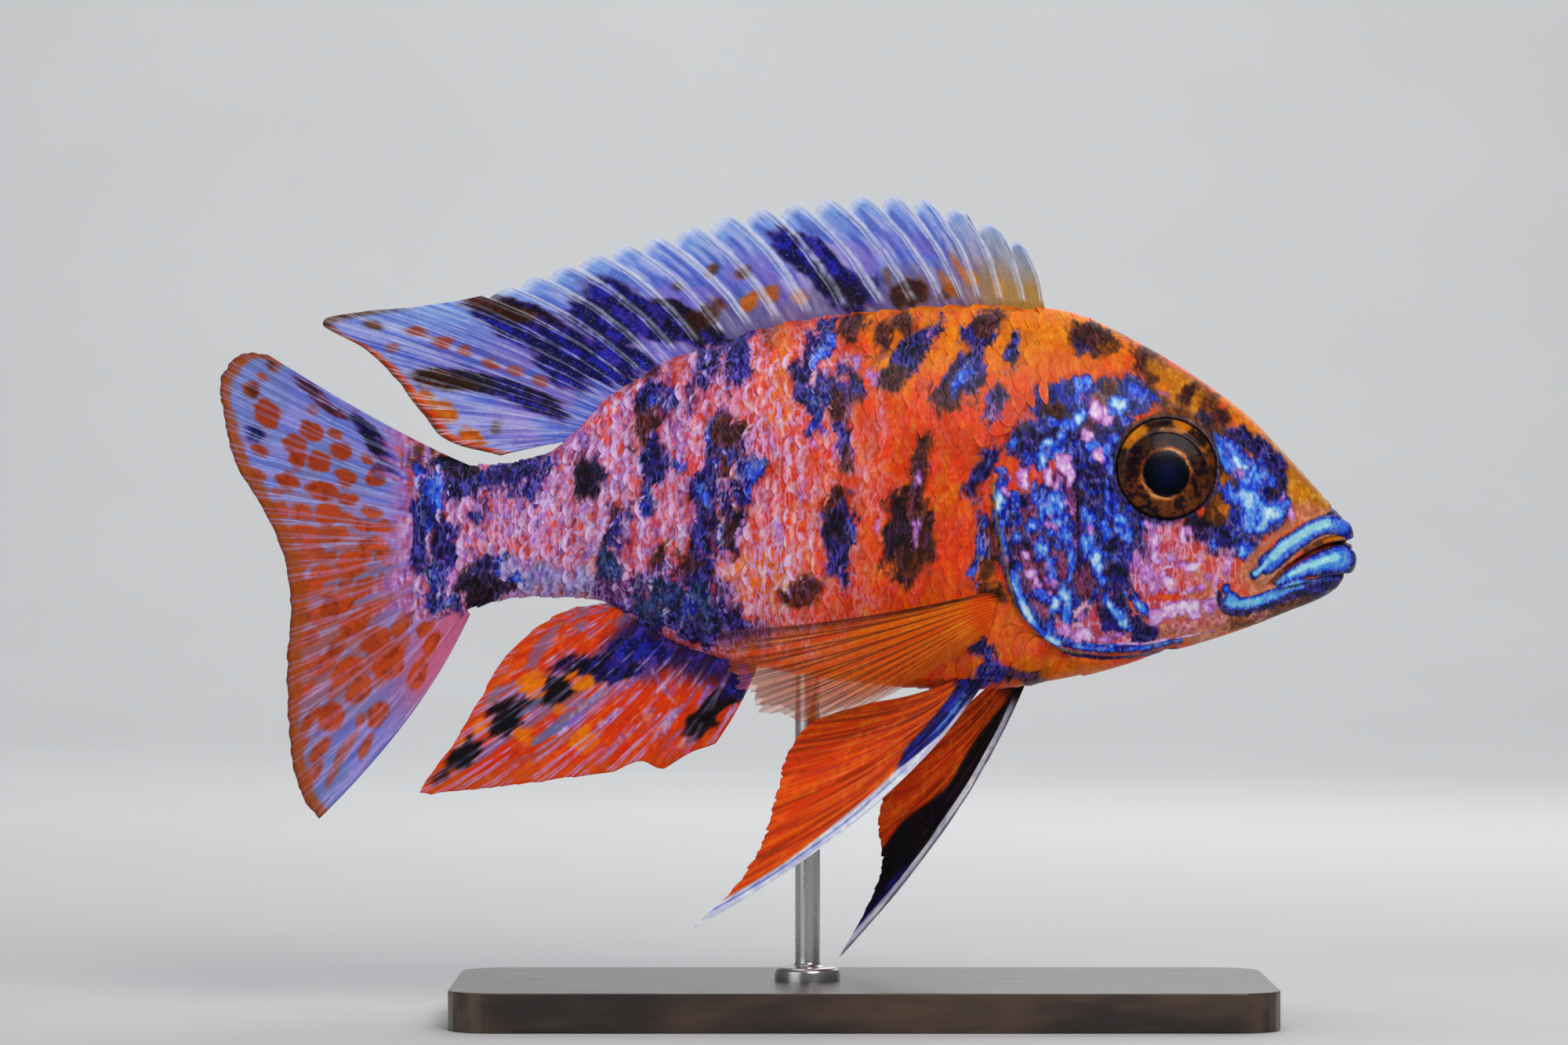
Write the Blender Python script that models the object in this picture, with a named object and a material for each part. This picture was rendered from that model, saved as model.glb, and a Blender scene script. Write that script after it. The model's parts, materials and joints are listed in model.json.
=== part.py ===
# Peacock cichlid, male of the orange-blotched form: a still, life-size model on a plain stand.
#
# Frame: metres, +Z up. The fish faces +X, its right side faces -Y, and the origin is the centre
# of the stand's underside. All sizes below are millimetres; MM turns them into metres.
#
# The fish is lofted from a table of stations (height of back and belly, half width), parted by
# thin cuts where a person names its parts, and then given a gentle S-bend seen from above.

import math

import bmesh
import bpy
from mathutils import Vector

MM = 0.001
GAP = 0.3  # clearance between neighbouring pieces

# ------------------------------------------------------------------ driving dimensions

# x, height of the back, height of the belly, half width
STATIONS = (
    (-57.0, 71.3, 50.2, 1.9),
    (-53.0, 70.8, 51.3, 2.5),
    (-49.0, 70.8, 52.6, 3.0),
    (-44.5, 71.1, 53.7, 3.4),
    (-39.0, 73.2, 53.8, 3.9),
    (-33.0, 79.0, 53.2, 4.7),
    (-27.0, 83.1, 49.6, 5.6),
    (-20.0, 86.2, 46.6, 6.5),
    (-12.0, 88.6, 44.7, 7.3),
    (-3.0, 90.1, 43.2, 8.2),
    (8.0, 91.1, 42.2, 9.0),
    (18.0, 91.2, 42.2, 9.3),
    (27.0, 90.0, 43.5, 9.1),
    (35.0, 86.4, 45.7, 8.6),
    (42.0, 82.2, 47.7, 7.7),
    (49.0, 77.0, 50.0, 6.5),
    (54.0, 71.8, 52.0, 5.5),
    (58.0, 67.4, 53.6, 4.5),
    (60.2, 64.9, 55.0, 3.5),
    (61.4, 63.2, 56.6, 2.4),
)
SNOUT_TIP = (62.2, 60.2)  # x, z where the closed jaws meet in front
# x, exponent of the upper section, exponent of the lower one, share of the height at which it is widest
SECTION_SHAPE = (
    (-57.0, 1.00, 1.00, 0.50),
    (-30.0, 1.15, 0.95, 0.50),
    (0.0, 1.22, 0.82, 0.50),
    (22.0, 1.15, 0.84, 0.48),
    (40.0, 0.92, 0.92, 0.47),
    (54.0, 0.88, 0.90, 0.46),
    (62.0, 1.00, 1.00, 0.48),
)
RING_POINTS = 26
LIP_PROUD = 0.5  # how far the lips stand out from the face
LIP_STARTS, LIP_FULL = 47.0, 55.0  # x over which they rise

# side outlines (x, z) of the thin cuts
GILL_REAR = ((23.5, 92.5), (21.5, 82.0), (19.5, 76.3), (17.2, 72.6), (16.2, 68.0), (16.9, 62.5),
             (19.0, 53.5), (22.3, 49.3), (27.0, 45.4), (29.5, 40.0))
PREOPERCLE = ((20.0, 76.8), (24.5, 76.0), (27.4, 72.0), (27.4, 64.0), (27.9, 56.5), (30.2, 51.3),
              (34.6, 48.2), (39.5, 46.3), (40.5, 40.0))
MOUTH_SLIT = ((66.0, 61.6), (61.6, 60.9), (58.8, 60.3), (56.2, 59.0), (53.6, 57.5), (51.6, 55.4))
LIP_TOP = ((66.0, 66.0), (61.6, 64.7), (60.3, 64.0), (57.6, 62.5), (54.5, 61.0), (51.8, 59.4), (49.2, 57.0), (48.6, 55.6))
JAW_REAR = ((51.6, 55.4), (49.0, 53.7), (46.9, 52.4), (45.6, 50.4), (45.0, 45.0))
TAIL_CUT_X = -33.0
TAIL_END_X, TAIL_END_ROUND = -54.6, 3.2  # rear end of the flesh at mid height, and how far its corners run forward
GILL_DEPTH = 4.6  # the gill cover's inner face lies this far from the middle plane

EYE_X, EYE_Z = 38.27, 70.22
EYE_RADIUS, EYE_BULGE, EYE_DEPTH = 6.2, 1.35, 4.0  # bulge outside its widest ring, and depth inside it
EYE_SINK = 0.25  # the widest ring lies this far under the face
EYE_TURN = (0.12, 1.0, 0.13)  # the way the eye looks: forward, outward, up

# keel rays of each fin: share of the fin, then base (x, z) where it leaves the body, then tip (x, z)
DORSAL_RAYS = (
    (0.000, 23.1, 20.6, 98.6),
    (0.039, 20.6, 17.1, 101.1),
    (0.118, 15.0, 8.6, 104.4),
    (0.197, 10.3, 0.4, 105.0),
    (0.276, 2.6, -8.1, 104.0),
    (0.355, -6.6, -16.8, 102.6),
    (0.434, -14.2, -25.8, 99.8),
    (0.512, -20.7, -33.6, 97.7),
    (0.591, -26.2, -41.5, 94.8),
    (0.670, -30.0, -48.7, 92.3),
    (0.730, -32.3, -56.7, 91.0),
    (0.790, -33.9, -64.4, 90.3),
    (0.835, -34.9, -69.3, 88.9),
    (0.870, -35.6, -63.9, 85.6),
    (0.905, -36.2, -59.4, 81.4),
    (0.935, -36.9, -56.6, 77.6),
    (0.965, -37.8, -53.2, 73.8),
    (1.000, -39.2, -46.2, 71.9),
)
DORSAL_SPINES = 18
DORSAL_NOTCHES = (3.6, 1.0)  # depth of the notch between two spines, in front and at the last spine
SPINY_SHARE = 0.67
ANAL_RAYS = (
    (0.000, -13.5, -18.7, 35.2),
    (0.080, -16.0, -24.2, 32.2),
    (0.170, -18.8, -30.4, 31.7),
    (0.300, -22.0, -38.5, 30.6),
    (0.420, -24.8, -46.4, 29.6),
    (0.520, -27.0, -53.6, 28.8),
    (0.590, -28.4, -56.4, 29.1),
    (0.680, -29.8, -52.4, 35.0),
    (0.770, -31.0, -49.2, 40.4),
    (0.860, -31.9, -45.4, 46.6),
    (0.940, -32.6, -40.2, 51.0),
    (1.000, -33.4, -36.6, 52.6),
)
ANAL_SPINES = 3
CAUDAL_TIPS = (
    (0.00, -76.0, 84.8),
    (0.07, -79.2, 85.0),
    (0.14, -81.8, 82.6),
    (0.22, -82.0, 78.6),
    (0.32, -80.4, 71.6),
    (0.42, -76.8, 65.2),
    (0.52, -74.2, 59.8),
    (0.62, -73.1, 53.0),
    (0.74, -73.6, 44.5),
    (0.86, -73.2, 35.0),
    (0.95, -71.8, 28.3),
    (1.00, -69.4, 25.5),
)
# base in front and behind, bend of the leading and the rearmost ray, and the tips: all (x, z)
PELVIC_RIGHT = {
    "base": ((15.8, 43.6), (12.6, 43.4)),
    "bend": ((4.7, 26.4), (7.0, 41.2)),
    "tips": ((0.00, -21.3, 12.6), (0.16, -16.4, 17.4), (0.34, -12.6, 23.6), (0.52, -10.8, 29.8),
             (0.70, -9.4, 34.6), (0.85, -6.4, 38.2), (1.00, 1.0, 40.6)),
}
PELVIC_LEFT = {
    "base": ((21.4, 42.6), (17.6, 42.4)),
    "bend": ((14.7, 25.9), (13.0, 39.0)),
    "tips": ((0.00, -2.9, 6.9), (0.16, 0.6, 13.4), (0.34, 2.6, 19.2), (0.52, 2.2, 25.6),
             (0.70, 4.2, 31.0), (0.85, 7.0, 35.6), (1.00, 11.0, 38.6)),
}
PELVIC_ROOT_Y, PELVIC_SPLAY = 3.2, 0.22
PECTORAL_BASE = ((16.8, 54.7), (15.4, 49.4))
PECTORAL_TIPS = ((0.00, -19.4, 49.7), (0.14, -17.2, 45.2), (0.28, -14.4, 41.2), (0.42, -11.0, 38.9),
                 (0.56, -6.4, 38.2), (0.72, -0.8, 39.8), (0.86, 5.0, 42.6), (1.00, 11.4, 46.2))
PECTORAL_SPLAY = 0.30

FIN_BASE_HALF, FIN_EDGE_HALF = 0.75, 0.30

# gentle S-bend seen from above: x where it starts, sideways shift at the end, length of the bend
HEAD_BEND = (6.0, -2.3, 56.0)
TAIL_BEND = (-16.0, 2.6, 66.0)

STAND_LENGTH, STAND_WIDTH, STAND_THICK, STAND_CORNER = 104.0, 46.0, 5.0, 6.0
ROD_X, ROD_RADIUS = -7.0, 1.6
COLLAR_RADIUS, COLLAR_HEIGHT = 4.2, 1.8

# ------------------------------------------------------------------ helpers

for leftover in list(bpy.data.objects):
    bpy.data.objects.remove(leftover, do_unlink=True)


def along(table, x, column=1):
    """Smooth value of one column of a table at x: cubic through the rows, flat beyond its ends."""
    rows = table if table[0][0] <= table[-1][0] else table[::-1]
    if x <= rows[0][0]:
        return rows[0][column]
    if x >= rows[-1][0]:
        return rows[-1][column]
    i = 0
    while rows[i + 1][0] < x:
        i += 1

    def slope(k):
        low, high = max(k - 1, 0), min(k + 1, len(rows) - 1)
        return (rows[high][column] - rows[low][column]) / (rows[high][0] - rows[low][0])

    x0, x1 = rows[i][0], rows[i + 1][0]
    span, t = x1 - x0, (x - x0) / (x1 - x0)
    p0, p1, m0, m1 = rows[i][column], rows[i + 1][column], slope(i) * span, slope(i + 1) * span
    return ((2 * t**3 - 3 * t**2 + 1) * p0 + (t**3 - 2 * t**2 + t) * m0
            + (3 * t**2 - 2 * t**3) * p1 + (t**3 - t**2) * m1)


def smooth_path(points, steps=3):
    """The points joined by a Catmull-Rom curve, as a list of (x, z)."""
    path = []
    for i in range(len(points) - 1):
        a, b, c, d = points[max(i - 1, 0)], points[i], points[i + 1], points[min(i + 2, len(points) - 1)]
        for k in range(steps):
            t = k / steps
            path.append(tuple(
                0.5 * (2 * b[n] + (c[n] - a[n]) * t + (2 * a[n] - 5 * b[n] + 4 * c[n] - d[n]) * t * t
                       + (3 * b[n] - a[n] - 3 * c[n] + d[n]) * t**3)
                for n in (0, 1)))
    path.append(points[-1])
    return path


def shifted(path, dx, dz=0.0):
    return [(x + dx, z + dz) for x, z in path]


def ease(t):
    t = min(max(t, 0.0), 1.0)
    return t * t * (3 - 2 * t)


def sway(x):
    """Sideways shift of the middle plane at x."""
    y = 0.0
    if x > HEAD_BEND[0]:
        y += HEAD_BEND[1] * ((x - HEAD_BEND[0]) / HEAD_BEND[2]) ** 2
    if x < TAIL_BEND[0]:
        y += TAIL_BEND[1] * ((TAIL_BEND[0] - x) / TAIL_BEND[2]) ** 2
    return y


def new_object(name, points, faces, smooth=True):
    """One closed mesh in metres, its faces turned outwards."""
    mesh = bpy.data.meshes.new(name)
    bm = bmesh.new()
    made = [bm.verts.new(point) for point in points]
    for face in faces:
        bm.faces.new([made[i] for i in face])
    bm.normal_update()
    bmesh.ops.triangulate(bm, faces=bm.faces[:])
    bmesh.ops.recalc_face_normals(bm, faces=bm.faces[:])
    bmesh.ops.scale(bm, vec=(MM, MM, MM), verts=bm.verts[:])
    bm.to_mesh(mesh)
    bm.free()
    thing = bpy.data.objects.new(name, mesh)
    bpy.context.scene.collection.objects.link(thing)
    if smooth:
        mesh.shade_smooth()
    return thing


def section_at(x, proud=0.0):
    """Back, belly, half width, upper and lower exponent, widest height of the body at x."""
    top, bottom, half = along(STATIONS, x, 1), along(STATIONS, x, 2), along(STATIONS, x, 3)
    up, down, share = along(SECTION_SHAPE, x, 1), along(SECTION_SHAPE, x, 2), along(SECTION_SHAPE, x, 3)
    widest = bottom + share * (top - bottom)
    return top + proud, bottom - proud, half + proud, up, down, widest


def ring(x, proud=0.0):
    top, bottom, half, up, down, widest = section_at(x, proud)
    loop = []
    for k in range(RING_POINTS):
        angle = 2 * math.pi * k / RING_POINTS
        c, s = math.cos(angle), math.sin(angle)
        power, reach = (up, top - widest) if s >= 0 else (down, widest - bottom)
        loop.append((x, math.copysign(half * abs(c) ** power, c), widest + reach * s))
    return loop


def surface_y(x, z):
    """Half width of the body at height z."""
    top, bottom, half, up, down, widest = section_at(x)
    power, reach = (up, top - widest) if z >= widest else (down, widest - bottom)
    share = min(abs(z - widest) / reach, 1.0)
    return half * (1 - share**2) ** (power / 2)


def belly_z(x, y):
    """Height of the underside at a distance y from the middle plane."""
    top, bottom, half, up, down, widest = section_at(x)
    share = min(abs(y) / half, 1.0)
    return widest - (widest - bottom) * math.sqrt(1 - share ** (2 / down))


def body_loft(name, start, stop, count, proud_fully=0.0, nose=True):
    """The body's solid from start to stop, with the nose closed to a point."""
    points, faces = [], []
    for i in range(count):
        x = start + (stop - start) * i / (count - 1)
        proud = proud_fully * ease((x - LIP_STARTS) / (LIP_FULL - LIP_STARTS))
        points += ring(x, proud)
    n = RING_POINTS
    for i in range(count - 1):
        for k in range(n):
            m = (k + 1) % n
            faces.append((i * n + k, i * n + m, (i + 1) * n + m, (i + 1) * n + k))
    faces.append(tuple(range(n)))
    if nose:
        for step in (0.55, 0.85):
            x = stop + (SNOUT_TIP[0] + proud_fully * 1.2 - stop) * step
            shrink = math.sqrt(1 - step**2) * 0.97
            for _, y, z in ring(stop, proud_fully):
                points.append((x, y * shrink, SNOUT_TIP[1] + (z - SNOUT_TIP[1]) * shrink))
        for i in (count - 1, count):
            for k in range(n):
                m = (k + 1) % n
                faces.append((i * n + k, i * n + m, (i + 1) * n + m, (i + 1) * n + k))
        last = (count + 1) * n
        points.append((SNOUT_TIP[0] + proud_fully * 1.2, 0.0, SNOUT_TIP[1]))
        for k in range(n):
            faces.append((last + k, last + (k + 1) % n, last + n))
    else:
        faces.append(tuple((count - 1) * n + k for k in reversed(range(n))))
    return new_object(name, points, faces)


def prism(name, outline, y_from, y_to):
    """A side outline pushed through from y_from to y_to, to cut or keep with."""
    n = len(outline)
    points = [(x, y_from, z) for x, z in outline] + [(x, y_to, z) for x, z in outline]
    faces = [tuple(range(n)), tuple(reversed(range(n, 2 * n)))]
    faces += [(k, (k + 1) % n, n + (k + 1) % n, n + k) for k in range(n)]
    cutter = new_object(name, points, faces, smooth=False)
    cutter.hide_render = True
    cutter.display_type = "WIRE"
    return cutter


def eyeball(name, side, grow=0.0, around=20, rows=9):
    """A flattened ball whose widest ring lies in the face; grow makes the socket that holds it."""
    out = Vector((EYE_TURN[0], side * EYE_TURN[1], EYE_TURN[2])).normalized()
    up = Vector((0.0, 0.0, 1.0))
    across = out.cross(up).normalized()
    up = across.cross(out)
    centre = Vector((EYE_X, side * surface_y(EYE_X, EYE_Z), EYE_Z)) - out * EYE_SINK

    def place(radius, height, angle):
        return tuple(centre + out * height + across * (radius * math.cos(angle)) + up * (radius * math.sin(angle)))

    points, faces = [], []
    for j in range(1, rows):
        turn = math.pi * j / rows
        height = math.cos(turn) * ((EYE_BULGE if turn < math.pi / 2 else EYE_DEPTH) + grow)
        for k in range(around):
            points.append(place((EYE_RADIUS + grow) * math.sin(turn), height, 2 * math.pi * k / around))
    for j in range(rows - 2):
        for k in range(around):
            m = (k + 1) % around
            faces.append((j * around + k, j * around + m, (j + 1) * around + m, (j + 1) * around + k))
    first, last = len(points), len(points) + 1
    points += [place(0.0, EYE_BULGE + grow, 0.0), place(0.0, -EYE_DEPTH - grow, 0.0)]
    for k in range(around):
        m = (k + 1) % around
        faces.append((k, m, first))
        faces.append(((rows - 2) * around + k, (rows - 2) * around + m, last))
    return new_object(name, points, faces)


def boolean(thing, operation, cutter):
    step = thing.modifiers.new(operation.lower(), "BOOLEAN")
    step.operation = operation
    step.solver = "EXACT"
    step.object = cutter


def settle(thing, bend=True):
    """Turns the modifiers into plain mesh and gives the mesh the S-bend."""
    bpy.context.view_layer.update()
    shaped = bpy.data.meshes.new_from_object(thing.evaluated_get(bpy.context.evaluated_depsgraph_get()))
    thing.modifiers.clear()
    thing.data = shaped
    flat = bmesh.new()  # split into triangles while the cut faces are still plane
    flat.from_mesh(shaped)
    bmesh.ops.scale(flat, vec=(1 / MM, 1 / MM, 1 / MM), verts=flat.verts[:])
    flat.normal_update()
    bmesh.ops.triangulate(flat, faces=flat.faces[:])
    bmesh.ops.scale(flat, vec=(MM, MM, MM), verts=flat.verts[:])
    flat.to_mesh(shaped)
    flat.free()
    if bend:
        for vertex in shaped.vertices:
            vertex.co.y += sway(vertex.co.x / MM) * MM
    shaped.shade_smooth()
    shaped.set_sharp_from_angle(angle=math.radians(40))
    return thing


def copy_of(thing, name):
    twin = bpy.data.objects.new(name, thing.data.copy())
    bpy.context.scene.collection.objects.link(twin)
    return twin


def paint(thing, colour, roughness, metallic=0.0, coat=0.0):
    material = bpy.data.materials.new(thing.name)
    material.use_nodes = True
    shader = material.node_tree.nodes["Principled BSDF"]
    shader.inputs["Base Color"].default_value = (*colour, 1.0)
    shader.inputs["Roughness"].default_value = roughness
    shader.inputs["Metallic"].default_value = metallic
    shader.inputs["Coat Weight"].default_value = coat
    thing.data.materials.clear()
    thing.data.materials.append(material)


def fin(name, rays, rows, half_of):
    """A closed slab over a grid of rays. Each ray is a list of (x, y, z) from base to tip;
    half_of(row share) gives half its thickness there."""
    count = len(rays)
    near, far = [], []
    for ray in rays:
        for j, (x, y, z) in enumerate(ray):
            half = half_of(j / (rows - 1))
            near.append((x, y - half, z))
            far.append((x, y + half, z))
    shift = len(near)
    points = near + far
    faces = []

    def at(i, j):
        return i * rows + j

    for i in range(count - 1):
        for j in range(rows - 1):
            quad = (at(i, j), at(i + 1, j), at(i + 1, j + 1), at(i, j + 1))
            faces.append(quad)
            faces.append(tuple(shift + k for k in reversed(quad)))
    rim = [at(i, 0) for i in range(count)] + [at(count - 1, j) for j in range(1, rows)]
    rim += [at(i, rows - 1) for i in reversed(range(count - 1))] + [at(0, j) for j in reversed(range(1, rows - 1))]
    for k in range(len(rim)):
        a, b = rim[k], rim[(k + 1) % len(rim)]
        faces.append((a, b, shift + b, shift + a))
    return new_object(name, points, faces)


def bend_ray(base, middle, tip, rows):
    """Quadratic curve from base to tip, pulled towards middle."""
    ray = []
    for j in range(rows):
        t = j / (rows - 1)
        ray.append(tuple((1 - t) ** 2 * base[n] + 2 * t * (1 - t) * middle[n] + t * t * tip[n] for n in range(len(base))))
    return ray


def tapering(base_half, edge_half=FIN_EDGE_HALF, power=0.6):
    return lambda t: edge_half + (base_half - edge_half) * (1 - t**power)


# ------------------------------------------------------------------ body, parted by thin cuts

body = body_loft("guide_body", -57.0, 61.4, 38)
face = body_loft("guide_face", 44.0, 61.4, 11, proud_fully=LIP_PROUD)
for guide in (body, face):
    guide.hide_render = True
    guide.display_type = "WIRE"

gill_rear = smooth_path(GILL_REAR)
tail_round = []
for k in range(9):
    z = 40.0 + 42.0 * k / 8
    tail_round.append((TAIL_END_X + TAIL_END_ROUND * ((z - 61.0) / 10.0) ** 2, z))

head_region = prism("cut_head", shifted(gill_rear, GAP / 2 + 0.05) + [(80.0, 38.0), (80.0, 95.0)], -20, 20)
trunk_region = prism("cut_trunk", shifted(gill_rear[::-1], -GAP / 2 - 0.05) + [(TAIL_CUT_X + GAP / 2, 95.0), (TAIL_CUT_X + GAP / 2, 38.0)], -20, 20)
stalk_region = prism("cut_stalk", tail_round + [(TAIL_CUT_X - GAP / 2, 95.0), (TAIL_CUT_X - GAP / 2, 38.0)], -20, 20)

slit = smooth_path(MOUTH_SLIT)
lip_top = smooth_path(LIP_TOP)
jaw_rear = smooth_path(JAW_REAR)
lip_outline = lip_top + shifted(slit[::-1], 0.0, GAP / 2)
jaw_outline = shifted(slit, 0.0, -GAP / 2) + jaw_rear[1:] + [(66.0, 45.0)]
mouth_outline = shifted(lip_top, -0.15, GAP) + [(48.2, 55.3), (50.2, 55.0)] + shifted(jaw_rear[2:], -GAP) + [(70.0, 44.0), (70.0, 66.3)]

lip_region = prism("cut_lip", lip_outline, -20, 20)
jaw_region = prism("cut_jaw", jaw_outline, -20, 20)
mouth_region = prism("cut_mouth", mouth_outline, -20, 20)

preopercle = smooth_path(PREOPERCLE)
gill_outline = preopercle + [(10.0, 40.0), (10.0, 76.8)]
gill_wide = shifted(preopercle, GAP) + [(9.0, 39.0), (9.0, 77.1)]
gill_wide[0] = (20.0, 77.1)

head = copy_of(body, "head")
boolean(head, "INTERSECT", head_region)
trunk = copy_of(body, "trunk")
boolean(trunk, "INTERSECT", trunk_region)
stalk = copy_of(body, "tail_stalk")
boolean(stalk, "INTERSECT", stalk_region)

gill_covers, eyes = [], []
for side, name in ((-1, "right"), (1, "left")):
    low, high = sorted((side * GILL_DEPTH, side * 20.0))
    keep = prism("cut_gill_" + name, gill_outline, low, high)
    low, high = sorted((side * (GILL_DEPTH - GAP), side * 21.0))
    room = prism("cut_gill_room_" + name, gill_wide, low, high)
    cover = copy_of(body, "gill_cover_" + name)
    boolean(cover, "INTERSECT", head_region)
    boolean(cover, "INTERSECT", keep)
    gill_covers.append(cover)
    boolean(head, "DIFFERENCE", room)
    eye = eyeball("eye_" + name, side)
    socket = eyeball("cut_socket_" + name, side, GAP)
    socket.hide_render = True
    socket.display_type = "WIRE"
    boolean(head, "DIFFERENCE", socket)
    eyes.append(eye)
boolean(head, "DIFFERENCE", mouth_region)

upper_lip = copy_of(face, "upper_lip")
boolean(upper_lip, "INTERSECT", lip_region)
lower_jaw = copy_of(face, "lower_jaw")
boolean(lower_jaw, "INTERSECT", jaw_region)

# ------------------------------------------------------------------ fins


def back_ray(table, share, rows, clearance, notch, under=False):
    """A ray of the dorsal or anal fin, from the body's edge to the fin's outline."""
    base_x = along(table, share, 1)
    tip_x, tip_z = along(table, share, 2), along(table, share, 3)
    base_z = along(STATIONS, base_x, 2) - clearance if under else along(STATIONS, base_x, 1) + clearance
    length = math.hypot(tip_x - base_x, tip_z - base_z)
    keep = max(1.0 - notch / length, 0.3)
    tip_x, tip_z = base_x + (tip_x - base_x) * keep, base_z + (tip_z - base_z) * keep
    ray = []
    for j in range(rows):
        t = j / (rows - 1)
        x, z = base_x + (tip_x - base_x) * t, base_z + (tip_z - base_z) * t
        ray.append((x, 0.35 * t * math.sin(share * 17.0 + 1.2 * t), z))
    return ray


dorsal_rays = []
for i in range(2 * DORSAL_SPINES - 1):  # spines and the notches between them
    share = SPINY_SHARE * i / (2 * DORSAL_SPINES - 2)
    deep = DORSAL_NOTCHES[0] + (DORSAL_NOTCHES[1] - DORSAL_NOTCHES[0]) * share / SPINY_SHARE
    dorsal_rays.append(back_ray(DORSAL_RAYS, share, 5, 0.35, deep if i % 2 else 0.0))
for i in range(1, 19):
    dorsal_rays.append(back_ray(DORSAL_RAYS, SPINY_SHARE + (1 - SPINY_SHARE) * i / 18, 5, 0.35, 0.0))
dorsal = fin("dorsal_fin", dorsal_rays, 5, tapering(FIN_BASE_HALF))

anal_rays = []
for i in range(2 * ANAL_SPINES + 16):
    share = i / (2 * ANAL_SPINES + 15)
    notch = 1.5 if i in (1, 3) else 0.0
    anal_rays.append(back_ray(ANAL_RAYS, share, 5, 0.35, notch, under=True))
anal = fin("anal_fin", anal_rays, 5, tapering(FIN_BASE_HALF))

caudal_rays = []
for i in range(25):
    share = i / 24
    z = 70.6 - 19.6 * share
    x = TAIL_END_X + TAIL_END_ROUND * ((z - 61.0) / 10.0) ** 2 - GAP
    tip = (along(CAUDAL_TIPS, share, 1), along(CAUDAL_TIPS, share, 2))
    # the rays leave the stalk nearly level and then fan out
    middle = (x + (tip[0] - x) * (0.42 - 0.14 * share), z + (tip[1] - z) * (0.33 + 0.15 * share))
    ray = bend_ray((x, 0.0, z), (middle[0], 0.0, middle[1]), (tip[0], 0.5 * math.sin(share * 9.0), tip[1]), 6)
    caudal_rays.append(ray)
caudal = fin("caudal_fin", caudal_rays, 6, tapering(1.7, power=0.35))

pelvics = []
for name, side, shape in (("right", -1, PELVIC_RIGHT), ("left", 1, PELVIC_LEFT)):
    rays = []
    for i in range(10):
        share = i / 9
        (bx0, bz0), (bx1, bz1) = shape["base"]
        (mx0, mz0), (mx1, mz1) = shape["bend"]
        bx = bx0 + (bx1 - bx0) * share
        y = PELVIC_ROOT_Y
        bz = belly_z(bx, y) - 0.55
        middle = (mx0 + (mx1 - mx0) * share, mz0 + (mz1 - mz0) * share)
        tip = (along(shape["tips"], share, 1), along(shape["tips"], share, 2))
        ray = []
        for x, z in bend_ray((bx, bz), middle, tip, 9):
            away = math.hypot(x - bx, z - bz)
            ray.append((x, side * (y + PELVIC_SPLAY * away + 1.5 * share * away / 30.0), z))
        rays.append(ray)
    pelvics.append(fin("pelvic_fin_" + name, rays, 9, tapering(0.8, 0.32)))

pectorals = []
for name, side in (("right", -1), ("left", 1)):
    rays = []
    for i in range(12):
        share = i / 11
        (bx0, bz0), (bx1, bz1) = PECTORAL_BASE
        bx, bz = bx0 + (bx1 - bx0) * share, bz0 + (bz1 - bz0) * share
        root = surface_y(bx, bz) + 1.0
        tip = (along(PECTORAL_TIPS, share, 1), along(PECTORAL_TIPS, share, 2))
        ray = []
        for j in range(7):
            t = j / 6
            x, z = bx + (tip[0] - bx) * t, bz + (tip[1] - bz) * t
            away = math.hypot(x - bx, z - bz)
            ray.append((x, side * (root + PECTORAL_SPLAY * away - 0.0018 * away * away), z))
        rays.append(ray)
    pectorals.append(fin("pectoral_fin_" + name, rays, 7, tapering(0.6, 0.32)))

# ------------------------------------------------------------------ stand

base_outline = []
for cx, cy, start in ((1, 1, 0), (-1, 1, 90), (-1, -1, 180), (1, -1, 270)):
    for k in range(7):
        angle = math.radians(start + 15 * k)
        base_outline.append((cx * (STAND_LENGTH / 2 - STAND_CORNER) + STAND_CORNER * math.cos(angle),
                             cy * (STAND_WIDTH / 2 - STAND_CORNER) + STAND_CORNER * math.sin(angle)))
n = len(base_outline)
stand_base = new_object(
    "stand_base",
    [(x, y, 0.0) for x, y in base_outline] + [(x, y, STAND_THICK) for x, y in base_outline],
    [tuple(reversed(range(n))), tuple(range(n, 2 * n))] + [(k, (k + 1) % n, n + (k + 1) % n, n + k) for k in range(n)],
    smooth=False,
)
edge = stand_base.modifiers.new("edge", "BEVEL")
edge.width = 0.9 * MM
edge.segments = 3
edge.limit_method = "ANGLE"
edge.angle_limit = math.radians(40)

rod_top = belly_z(ROD_X, 0.0) - GAP
rod_profile = ((COLLAR_RADIUS, STAND_THICK + GAP), (COLLAR_RADIUS, STAND_THICK + GAP + COLLAR_HEIGHT * 0.6),
               (COLLAR_RADIUS - 0.7, STAND_THICK + GAP + COLLAR_HEIGHT), (ROD_RADIUS + 0.3, STAND_THICK + GAP + COLLAR_HEIGHT),
               (ROD_RADIUS, STAND_THICK + GAP + COLLAR_HEIGHT + 0.4), (ROD_RADIUS, rod_top - 0.4), (ROD_RADIUS - 0.4, rod_top))
around = 24
points = [(ROD_X + r * math.cos(2 * math.pi * k / around), r * math.sin(2 * math.pi * k / around), z)
          for r, z in rod_profile for k in range(around)]
faces = [tuple(reversed(range(around))), tuple((len(rod_profile) - 1) * around + k for k in range(around))]
for i in range(len(rod_profile) - 1):
    for k in range(around):
        m = (k + 1) % around
        faces.append((i * around + k, i * around + m, (i + 1) * around + m, (i + 1) * around + k))
stand_rod = new_object("stand_rod", points, faces)

# ------------------------------------------------------------------ bend, finish

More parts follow.
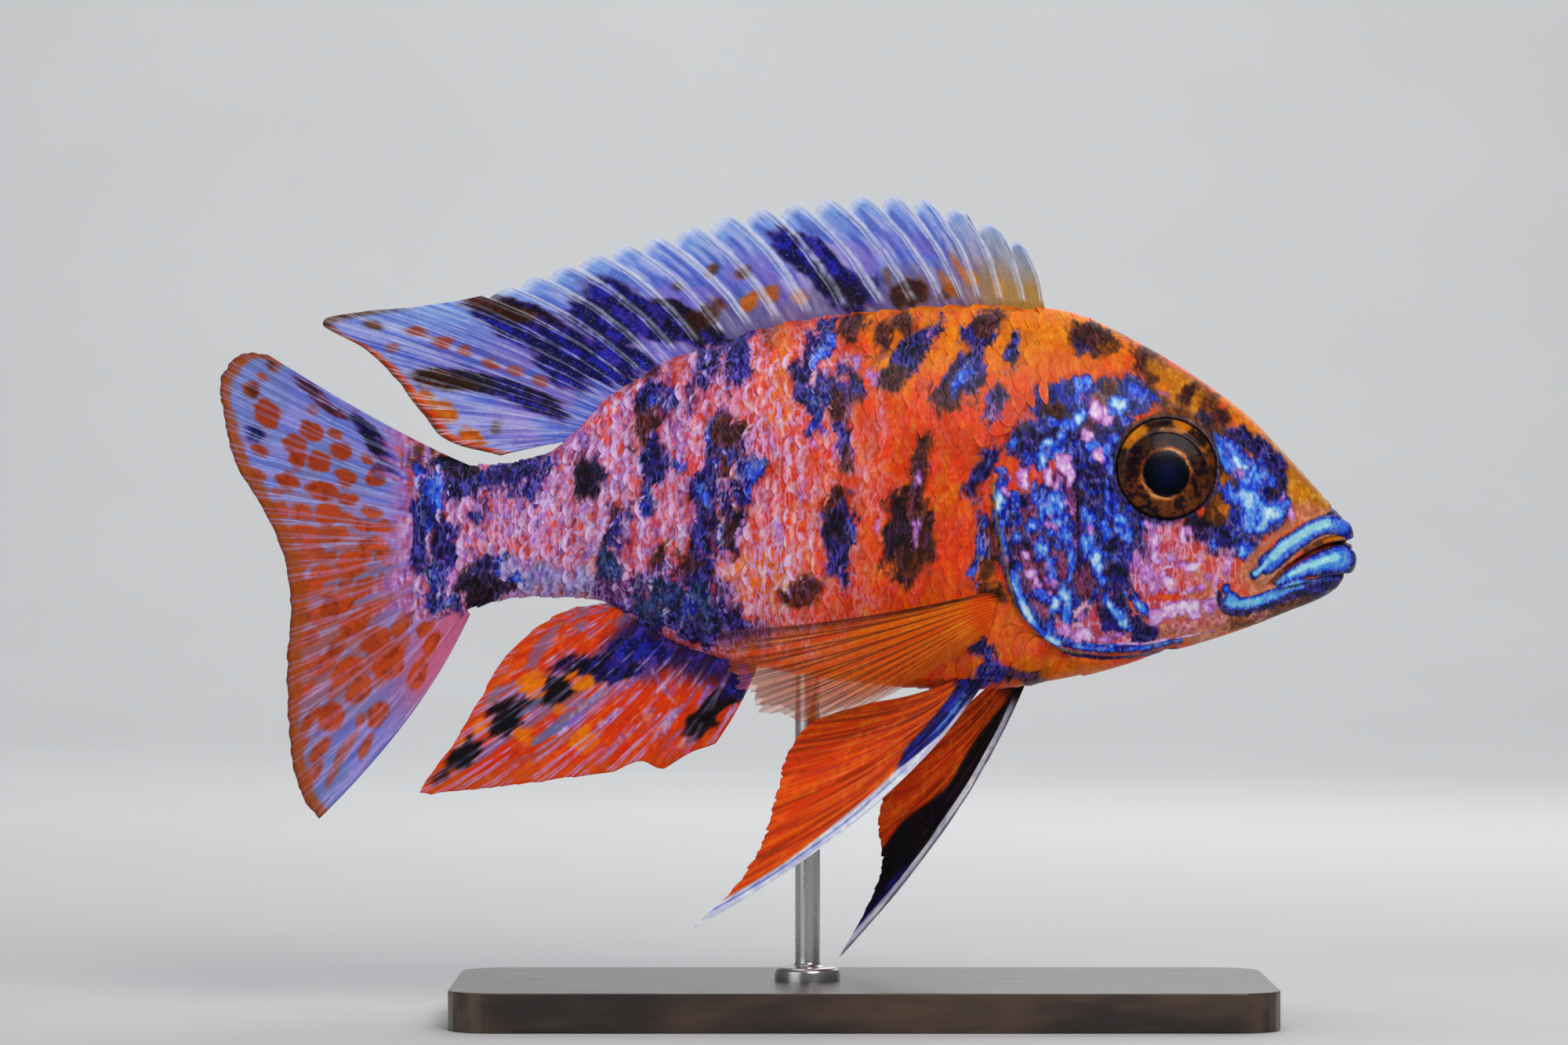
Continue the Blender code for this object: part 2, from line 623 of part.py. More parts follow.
fish = [head, trunk, stalk, upper_lip, lower_jaw, dorsal, anal, caudal] + gill_covers + pelvics + pectorals + eyes
settled = [settle(thing) for thing in fish]
settle(stand_base, bend=False)
settle(stand_rod, bend=False)
for guide in [thing for thing in bpy.data.objects if thing.name.startswith(("cut_", "guide_"))]:
    bpy.data.objects.remove(guide, do_unlink=True)

paint(head, (0.10, 0.07, 0.13), 0.38, coat=0.4)
paint(trunk, (0.55, 0.20, 0.15), 0.40, coat=0.4)
paint(stalk, (0.40, 0.17, 0.20), 0.40, coat=0.4)
paint(upper_lip, (0.45, 0.55, 0.60), 0.35, coat=0.5)
paint(lower_jaw, (0.40, 0.35, 0.40), 0.35, coat=0.5)
for cover in gill_covers:
    paint(cover, (0.30, 0.25, 0.38), 0.36, coat=0.5)
paint(dorsal, (0.35, 0.28, 0.48), 0.45, coat=0.2)
paint(anal, (0.50, 0.16, 0.10), 0.45, coat=0.2)
paint(caudal, (0.42, 0.30, 0.42), 0.45, coat=0.2)
for blade in pelvics:
    paint(blade, (0.60, 0.22, 0.08), 0.45, coat=0.2)
for blade in pectorals:
    paint(blade, (0.62, 0.30, 0.10), 0.40, coat=0.2)
for eye in eyes:
    paint(eye, (0.12, 0.07, 0.03), 0.08, coat=1.0)
paint(stand_base, (0.045, 0.028, 0.020), 0.35)
paint(stand_rod, (0.62, 0.61, 0.60), 0.28, metallic=1.0)
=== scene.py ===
# Looks of the peacock cichlid model: one skin over the flesh with scales laid on it, ribbed fins,
# eyes, and the plain stand. Lengths below are millimetres unless they say otherwise; the fish's
# right side faces -Y and the camera. Markings are worked out per vertex from short tables of
# named patches and from seeded noise.

import json
import math

import bpy
import numpy as np
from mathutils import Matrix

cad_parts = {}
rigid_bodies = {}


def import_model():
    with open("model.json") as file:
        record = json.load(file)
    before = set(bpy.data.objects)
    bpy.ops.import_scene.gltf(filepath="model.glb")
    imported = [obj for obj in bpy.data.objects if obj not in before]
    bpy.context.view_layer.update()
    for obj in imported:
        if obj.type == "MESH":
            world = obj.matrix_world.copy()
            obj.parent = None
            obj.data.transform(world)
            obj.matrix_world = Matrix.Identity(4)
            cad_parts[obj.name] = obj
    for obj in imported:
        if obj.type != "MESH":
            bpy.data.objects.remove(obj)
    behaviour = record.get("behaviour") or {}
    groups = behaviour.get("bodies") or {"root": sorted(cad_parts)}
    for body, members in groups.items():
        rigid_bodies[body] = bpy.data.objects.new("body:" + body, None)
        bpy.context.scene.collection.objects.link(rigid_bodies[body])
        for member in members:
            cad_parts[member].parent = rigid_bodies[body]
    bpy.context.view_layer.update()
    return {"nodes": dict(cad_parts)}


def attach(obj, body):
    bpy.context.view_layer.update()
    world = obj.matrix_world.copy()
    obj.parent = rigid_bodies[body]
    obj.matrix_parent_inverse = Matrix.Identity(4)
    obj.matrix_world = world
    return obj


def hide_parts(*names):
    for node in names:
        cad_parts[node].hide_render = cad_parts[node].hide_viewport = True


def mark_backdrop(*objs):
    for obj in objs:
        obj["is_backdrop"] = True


for leftover in list(bpy.data.objects):
    bpy.data.objects.remove(leftover, do_unlink=True)
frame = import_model()

MM = 0.001

# ------------------------------------------------------------------ the body's dimensions, as in the solids

STATIONS = (
    (-57.0, 71.3, 50.2, 1.9), (-53.0, 70.8, 51.3, 2.5), (-49.0, 70.8, 52.6, 3.0), (-44.5, 71.1, 53.7, 3.4),
    (-39.0, 73.2, 53.8, 3.9), (-33.0, 79.0, 53.2, 4.7), (-27.0, 83.1, 49.6, 5.6), (-20.0, 86.2, 46.6, 6.5),
    (-12.0, 88.6, 44.7, 7.3), (-3.0, 90.1, 43.2, 8.2), (8.0, 91.1, 42.2, 9.0), (18.0, 91.2, 42.2, 9.3),
    (27.0, 90.0, 43.5, 9.1), (35.0, 86.4, 45.7, 8.6), (42.0, 82.2, 47.7, 7.7), (49.0, 77.0, 50.0, 6.5),
    (54.0, 71.8, 52.0, 5.5), (58.0, 67.4, 53.6, 4.5), (60.2, 64.9, 55.0, 3.5), (61.4, 63.2, 56.6, 2.4),
)
SNOUT_TIP = (62.2, 60.2)
SECTION_SHAPE = (
    (-57.0, 1.00, 1.00, 0.50), (-30.0, 1.15, 0.95, 0.50), (0.0, 1.22, 0.82, 0.50), (22.0, 1.15, 0.84, 0.48),
    (40.0, 0.92, 0.92, 0.47), (54.0, 0.88, 0.90, 0.46), (62.0, 1.00, 1.00, 0.48),
)
GILL_REAR = ((23.5, 92.5), (21.5, 82.0), (19.5, 76.3), (17.2, 72.6), (16.2, 68.0), (16.9, 62.5),
             (19.0, 53.5), (22.3, 49.3), (27.0, 45.4), (29.5, 40.0))
PREOPERCLE = ((26.6, 73.4), (27.4, 72.0), (27.4, 64.0), (27.9, 56.5), (30.2, 51.3),
              (34.6, 48.2), (39.5, 46.6))
MOUTH_SLIT = ((66.0, 61.6), (61.6, 60.9), (58.8, 60.3), (56.2, 59.0), (53.6, 57.5), (51.6, 55.4))
TAIL_END_X, TAIL_END_ROUND = -54.6, 3.2
EYE_X, EYE_Z = 38.27, 70.22
RING = (38.85, 70.4)  # where the eye's rim shows in the side view
EYE_RADIUS, EYE_BULGE, EYE_DEPTH, EYE_SINK = 6.2, 1.35, 4.0, 0.25
EYE_TURN = (0.12, 1.0, 0.13)
DORSAL_RAYS = (
    (0.000, 23.1, 20.6, 98.6), (0.039, 20.6, 17.1, 101.1), (0.118, 15.0, 8.6, 104.4), (0.197, 10.3, 0.4, 105.0),
    (0.276, 2.6, -8.1, 104.0), (0.355, -6.6, -16.8, 102.6), (0.434, -14.2, -25.8, 99.8), (0.512, -20.7, -33.6, 97.7),
    (0.591, -26.2, -41.5, 94.8), (0.670, -30.0, -48.7, 92.3), (0.730, -32.3, -56.7, 91.0), (0.790, -33.9, -64.4, 90.3),
    (0.835, -34.9, -69.3, 88.9), (0.870, -35.6, -63.9, 85.6), (0.905, -36.2, -59.4, 81.4), (0.935, -36.9, -56.6, 77.6),
    (0.965, -37.8, -53.2, 73.8), (1.000, -39.2, -46.2, 71.9),
)
DORSAL_SPINES, DORSAL_NOTCHES, SPINY_SHARE = 18, (3.4, 1.0), 0.67
ANAL_RAYS = (
    (0.000, -13.5, -18.7, 35.2), (0.080, -16.0, -24.2, 32.2), (0.170, -18.8, -30.4, 31.7), (0.300, -22.0, -38.5, 30.6),
    (0.420, -24.8, -46.4, 29.6), (0.520, -27.0, -53.6, 28.8), (0.590, -28.4, -56.4, 29.1), (0.680, -29.8, -52.4, 35.0),
    (0.770, -31.0, -49.2, 40.4), (0.860, -31.9, -45.4, 46.6), (0.940, -32.6, -40.2, 51.0), (1.000, -33.4, -36.6, 52.6),
)
CAUDAL_TIPS = (
    (0.00, -76.0, 84.8), (0.07, -79.2, 85.0), (0.14, -81.8, 82.6), (0.22, -82.0, 78.6), (0.32, -80.4, 71.6),
    (0.42, -76.8, 65.2), (0.52, -74.2, 59.8), (0.62, -73.1, 53.0), (0.74, -73.6, 44.5), (0.86, -73.2, 35.0),
    (0.95, -71.8, 28.3), (1.00, -69.4, 25.5),
)
PELVIC_RIGHT = {
    "base": ((15.8, 43.6), (12.6, 43.4)), "bend": ((4.7, 26.4), (7.0, 41.2)),
    "tips": ((0.00, -21.3, 12.6), (0.16, -16.4, 17.4), (0.34, -12.6, 23.6), (0.52, -10.8, 29.8),
             (0.70, -9.4, 34.6), (0.85, -6.4, 38.2), (1.00, 1.0, 40.6)),
}
PELVIC_LEFT = {
    "base": ((21.4, 42.6), (17.6, 42.4)), "bend": ((14.7, 25.9), (13.0, 39.0)),
    "tips": ((0.00, -2.9, 6.9), (0.16, 0.6, 13.4), (0.34, 2.6, 19.2), (0.52, 2.2, 25.6),
             (0.70, 4.2, 31.0), (0.85, 7.0, 35.6), (1.00, 11.0, 38.6)),
}
PELVIC_ROOT_Y, PELVIC_SPLAY = 3.2, 0.22
PECTORAL_BASE = ((16.8, 54.7), (15.4, 49.4))
PECTORAL_TIPS = ((0.00, -19.4, 49.7), (0.14, -17.2, 45.2), (0.28, -14.4, 41.2), (0.42, -11.0, 38.9),
                 (0.56, -6.4, 38.2), (0.72, -0.8, 39.8), (0.86, 5.0, 42.6), (1.00, 11.4, 46.2))
PECTORAL_SPLAY = 0.30
HEAD_BEND, TAIL_BEND = (6.0, -2.3, 56.0), (-16.0, 2.6, 66.0)
STAND_THICK, GAP = 5.0, 0.3
ROD_X, ROD_RADIUS, COLLAR_RADIUS, COLLAR_HEIGHT = -7.0, 1.6, 4.2, 1.8
SIDE_VIEW_FROM = 800.0  # the markings are laid out as seen from this far off, from the point below
SIDE_VIEW_AT = (-10.0, 63.35)

# ------------------------------------------------------------------ number helpers


def along(table, x, column=1):
    """Smooth value of one column of a table at each x: cubic through the rows, flat beyond the ends."""
    rows = np.array(table, float)
    t, v = rows[:, 0], rows[:, column]
    n = len(t)
    slopes = np.array([(v[min(k + 1, n - 1)] - v[max(k - 1, 0)]) / (t[min(k + 1, n - 1)] - t[max(k - 1, 0)]) for k in range(n)])
    x = np.clip(np.asarray(x, float), t[0], t[-1])
    i = np.clip(np.searchsorted(t, x, side="left") - 1, 0, n - 2)
    span = t[i + 1] - t[i]
    s = (x - t[i]) / span
    return ((2 * s**3 - 3 * s**2 + 1) * v[i] + (s**3 - 2 * s**2 + s) * slopes[i] * span
            + (3 * s**2 - 2 * s**3) * v[i + 1] + (s**3 - s**2) * slopes[i + 1] * span)


def smooth_path(points, steps=4):
    path = []
    for i in range(len(points) - 1):
        a, b, c, d = (np.array(points[k]) for k in (max(i - 1, 0), i, i + 1, min(i + 2, len(points) - 1)))
        for k in range(steps):
            t = k / steps
            path.append(0.5 * (2 * b + (c - a) * t + (2 * a - 5 * b + 4 * c - d) * t * t + (3 * b - a - 3 * c + d) * t**3))
    path.append(np.array(points[-1]))
    return np.array(path)


def step(low, high, x):
    """0 below low, 1 above high, eased between; low may be above high."""
    t = np.clip((x - low) / (high - low), 0.0, 1.0)
    return t * t * (3 - 2 * t)


def sway(x):
    x = np.asarray(x, float)
    return (HEAD_BEND[1] * (np.maximum(x - HEAD_BEND[0], 0) / HEAD_BEND[2]) ** 2
            + TAIL_BEND[1] * (np.maximum(TAIL_BEND[0] - x, 0) / TAIL_BEND[2]) ** 2)


def section_at(x):
    top, bottom, half = (along(STATIONS, x, k) for k in (1, 2, 3))
    up, down, share = (along(SECTION_SHAPE, x, k) for k in (1, 2, 3))
    return top, bottom, half, up, down, bottom + share * (top - bottom)


def body_point(x, angle):
    """The body's surface at x and at an angle round its section: 0 is the left flank, a quarter turn the back."""
    top, bottom, half, up, down, widest = section_at(x)
    c, s = np.cos(angle), np.sin(angle)
    upper = s >= 0
    power = np.where(upper, up, down)
    reach = np.where(upper, top - widest, widest - bottom)
    return np.stack([x + 0 * c, np.sign(c) * half * np.abs(c) ** power, widest + reach * s], axis=-1)


def surface_y(x, z):
    top, bottom, half, up, down, widest = section_at(x)
    upper = z >= widest
    power, reach = np.where(upper, up, down), np.where(upper, top - widest, widest - bottom)
    share = np.minimum(np.abs(z - widest) / reach, 1.0)
    return half * (1 - share**2) ** (power / 2)


def belly_z(x, y):
    top, bottom, half, up, down, widest = section_at(x)
    share = np.minimum(np.abs(y) / half, 1.0)
    return widest - (widest - bottom) * np.sqrt(1 - share ** (2 / down))


def hashed(ix, iy, iz, seed):
    """A repeatable number from 0 to 1 for each lattice point."""
    h = (ix.astype(np.int64) * 73856093) ^ (iy.astype(np.int64) * 19349663) ^ (iz.astype(np.int64) * 83492791) ^ (seed * 374761393 + 1013904223)
    h = h & 0xFFFFFFFF
    h = (((h >> 15) ^ h) * 739982445) & 0xFFFFFFFF
    h = (((h >> 12) ^ h) * 695872825) & 0xFFFFFFFF
    h = (h >> 15) ^ h
    return (h & 0xFFFFFF) / float(0xFFFFFF)


def noise(points, size, seed=0):
    """Smooth value noise from 0 to 1; size is the lattice spacing, one number or one for each axis."""
    p = points / np.asarray(size, float)
    cell = np.floor(p).astype(np.int64)
    f = p - cell
    f = f * f * f * (f * (f * 6 - 15) + 10)
    total = 0.0
    for dx in (0, 1):
        wx = f[..., 0] if dx else 1 - f[..., 0]
        for dy in (0, 1):
            wy = f[..., 1] if dy else 1 - f[..., 1]
            for dz in (0, 1):
                wz = f[..., 2] if dz else 1 - f[..., 2]
                total = total + wx * wy * wz * hashed(cell[..., 0] + dx, cell[..., 1] + dy, cell[..., 2] + dz, seed)
    return total


def layered(points, size, seed=0, layers=3, gain=0.5):
    total, weight, amount = 0.0, 0.0, 1.0
    size = np.asarray(size, float)
    for k in range(layers):
        total = total + amount * noise(points, size / 2**k, seed + 17 * k)
        weight += amount
        amount *= gain
    return total / weight


def distance_to_path(X, Z, path):
    """Distance of each (X, Z) to a line of points, and how far along it (0 to 1) the nearest place is."""
    path = np.asarray(path, float)
    lengths = np.hypot(*np.diff(path, axis=0).T)
    runs = np.concatenate([[0], np.cumsum(lengths)])
    best, where = np.full(X.shape, 1e9), np.zeros(X.shape)
    for k in range(len(path) - 1):
        (x0, z0), (x1, z1) = path[k], path[k + 1]
        dx, dz = x1 - x0, z1 - z0
        t = np.clip(((X - x0) * dx + (Z - z0) * dz) / (dx * dx + dz * dz + 1e-12), 0, 1)
        d = np.hypot(X - x0 - t * dx, Z - z0 - t * dz)
        nearer = d < best
        best = np.where(nearer, d, best)
        where = np.where(nearer, (runs[k] + t * lengths[k]) / runs[-1], where)
    return best, where


def side_view(points):
    """Where a surface point shows in the side view that the marking tables are laid out in."""
    depth = np.abs(points[..., 1])
    near = SIDE_VIEW_FROM / (SIDE_VIEW_FROM - depth)
    X = SIDE_VIEW_AT[0] + (points[..., 0] - SIDE_VIEW_AT[0]) * near
    Z = SIDE_VIEW_AT[1] + (points[..., 2] - SIDE_VIEW_AT[1]) * near
    return X, Z


# ------------------------------------------------------------------ colours


def linear(rgb):
    rgb = np.clip(np.asarray(rgb, float), 0.0, 1.0)
    return np.where(rgb <= 0.04045, rgb / 12.92, ((rgb + 0.055) / 1.055) ** 2.4)


# name: colour, colour of its speckles (0-255), share of speckles, how much it glints,
# colour of the bright strokes on it, and how thickly they lie
TINTS = {
    "orange": ((246, 116, 0), (252, 142, 10), 0.35, 0.04, (255, 176, 120), 0.08),
    "amber": ((232, 132, 4), (248, 164, 30), 0.30, 0.04, (255, 206, 120), 0.04),
    "ochre": ((190, 110, 12), (224, 154, 44), 0.40, 0.06, (250, 206, 150), 0.05),
    "redorange": ((238, 60, 0), (250, 88, 10), 0.35, 0.06, (255, 158, 160), 0.18),
    "red": ((222, 40, 10), (240, 76, 40), 0.40, 0.10, (250, 176, 200), 0.30),
    "coral": ((226, 70, 44), (242, 124, 112), 0.45, 0.16, (240, 200, 248), 0.90),
    "rose": ((204, 66, 86), (234, 136, 170), 0.50, 0.25, (238, 210, 255), 0.95),
    "pink": ((182, 86, 138), (220, 162, 226), 0.55, 0.35, (234, 218, 255), 1.00),
    "lilac": ((150, 104, 222), (216, 192, 255), 0.60, 0.70, (240, 232, 255), 0.50),
    "pearl": ((222, 168, 230), (252, 232, 255), 0.70, 0.60, (255, 250, 255), 0.40),
    "white": ((206, 208, 240), (250, 252, 255), 0.60, 0.40, (255, 255, 255), 0.30),
    "violet": ((72, 38, 160), (140, 104, 236), 0.50, 0.50, (200, 180, 255), 0.35),
    "blue": ((20, 36, 200), (84, 132, 255), 0.60, 0.80, (180, 214, 255), 0.30),
    "azure": ((34, 92, 236), (124, 190, 255), 0.65, 1.00, (214, 240, 255), 0.30),
    "cyan": ((60, 150, 244), (184, 236, 255), 0.75, 1.00, (240, 252, 255), 0.30),
    "navy": ((12, 10, 78), (34, 38, 176), 0.50, 0.30, (120, 148, 255), 0.55),
    "ink": ((12, 6, 34), (36, 26, 130), 0.45, 0.18, (112, 104, 246), 0.60),
    "black": ((11, 6, 9), (34, 18, 46), 0.30, 0.05, (110, 84, 170), 0.22),
    "brown": ((48, 18, 10), (98, 40, 18), 0.35, 0.06, (188, 104, 150), 0.30),
    "umber": ((84, 38, 8), (140, 74, 18), 0.40, 0.06, (230, 160, 110), 0.08),
    "maroon": ((84, 18, 44), (140, 48, 100), 0.45, 0.30, (230, 170, 240), 0.30),
    "plum": ((70, 24, 70), (120, 56, 130), 0.45, 0.15, (200, 156, 250), 0.70),
    "teal": ((20, 22, 54), (38, 62, 136), 0.40, 0.10, (86, 130, 220), 0.35),
    "grey": ((112, 102, 112), (160, 150, 160), 0.30, 0.20, (220, 220, 235), 0.10),
    "slate": ((112, 118, 176), (158, 168, 226), 0.50, 0.35, (226, 232, 255), 0.30),
    "rust": ((166, 58, 30), (192, 84, 46), 0.35, 0.08, (226, 150, 150), 0.15),
    "copper": ((198, 88, 12), (222, 114, 28), 0.35, 0.06, (250, 180, 120), 0.08),
    "olive": ((116, 108, 44), (158, 148, 80), 0.30, 0.10, (230, 225, 190), 0.15),
    "flesh": ((204, 112, 72), (234, 152, 112), 0.40, 0.12, (255, 220, 200), 0.15),
}
DARK_EDGES = {"ink": "plum", "black": "brown", "navy": "plum", "brown": "umber"}
# iridescent patches: glow from nothing to full, as rising colours
BLUE_GLOW = ((0.20, (8, 8, 58)), (0.38, (18, 28, 170)), (0.54, (26, 76, 236)), (0.70, (52, 128, 248)), (0.86, (122, 194, 255)), (1.05, (214, 242, 255)))
PINK_GLOW = ((0.20, (70, 26, 104)), (0.36, (128, 60, 168)), (0.50, (196, 112, 206)), (0.68, (222, 146, 230)), (0.86, (240, 194, 250)), (1.05, (252, 236, 255)))
GLOW_PEAK = {"blue": 0.66, "azure": 0.84, "cyan": 1.06, "violet": 0.52, "lilac": 0.80, "pearl": 1.02}


class Paint:
    """Colour, glint and strokes of a set of surface points, built up by laying patches over a ground."""

    def __init__(self, X, Z, points, seed=0, wander=1.0, grain=1.0):
        flat = np.stack([X, points[..., 1] * 0.6, Z], axis=-1)
        self.flat = flat
        big = wander * (1.5 - 0.95 * step(13.0, 19.0, X))
        self.X = X + big * (layered(flat, (2.6, 4, 3.4), 301 + seed, 2) - 0.5) * 1.6 + 0.34 * wander * (layered(flat, (0.7, 1, 0.9), 305 + seed, 2) - 0.5) * 2
        self.Z = Z + big * (layered(flat, (3.0, 4, 3.0), 311 + seed, 2) - 0.5) * 1.6 + 0.44 * wander * (layered(flat, (0.6, 1, 1.2), 315 + seed, 2) - 0.5) * 2
        self.trueX, self.trueZ = X, Z
        self.colour = np.zeros(X.shape + (3,))
        self.spark = np.ones(X.shape + (3,))
        self.glint = np.zeros(X.shape)
        self.fleck = np.zeros(X.shape)
        self.blue_glow = np.zeros(X.shape)
        self.pink_glow = np.zeros(X.shape)
        self.rag = (layered(flat, (1.1, 1.5, 2.4), 5 + seed, 4, 0.70) - 0.5) * 2.6
        size = np.array((0.30, 0.6, 0.46)) * grain
        self.fine = 0.5 * noise(flat, size, 31 + seed) + 0.5 * noise(flat, size * 2.1, 37 + seed)
        self.all = np.arange(len(X))

    def tint(self, name, near):
        base, speck, share, glint, spark, fleck = TINTS[name]
        k = (step(0.62 - 0.32 * share, 0.80 - 0.32 * share, self.fine[near]))[..., None]
        return (np.array(base) * (1 - k) + np.array(speck) * k) / 255.0, glint, np.array(spark) / 255.0, fleck

    def ground(self, name):
        self.lay(self.all, np.ones(self.X.shape), name)

    def lay(self, near, mask, name):
        colour, glint, spark, fleck = self.tint(name, near)
        m = mask[..., None]
        self.colour[near] = self.colour[near] * (1 - m) + colour * m
        self.spark[near] = self.spark[near] * (1 - m) + spark * m
        self.glint[near] = self.glint[near] * (1 - mask) + glint * mask
        self.fleck[near] = self.fleck[near] * (1 - mask) + fleck * mask

    def gap(self, x, z, rx, rz, tilt, reach):
        near = np.flatnonzero((np.abs(self.X - x) < reach) & (np.abs(self.Z - z) < reach))
        a = math.radians(tilt)
        dx, dz = self.X[near] - x, self.Z[near] - z
        across, up = dx * math.cos(a) - dz * math.sin(a), dx * math.sin(a) + dz * math.cos(a)
        return near, (np.hypot(across / rx, up / rz) - 1) * math.sqrt(rx * rz)

    def patch(self, x, z, rx, rz, tilt, name, opacity=1.0, soft=0.24, rag=1.0):
        """An oval, its long axis leaning forward by tilt degrees, with a ragged edge and a dusky fringe."""
        ragged = rag * min(1.25, 0.22 + 0.60 * min(rx, rz))
        near, gap = self.gap(x, z, rx, rz, tilt, max(rx, rz) + soft + 2 * ragged + 0.8)
        if not len(near):
            return
        gap = gap + self.rag[near] * ragged
        if name in DARK_EDGES and opacity > 0.7:
            self.lay(near, 0.60 * opacity * step(soft + 0.42, -soft + 0.28, gap), DARK_EDGES[name])
        self.lay(near, opacity * step(soft, -soft, gap), name)

    def glow(self, x, z, rx, rz, tilt, name, opacity=1.0, spread=0.55):
        """An iridescent patch: it only raises the glow, and the colour comes from how high that is."""
        ragged = min(0.55, 0.10 + 0.35 * min(rx, rz))
        near, gap = self.gap(x, z, rx, rz, tilt, max(rx, rz) + spread + ragged + 0.8)
        if not len(near):
            return
        field = self.pink_glow if name in ("violet", "lilac", "pearl") else self.blue_glow
        gap = gap + self.rag[near] * ragged
        field[near] = np.maximum(field[near], opacity * GLOW_PEAK[name] * step(spread, -spread - 0.15 * min(rx, rz), gap))

    def glow_line(self, path, width, name, opacity=1.0, taper=None):
        path = smooth_path(path)
        reach = max(width, taper or 0) * 2 + 0.8
        near = self.near_path(path, reach)
        if not len(near):
            return
        d, where = distance_to_path(self.X[near], self.Z[near], path)
        w = width if taper is None else width + (taper - width) * where
        d = d + 0.16 * self.rag[near]
        field = self.pink_glow if name in ("violet", "lilac", "pearl") else self.blue_glow
        field[near] = np.maximum(field[near], opacity * GLOW_PEAK[name] * step(w * 1.35, w * 0.25, d))

    def shine(self, where=1.0, rough=0.9):
        """Turns the glow into colour, broken up by fine grain, and clears it."""
        grain = 0.50 * layered(self.flat, (0.42, 0.8, 0.80), 331, 3, 0.62) + 0.50 * layered(self.flat, (0.95, 1.2, 1.9), 335, 2)
        grain = np.clip((grain - 0.5) * 2.7 + 0.5, 0, 1)
        for field, ramp, spark in ((self.blue_glow, BLUE_GLOW, (226, 246, 255)), (self.pink_glow, PINK_GLOW, (255, 244, 255))):
            level = field * (1 - rough * 0.55 + rough * 0.75 * grain) * where
            keys = [key for key, _ in ramp]
            colours = np.array([c for _, c in ramp]) / 255.0
            shown = np.stack([np.interp(level, keys, colours[:, c]) for c in range(3)], axis=-1)
            mask = step(0.14, 0.30, level) if field is self.blue_glow else step(0.22, 0.50, level)
            m = mask[..., None]
            self.colour = self.colour * (1 - m) + shown * m
            self.spark = self.spark * (1 - m) + (np.array(spark) / 255.0) * m
            self.glint = self.glint * (1 - mask) + np.clip(level * 0.95, 0, 1) * mask
            self.fleck = self.fleck * (1 - mask) + 0.14 * np.clip(level, 0, 1) * mask
            field[:] = 0

    def near_path(self, path, reach):
        return np.flatnonzero((self.X > path[:, 0].min() - reach) & (self.X < path[:, 0].max() + reach)
                              & (self.Z > path[:, 1].min() - reach) & (self.Z < path[:, 1].max() + reach))

    def stroke(self, path, width, name, opacity=1.0, soft=0.18, rag=0.12, smooth=True, taper=None, ends=False):
        """A line of the given half width; taper gives the half width at its far end."""
        path = smooth_path(path) if smooth else np.asarray(path, float)
        near = self.near_path(path, max(width, taper or 0) + soft + rag + 0.3)
        if not len(near):
            return
        d, where = distance_to_path(self.X[near], self.Z[near], path)
        w = width if taper is None else width + (taper - width) * where
        mask = opacity * step(soft, -soft, d - w + self.rag[near] * rag)
        if ends:
            mask = mask * step(0.0, 0.15, where) * step(1.0, 0.85, where)
        self.lay(near, mask, name)


# Tables of markings, in the side view's millimetres: x, z, half width, half height, forward lean in
# degrees, tint, and opacity. Tints that are iridescent raise a glow instead of being laid flat.
BODY_ZONES = (
    (24, 87, 12, 6, -20, "amber", 0.35, 3.5), (-10.6, 82, 1.6, 9, 0, "orange", 0.7, 1.2), (-9.6, 66, 1.2, 9, 0, "redorange", 0.6, 1.0), (-13, 56.5, 5.5, 3.6, 0, "orange", 0.7, 2.5),
    (-3, 56, 6, 3.2, 0, "redorange", 0.7, 2.0), (-24.4, 84.4, 2.6, 2.0, 30, "orange", 0.8, 1.0), (-30, 81.0, 2.6, 1.4, 55, "orange", 0.7, 0.9), (-34.2, 77.6, 2.6, 2.2, 20, "redorange", 0.8, 1.2),
    (-40.5, 56.0, 7.5, 2.0, 3, "slate", 0.85, 1.2), (-36, 60, 5, 3, 0, "coral", 0.4, 2.0), (-22, 61, 4, 5, 0, "coral", 0.4, 2.5), (22, 45.5, 12, 4, 0, "redorange", 0.9, 3.0), (26, 43.6, 8, 2.6, 0, "orange", 0.7, 1.5),
    (-46, 60, 4, 5, 0, "rose", 0.5, 2.0), (14, 50, 8, 6, 0, "orange", 0.45, 3.0),
)
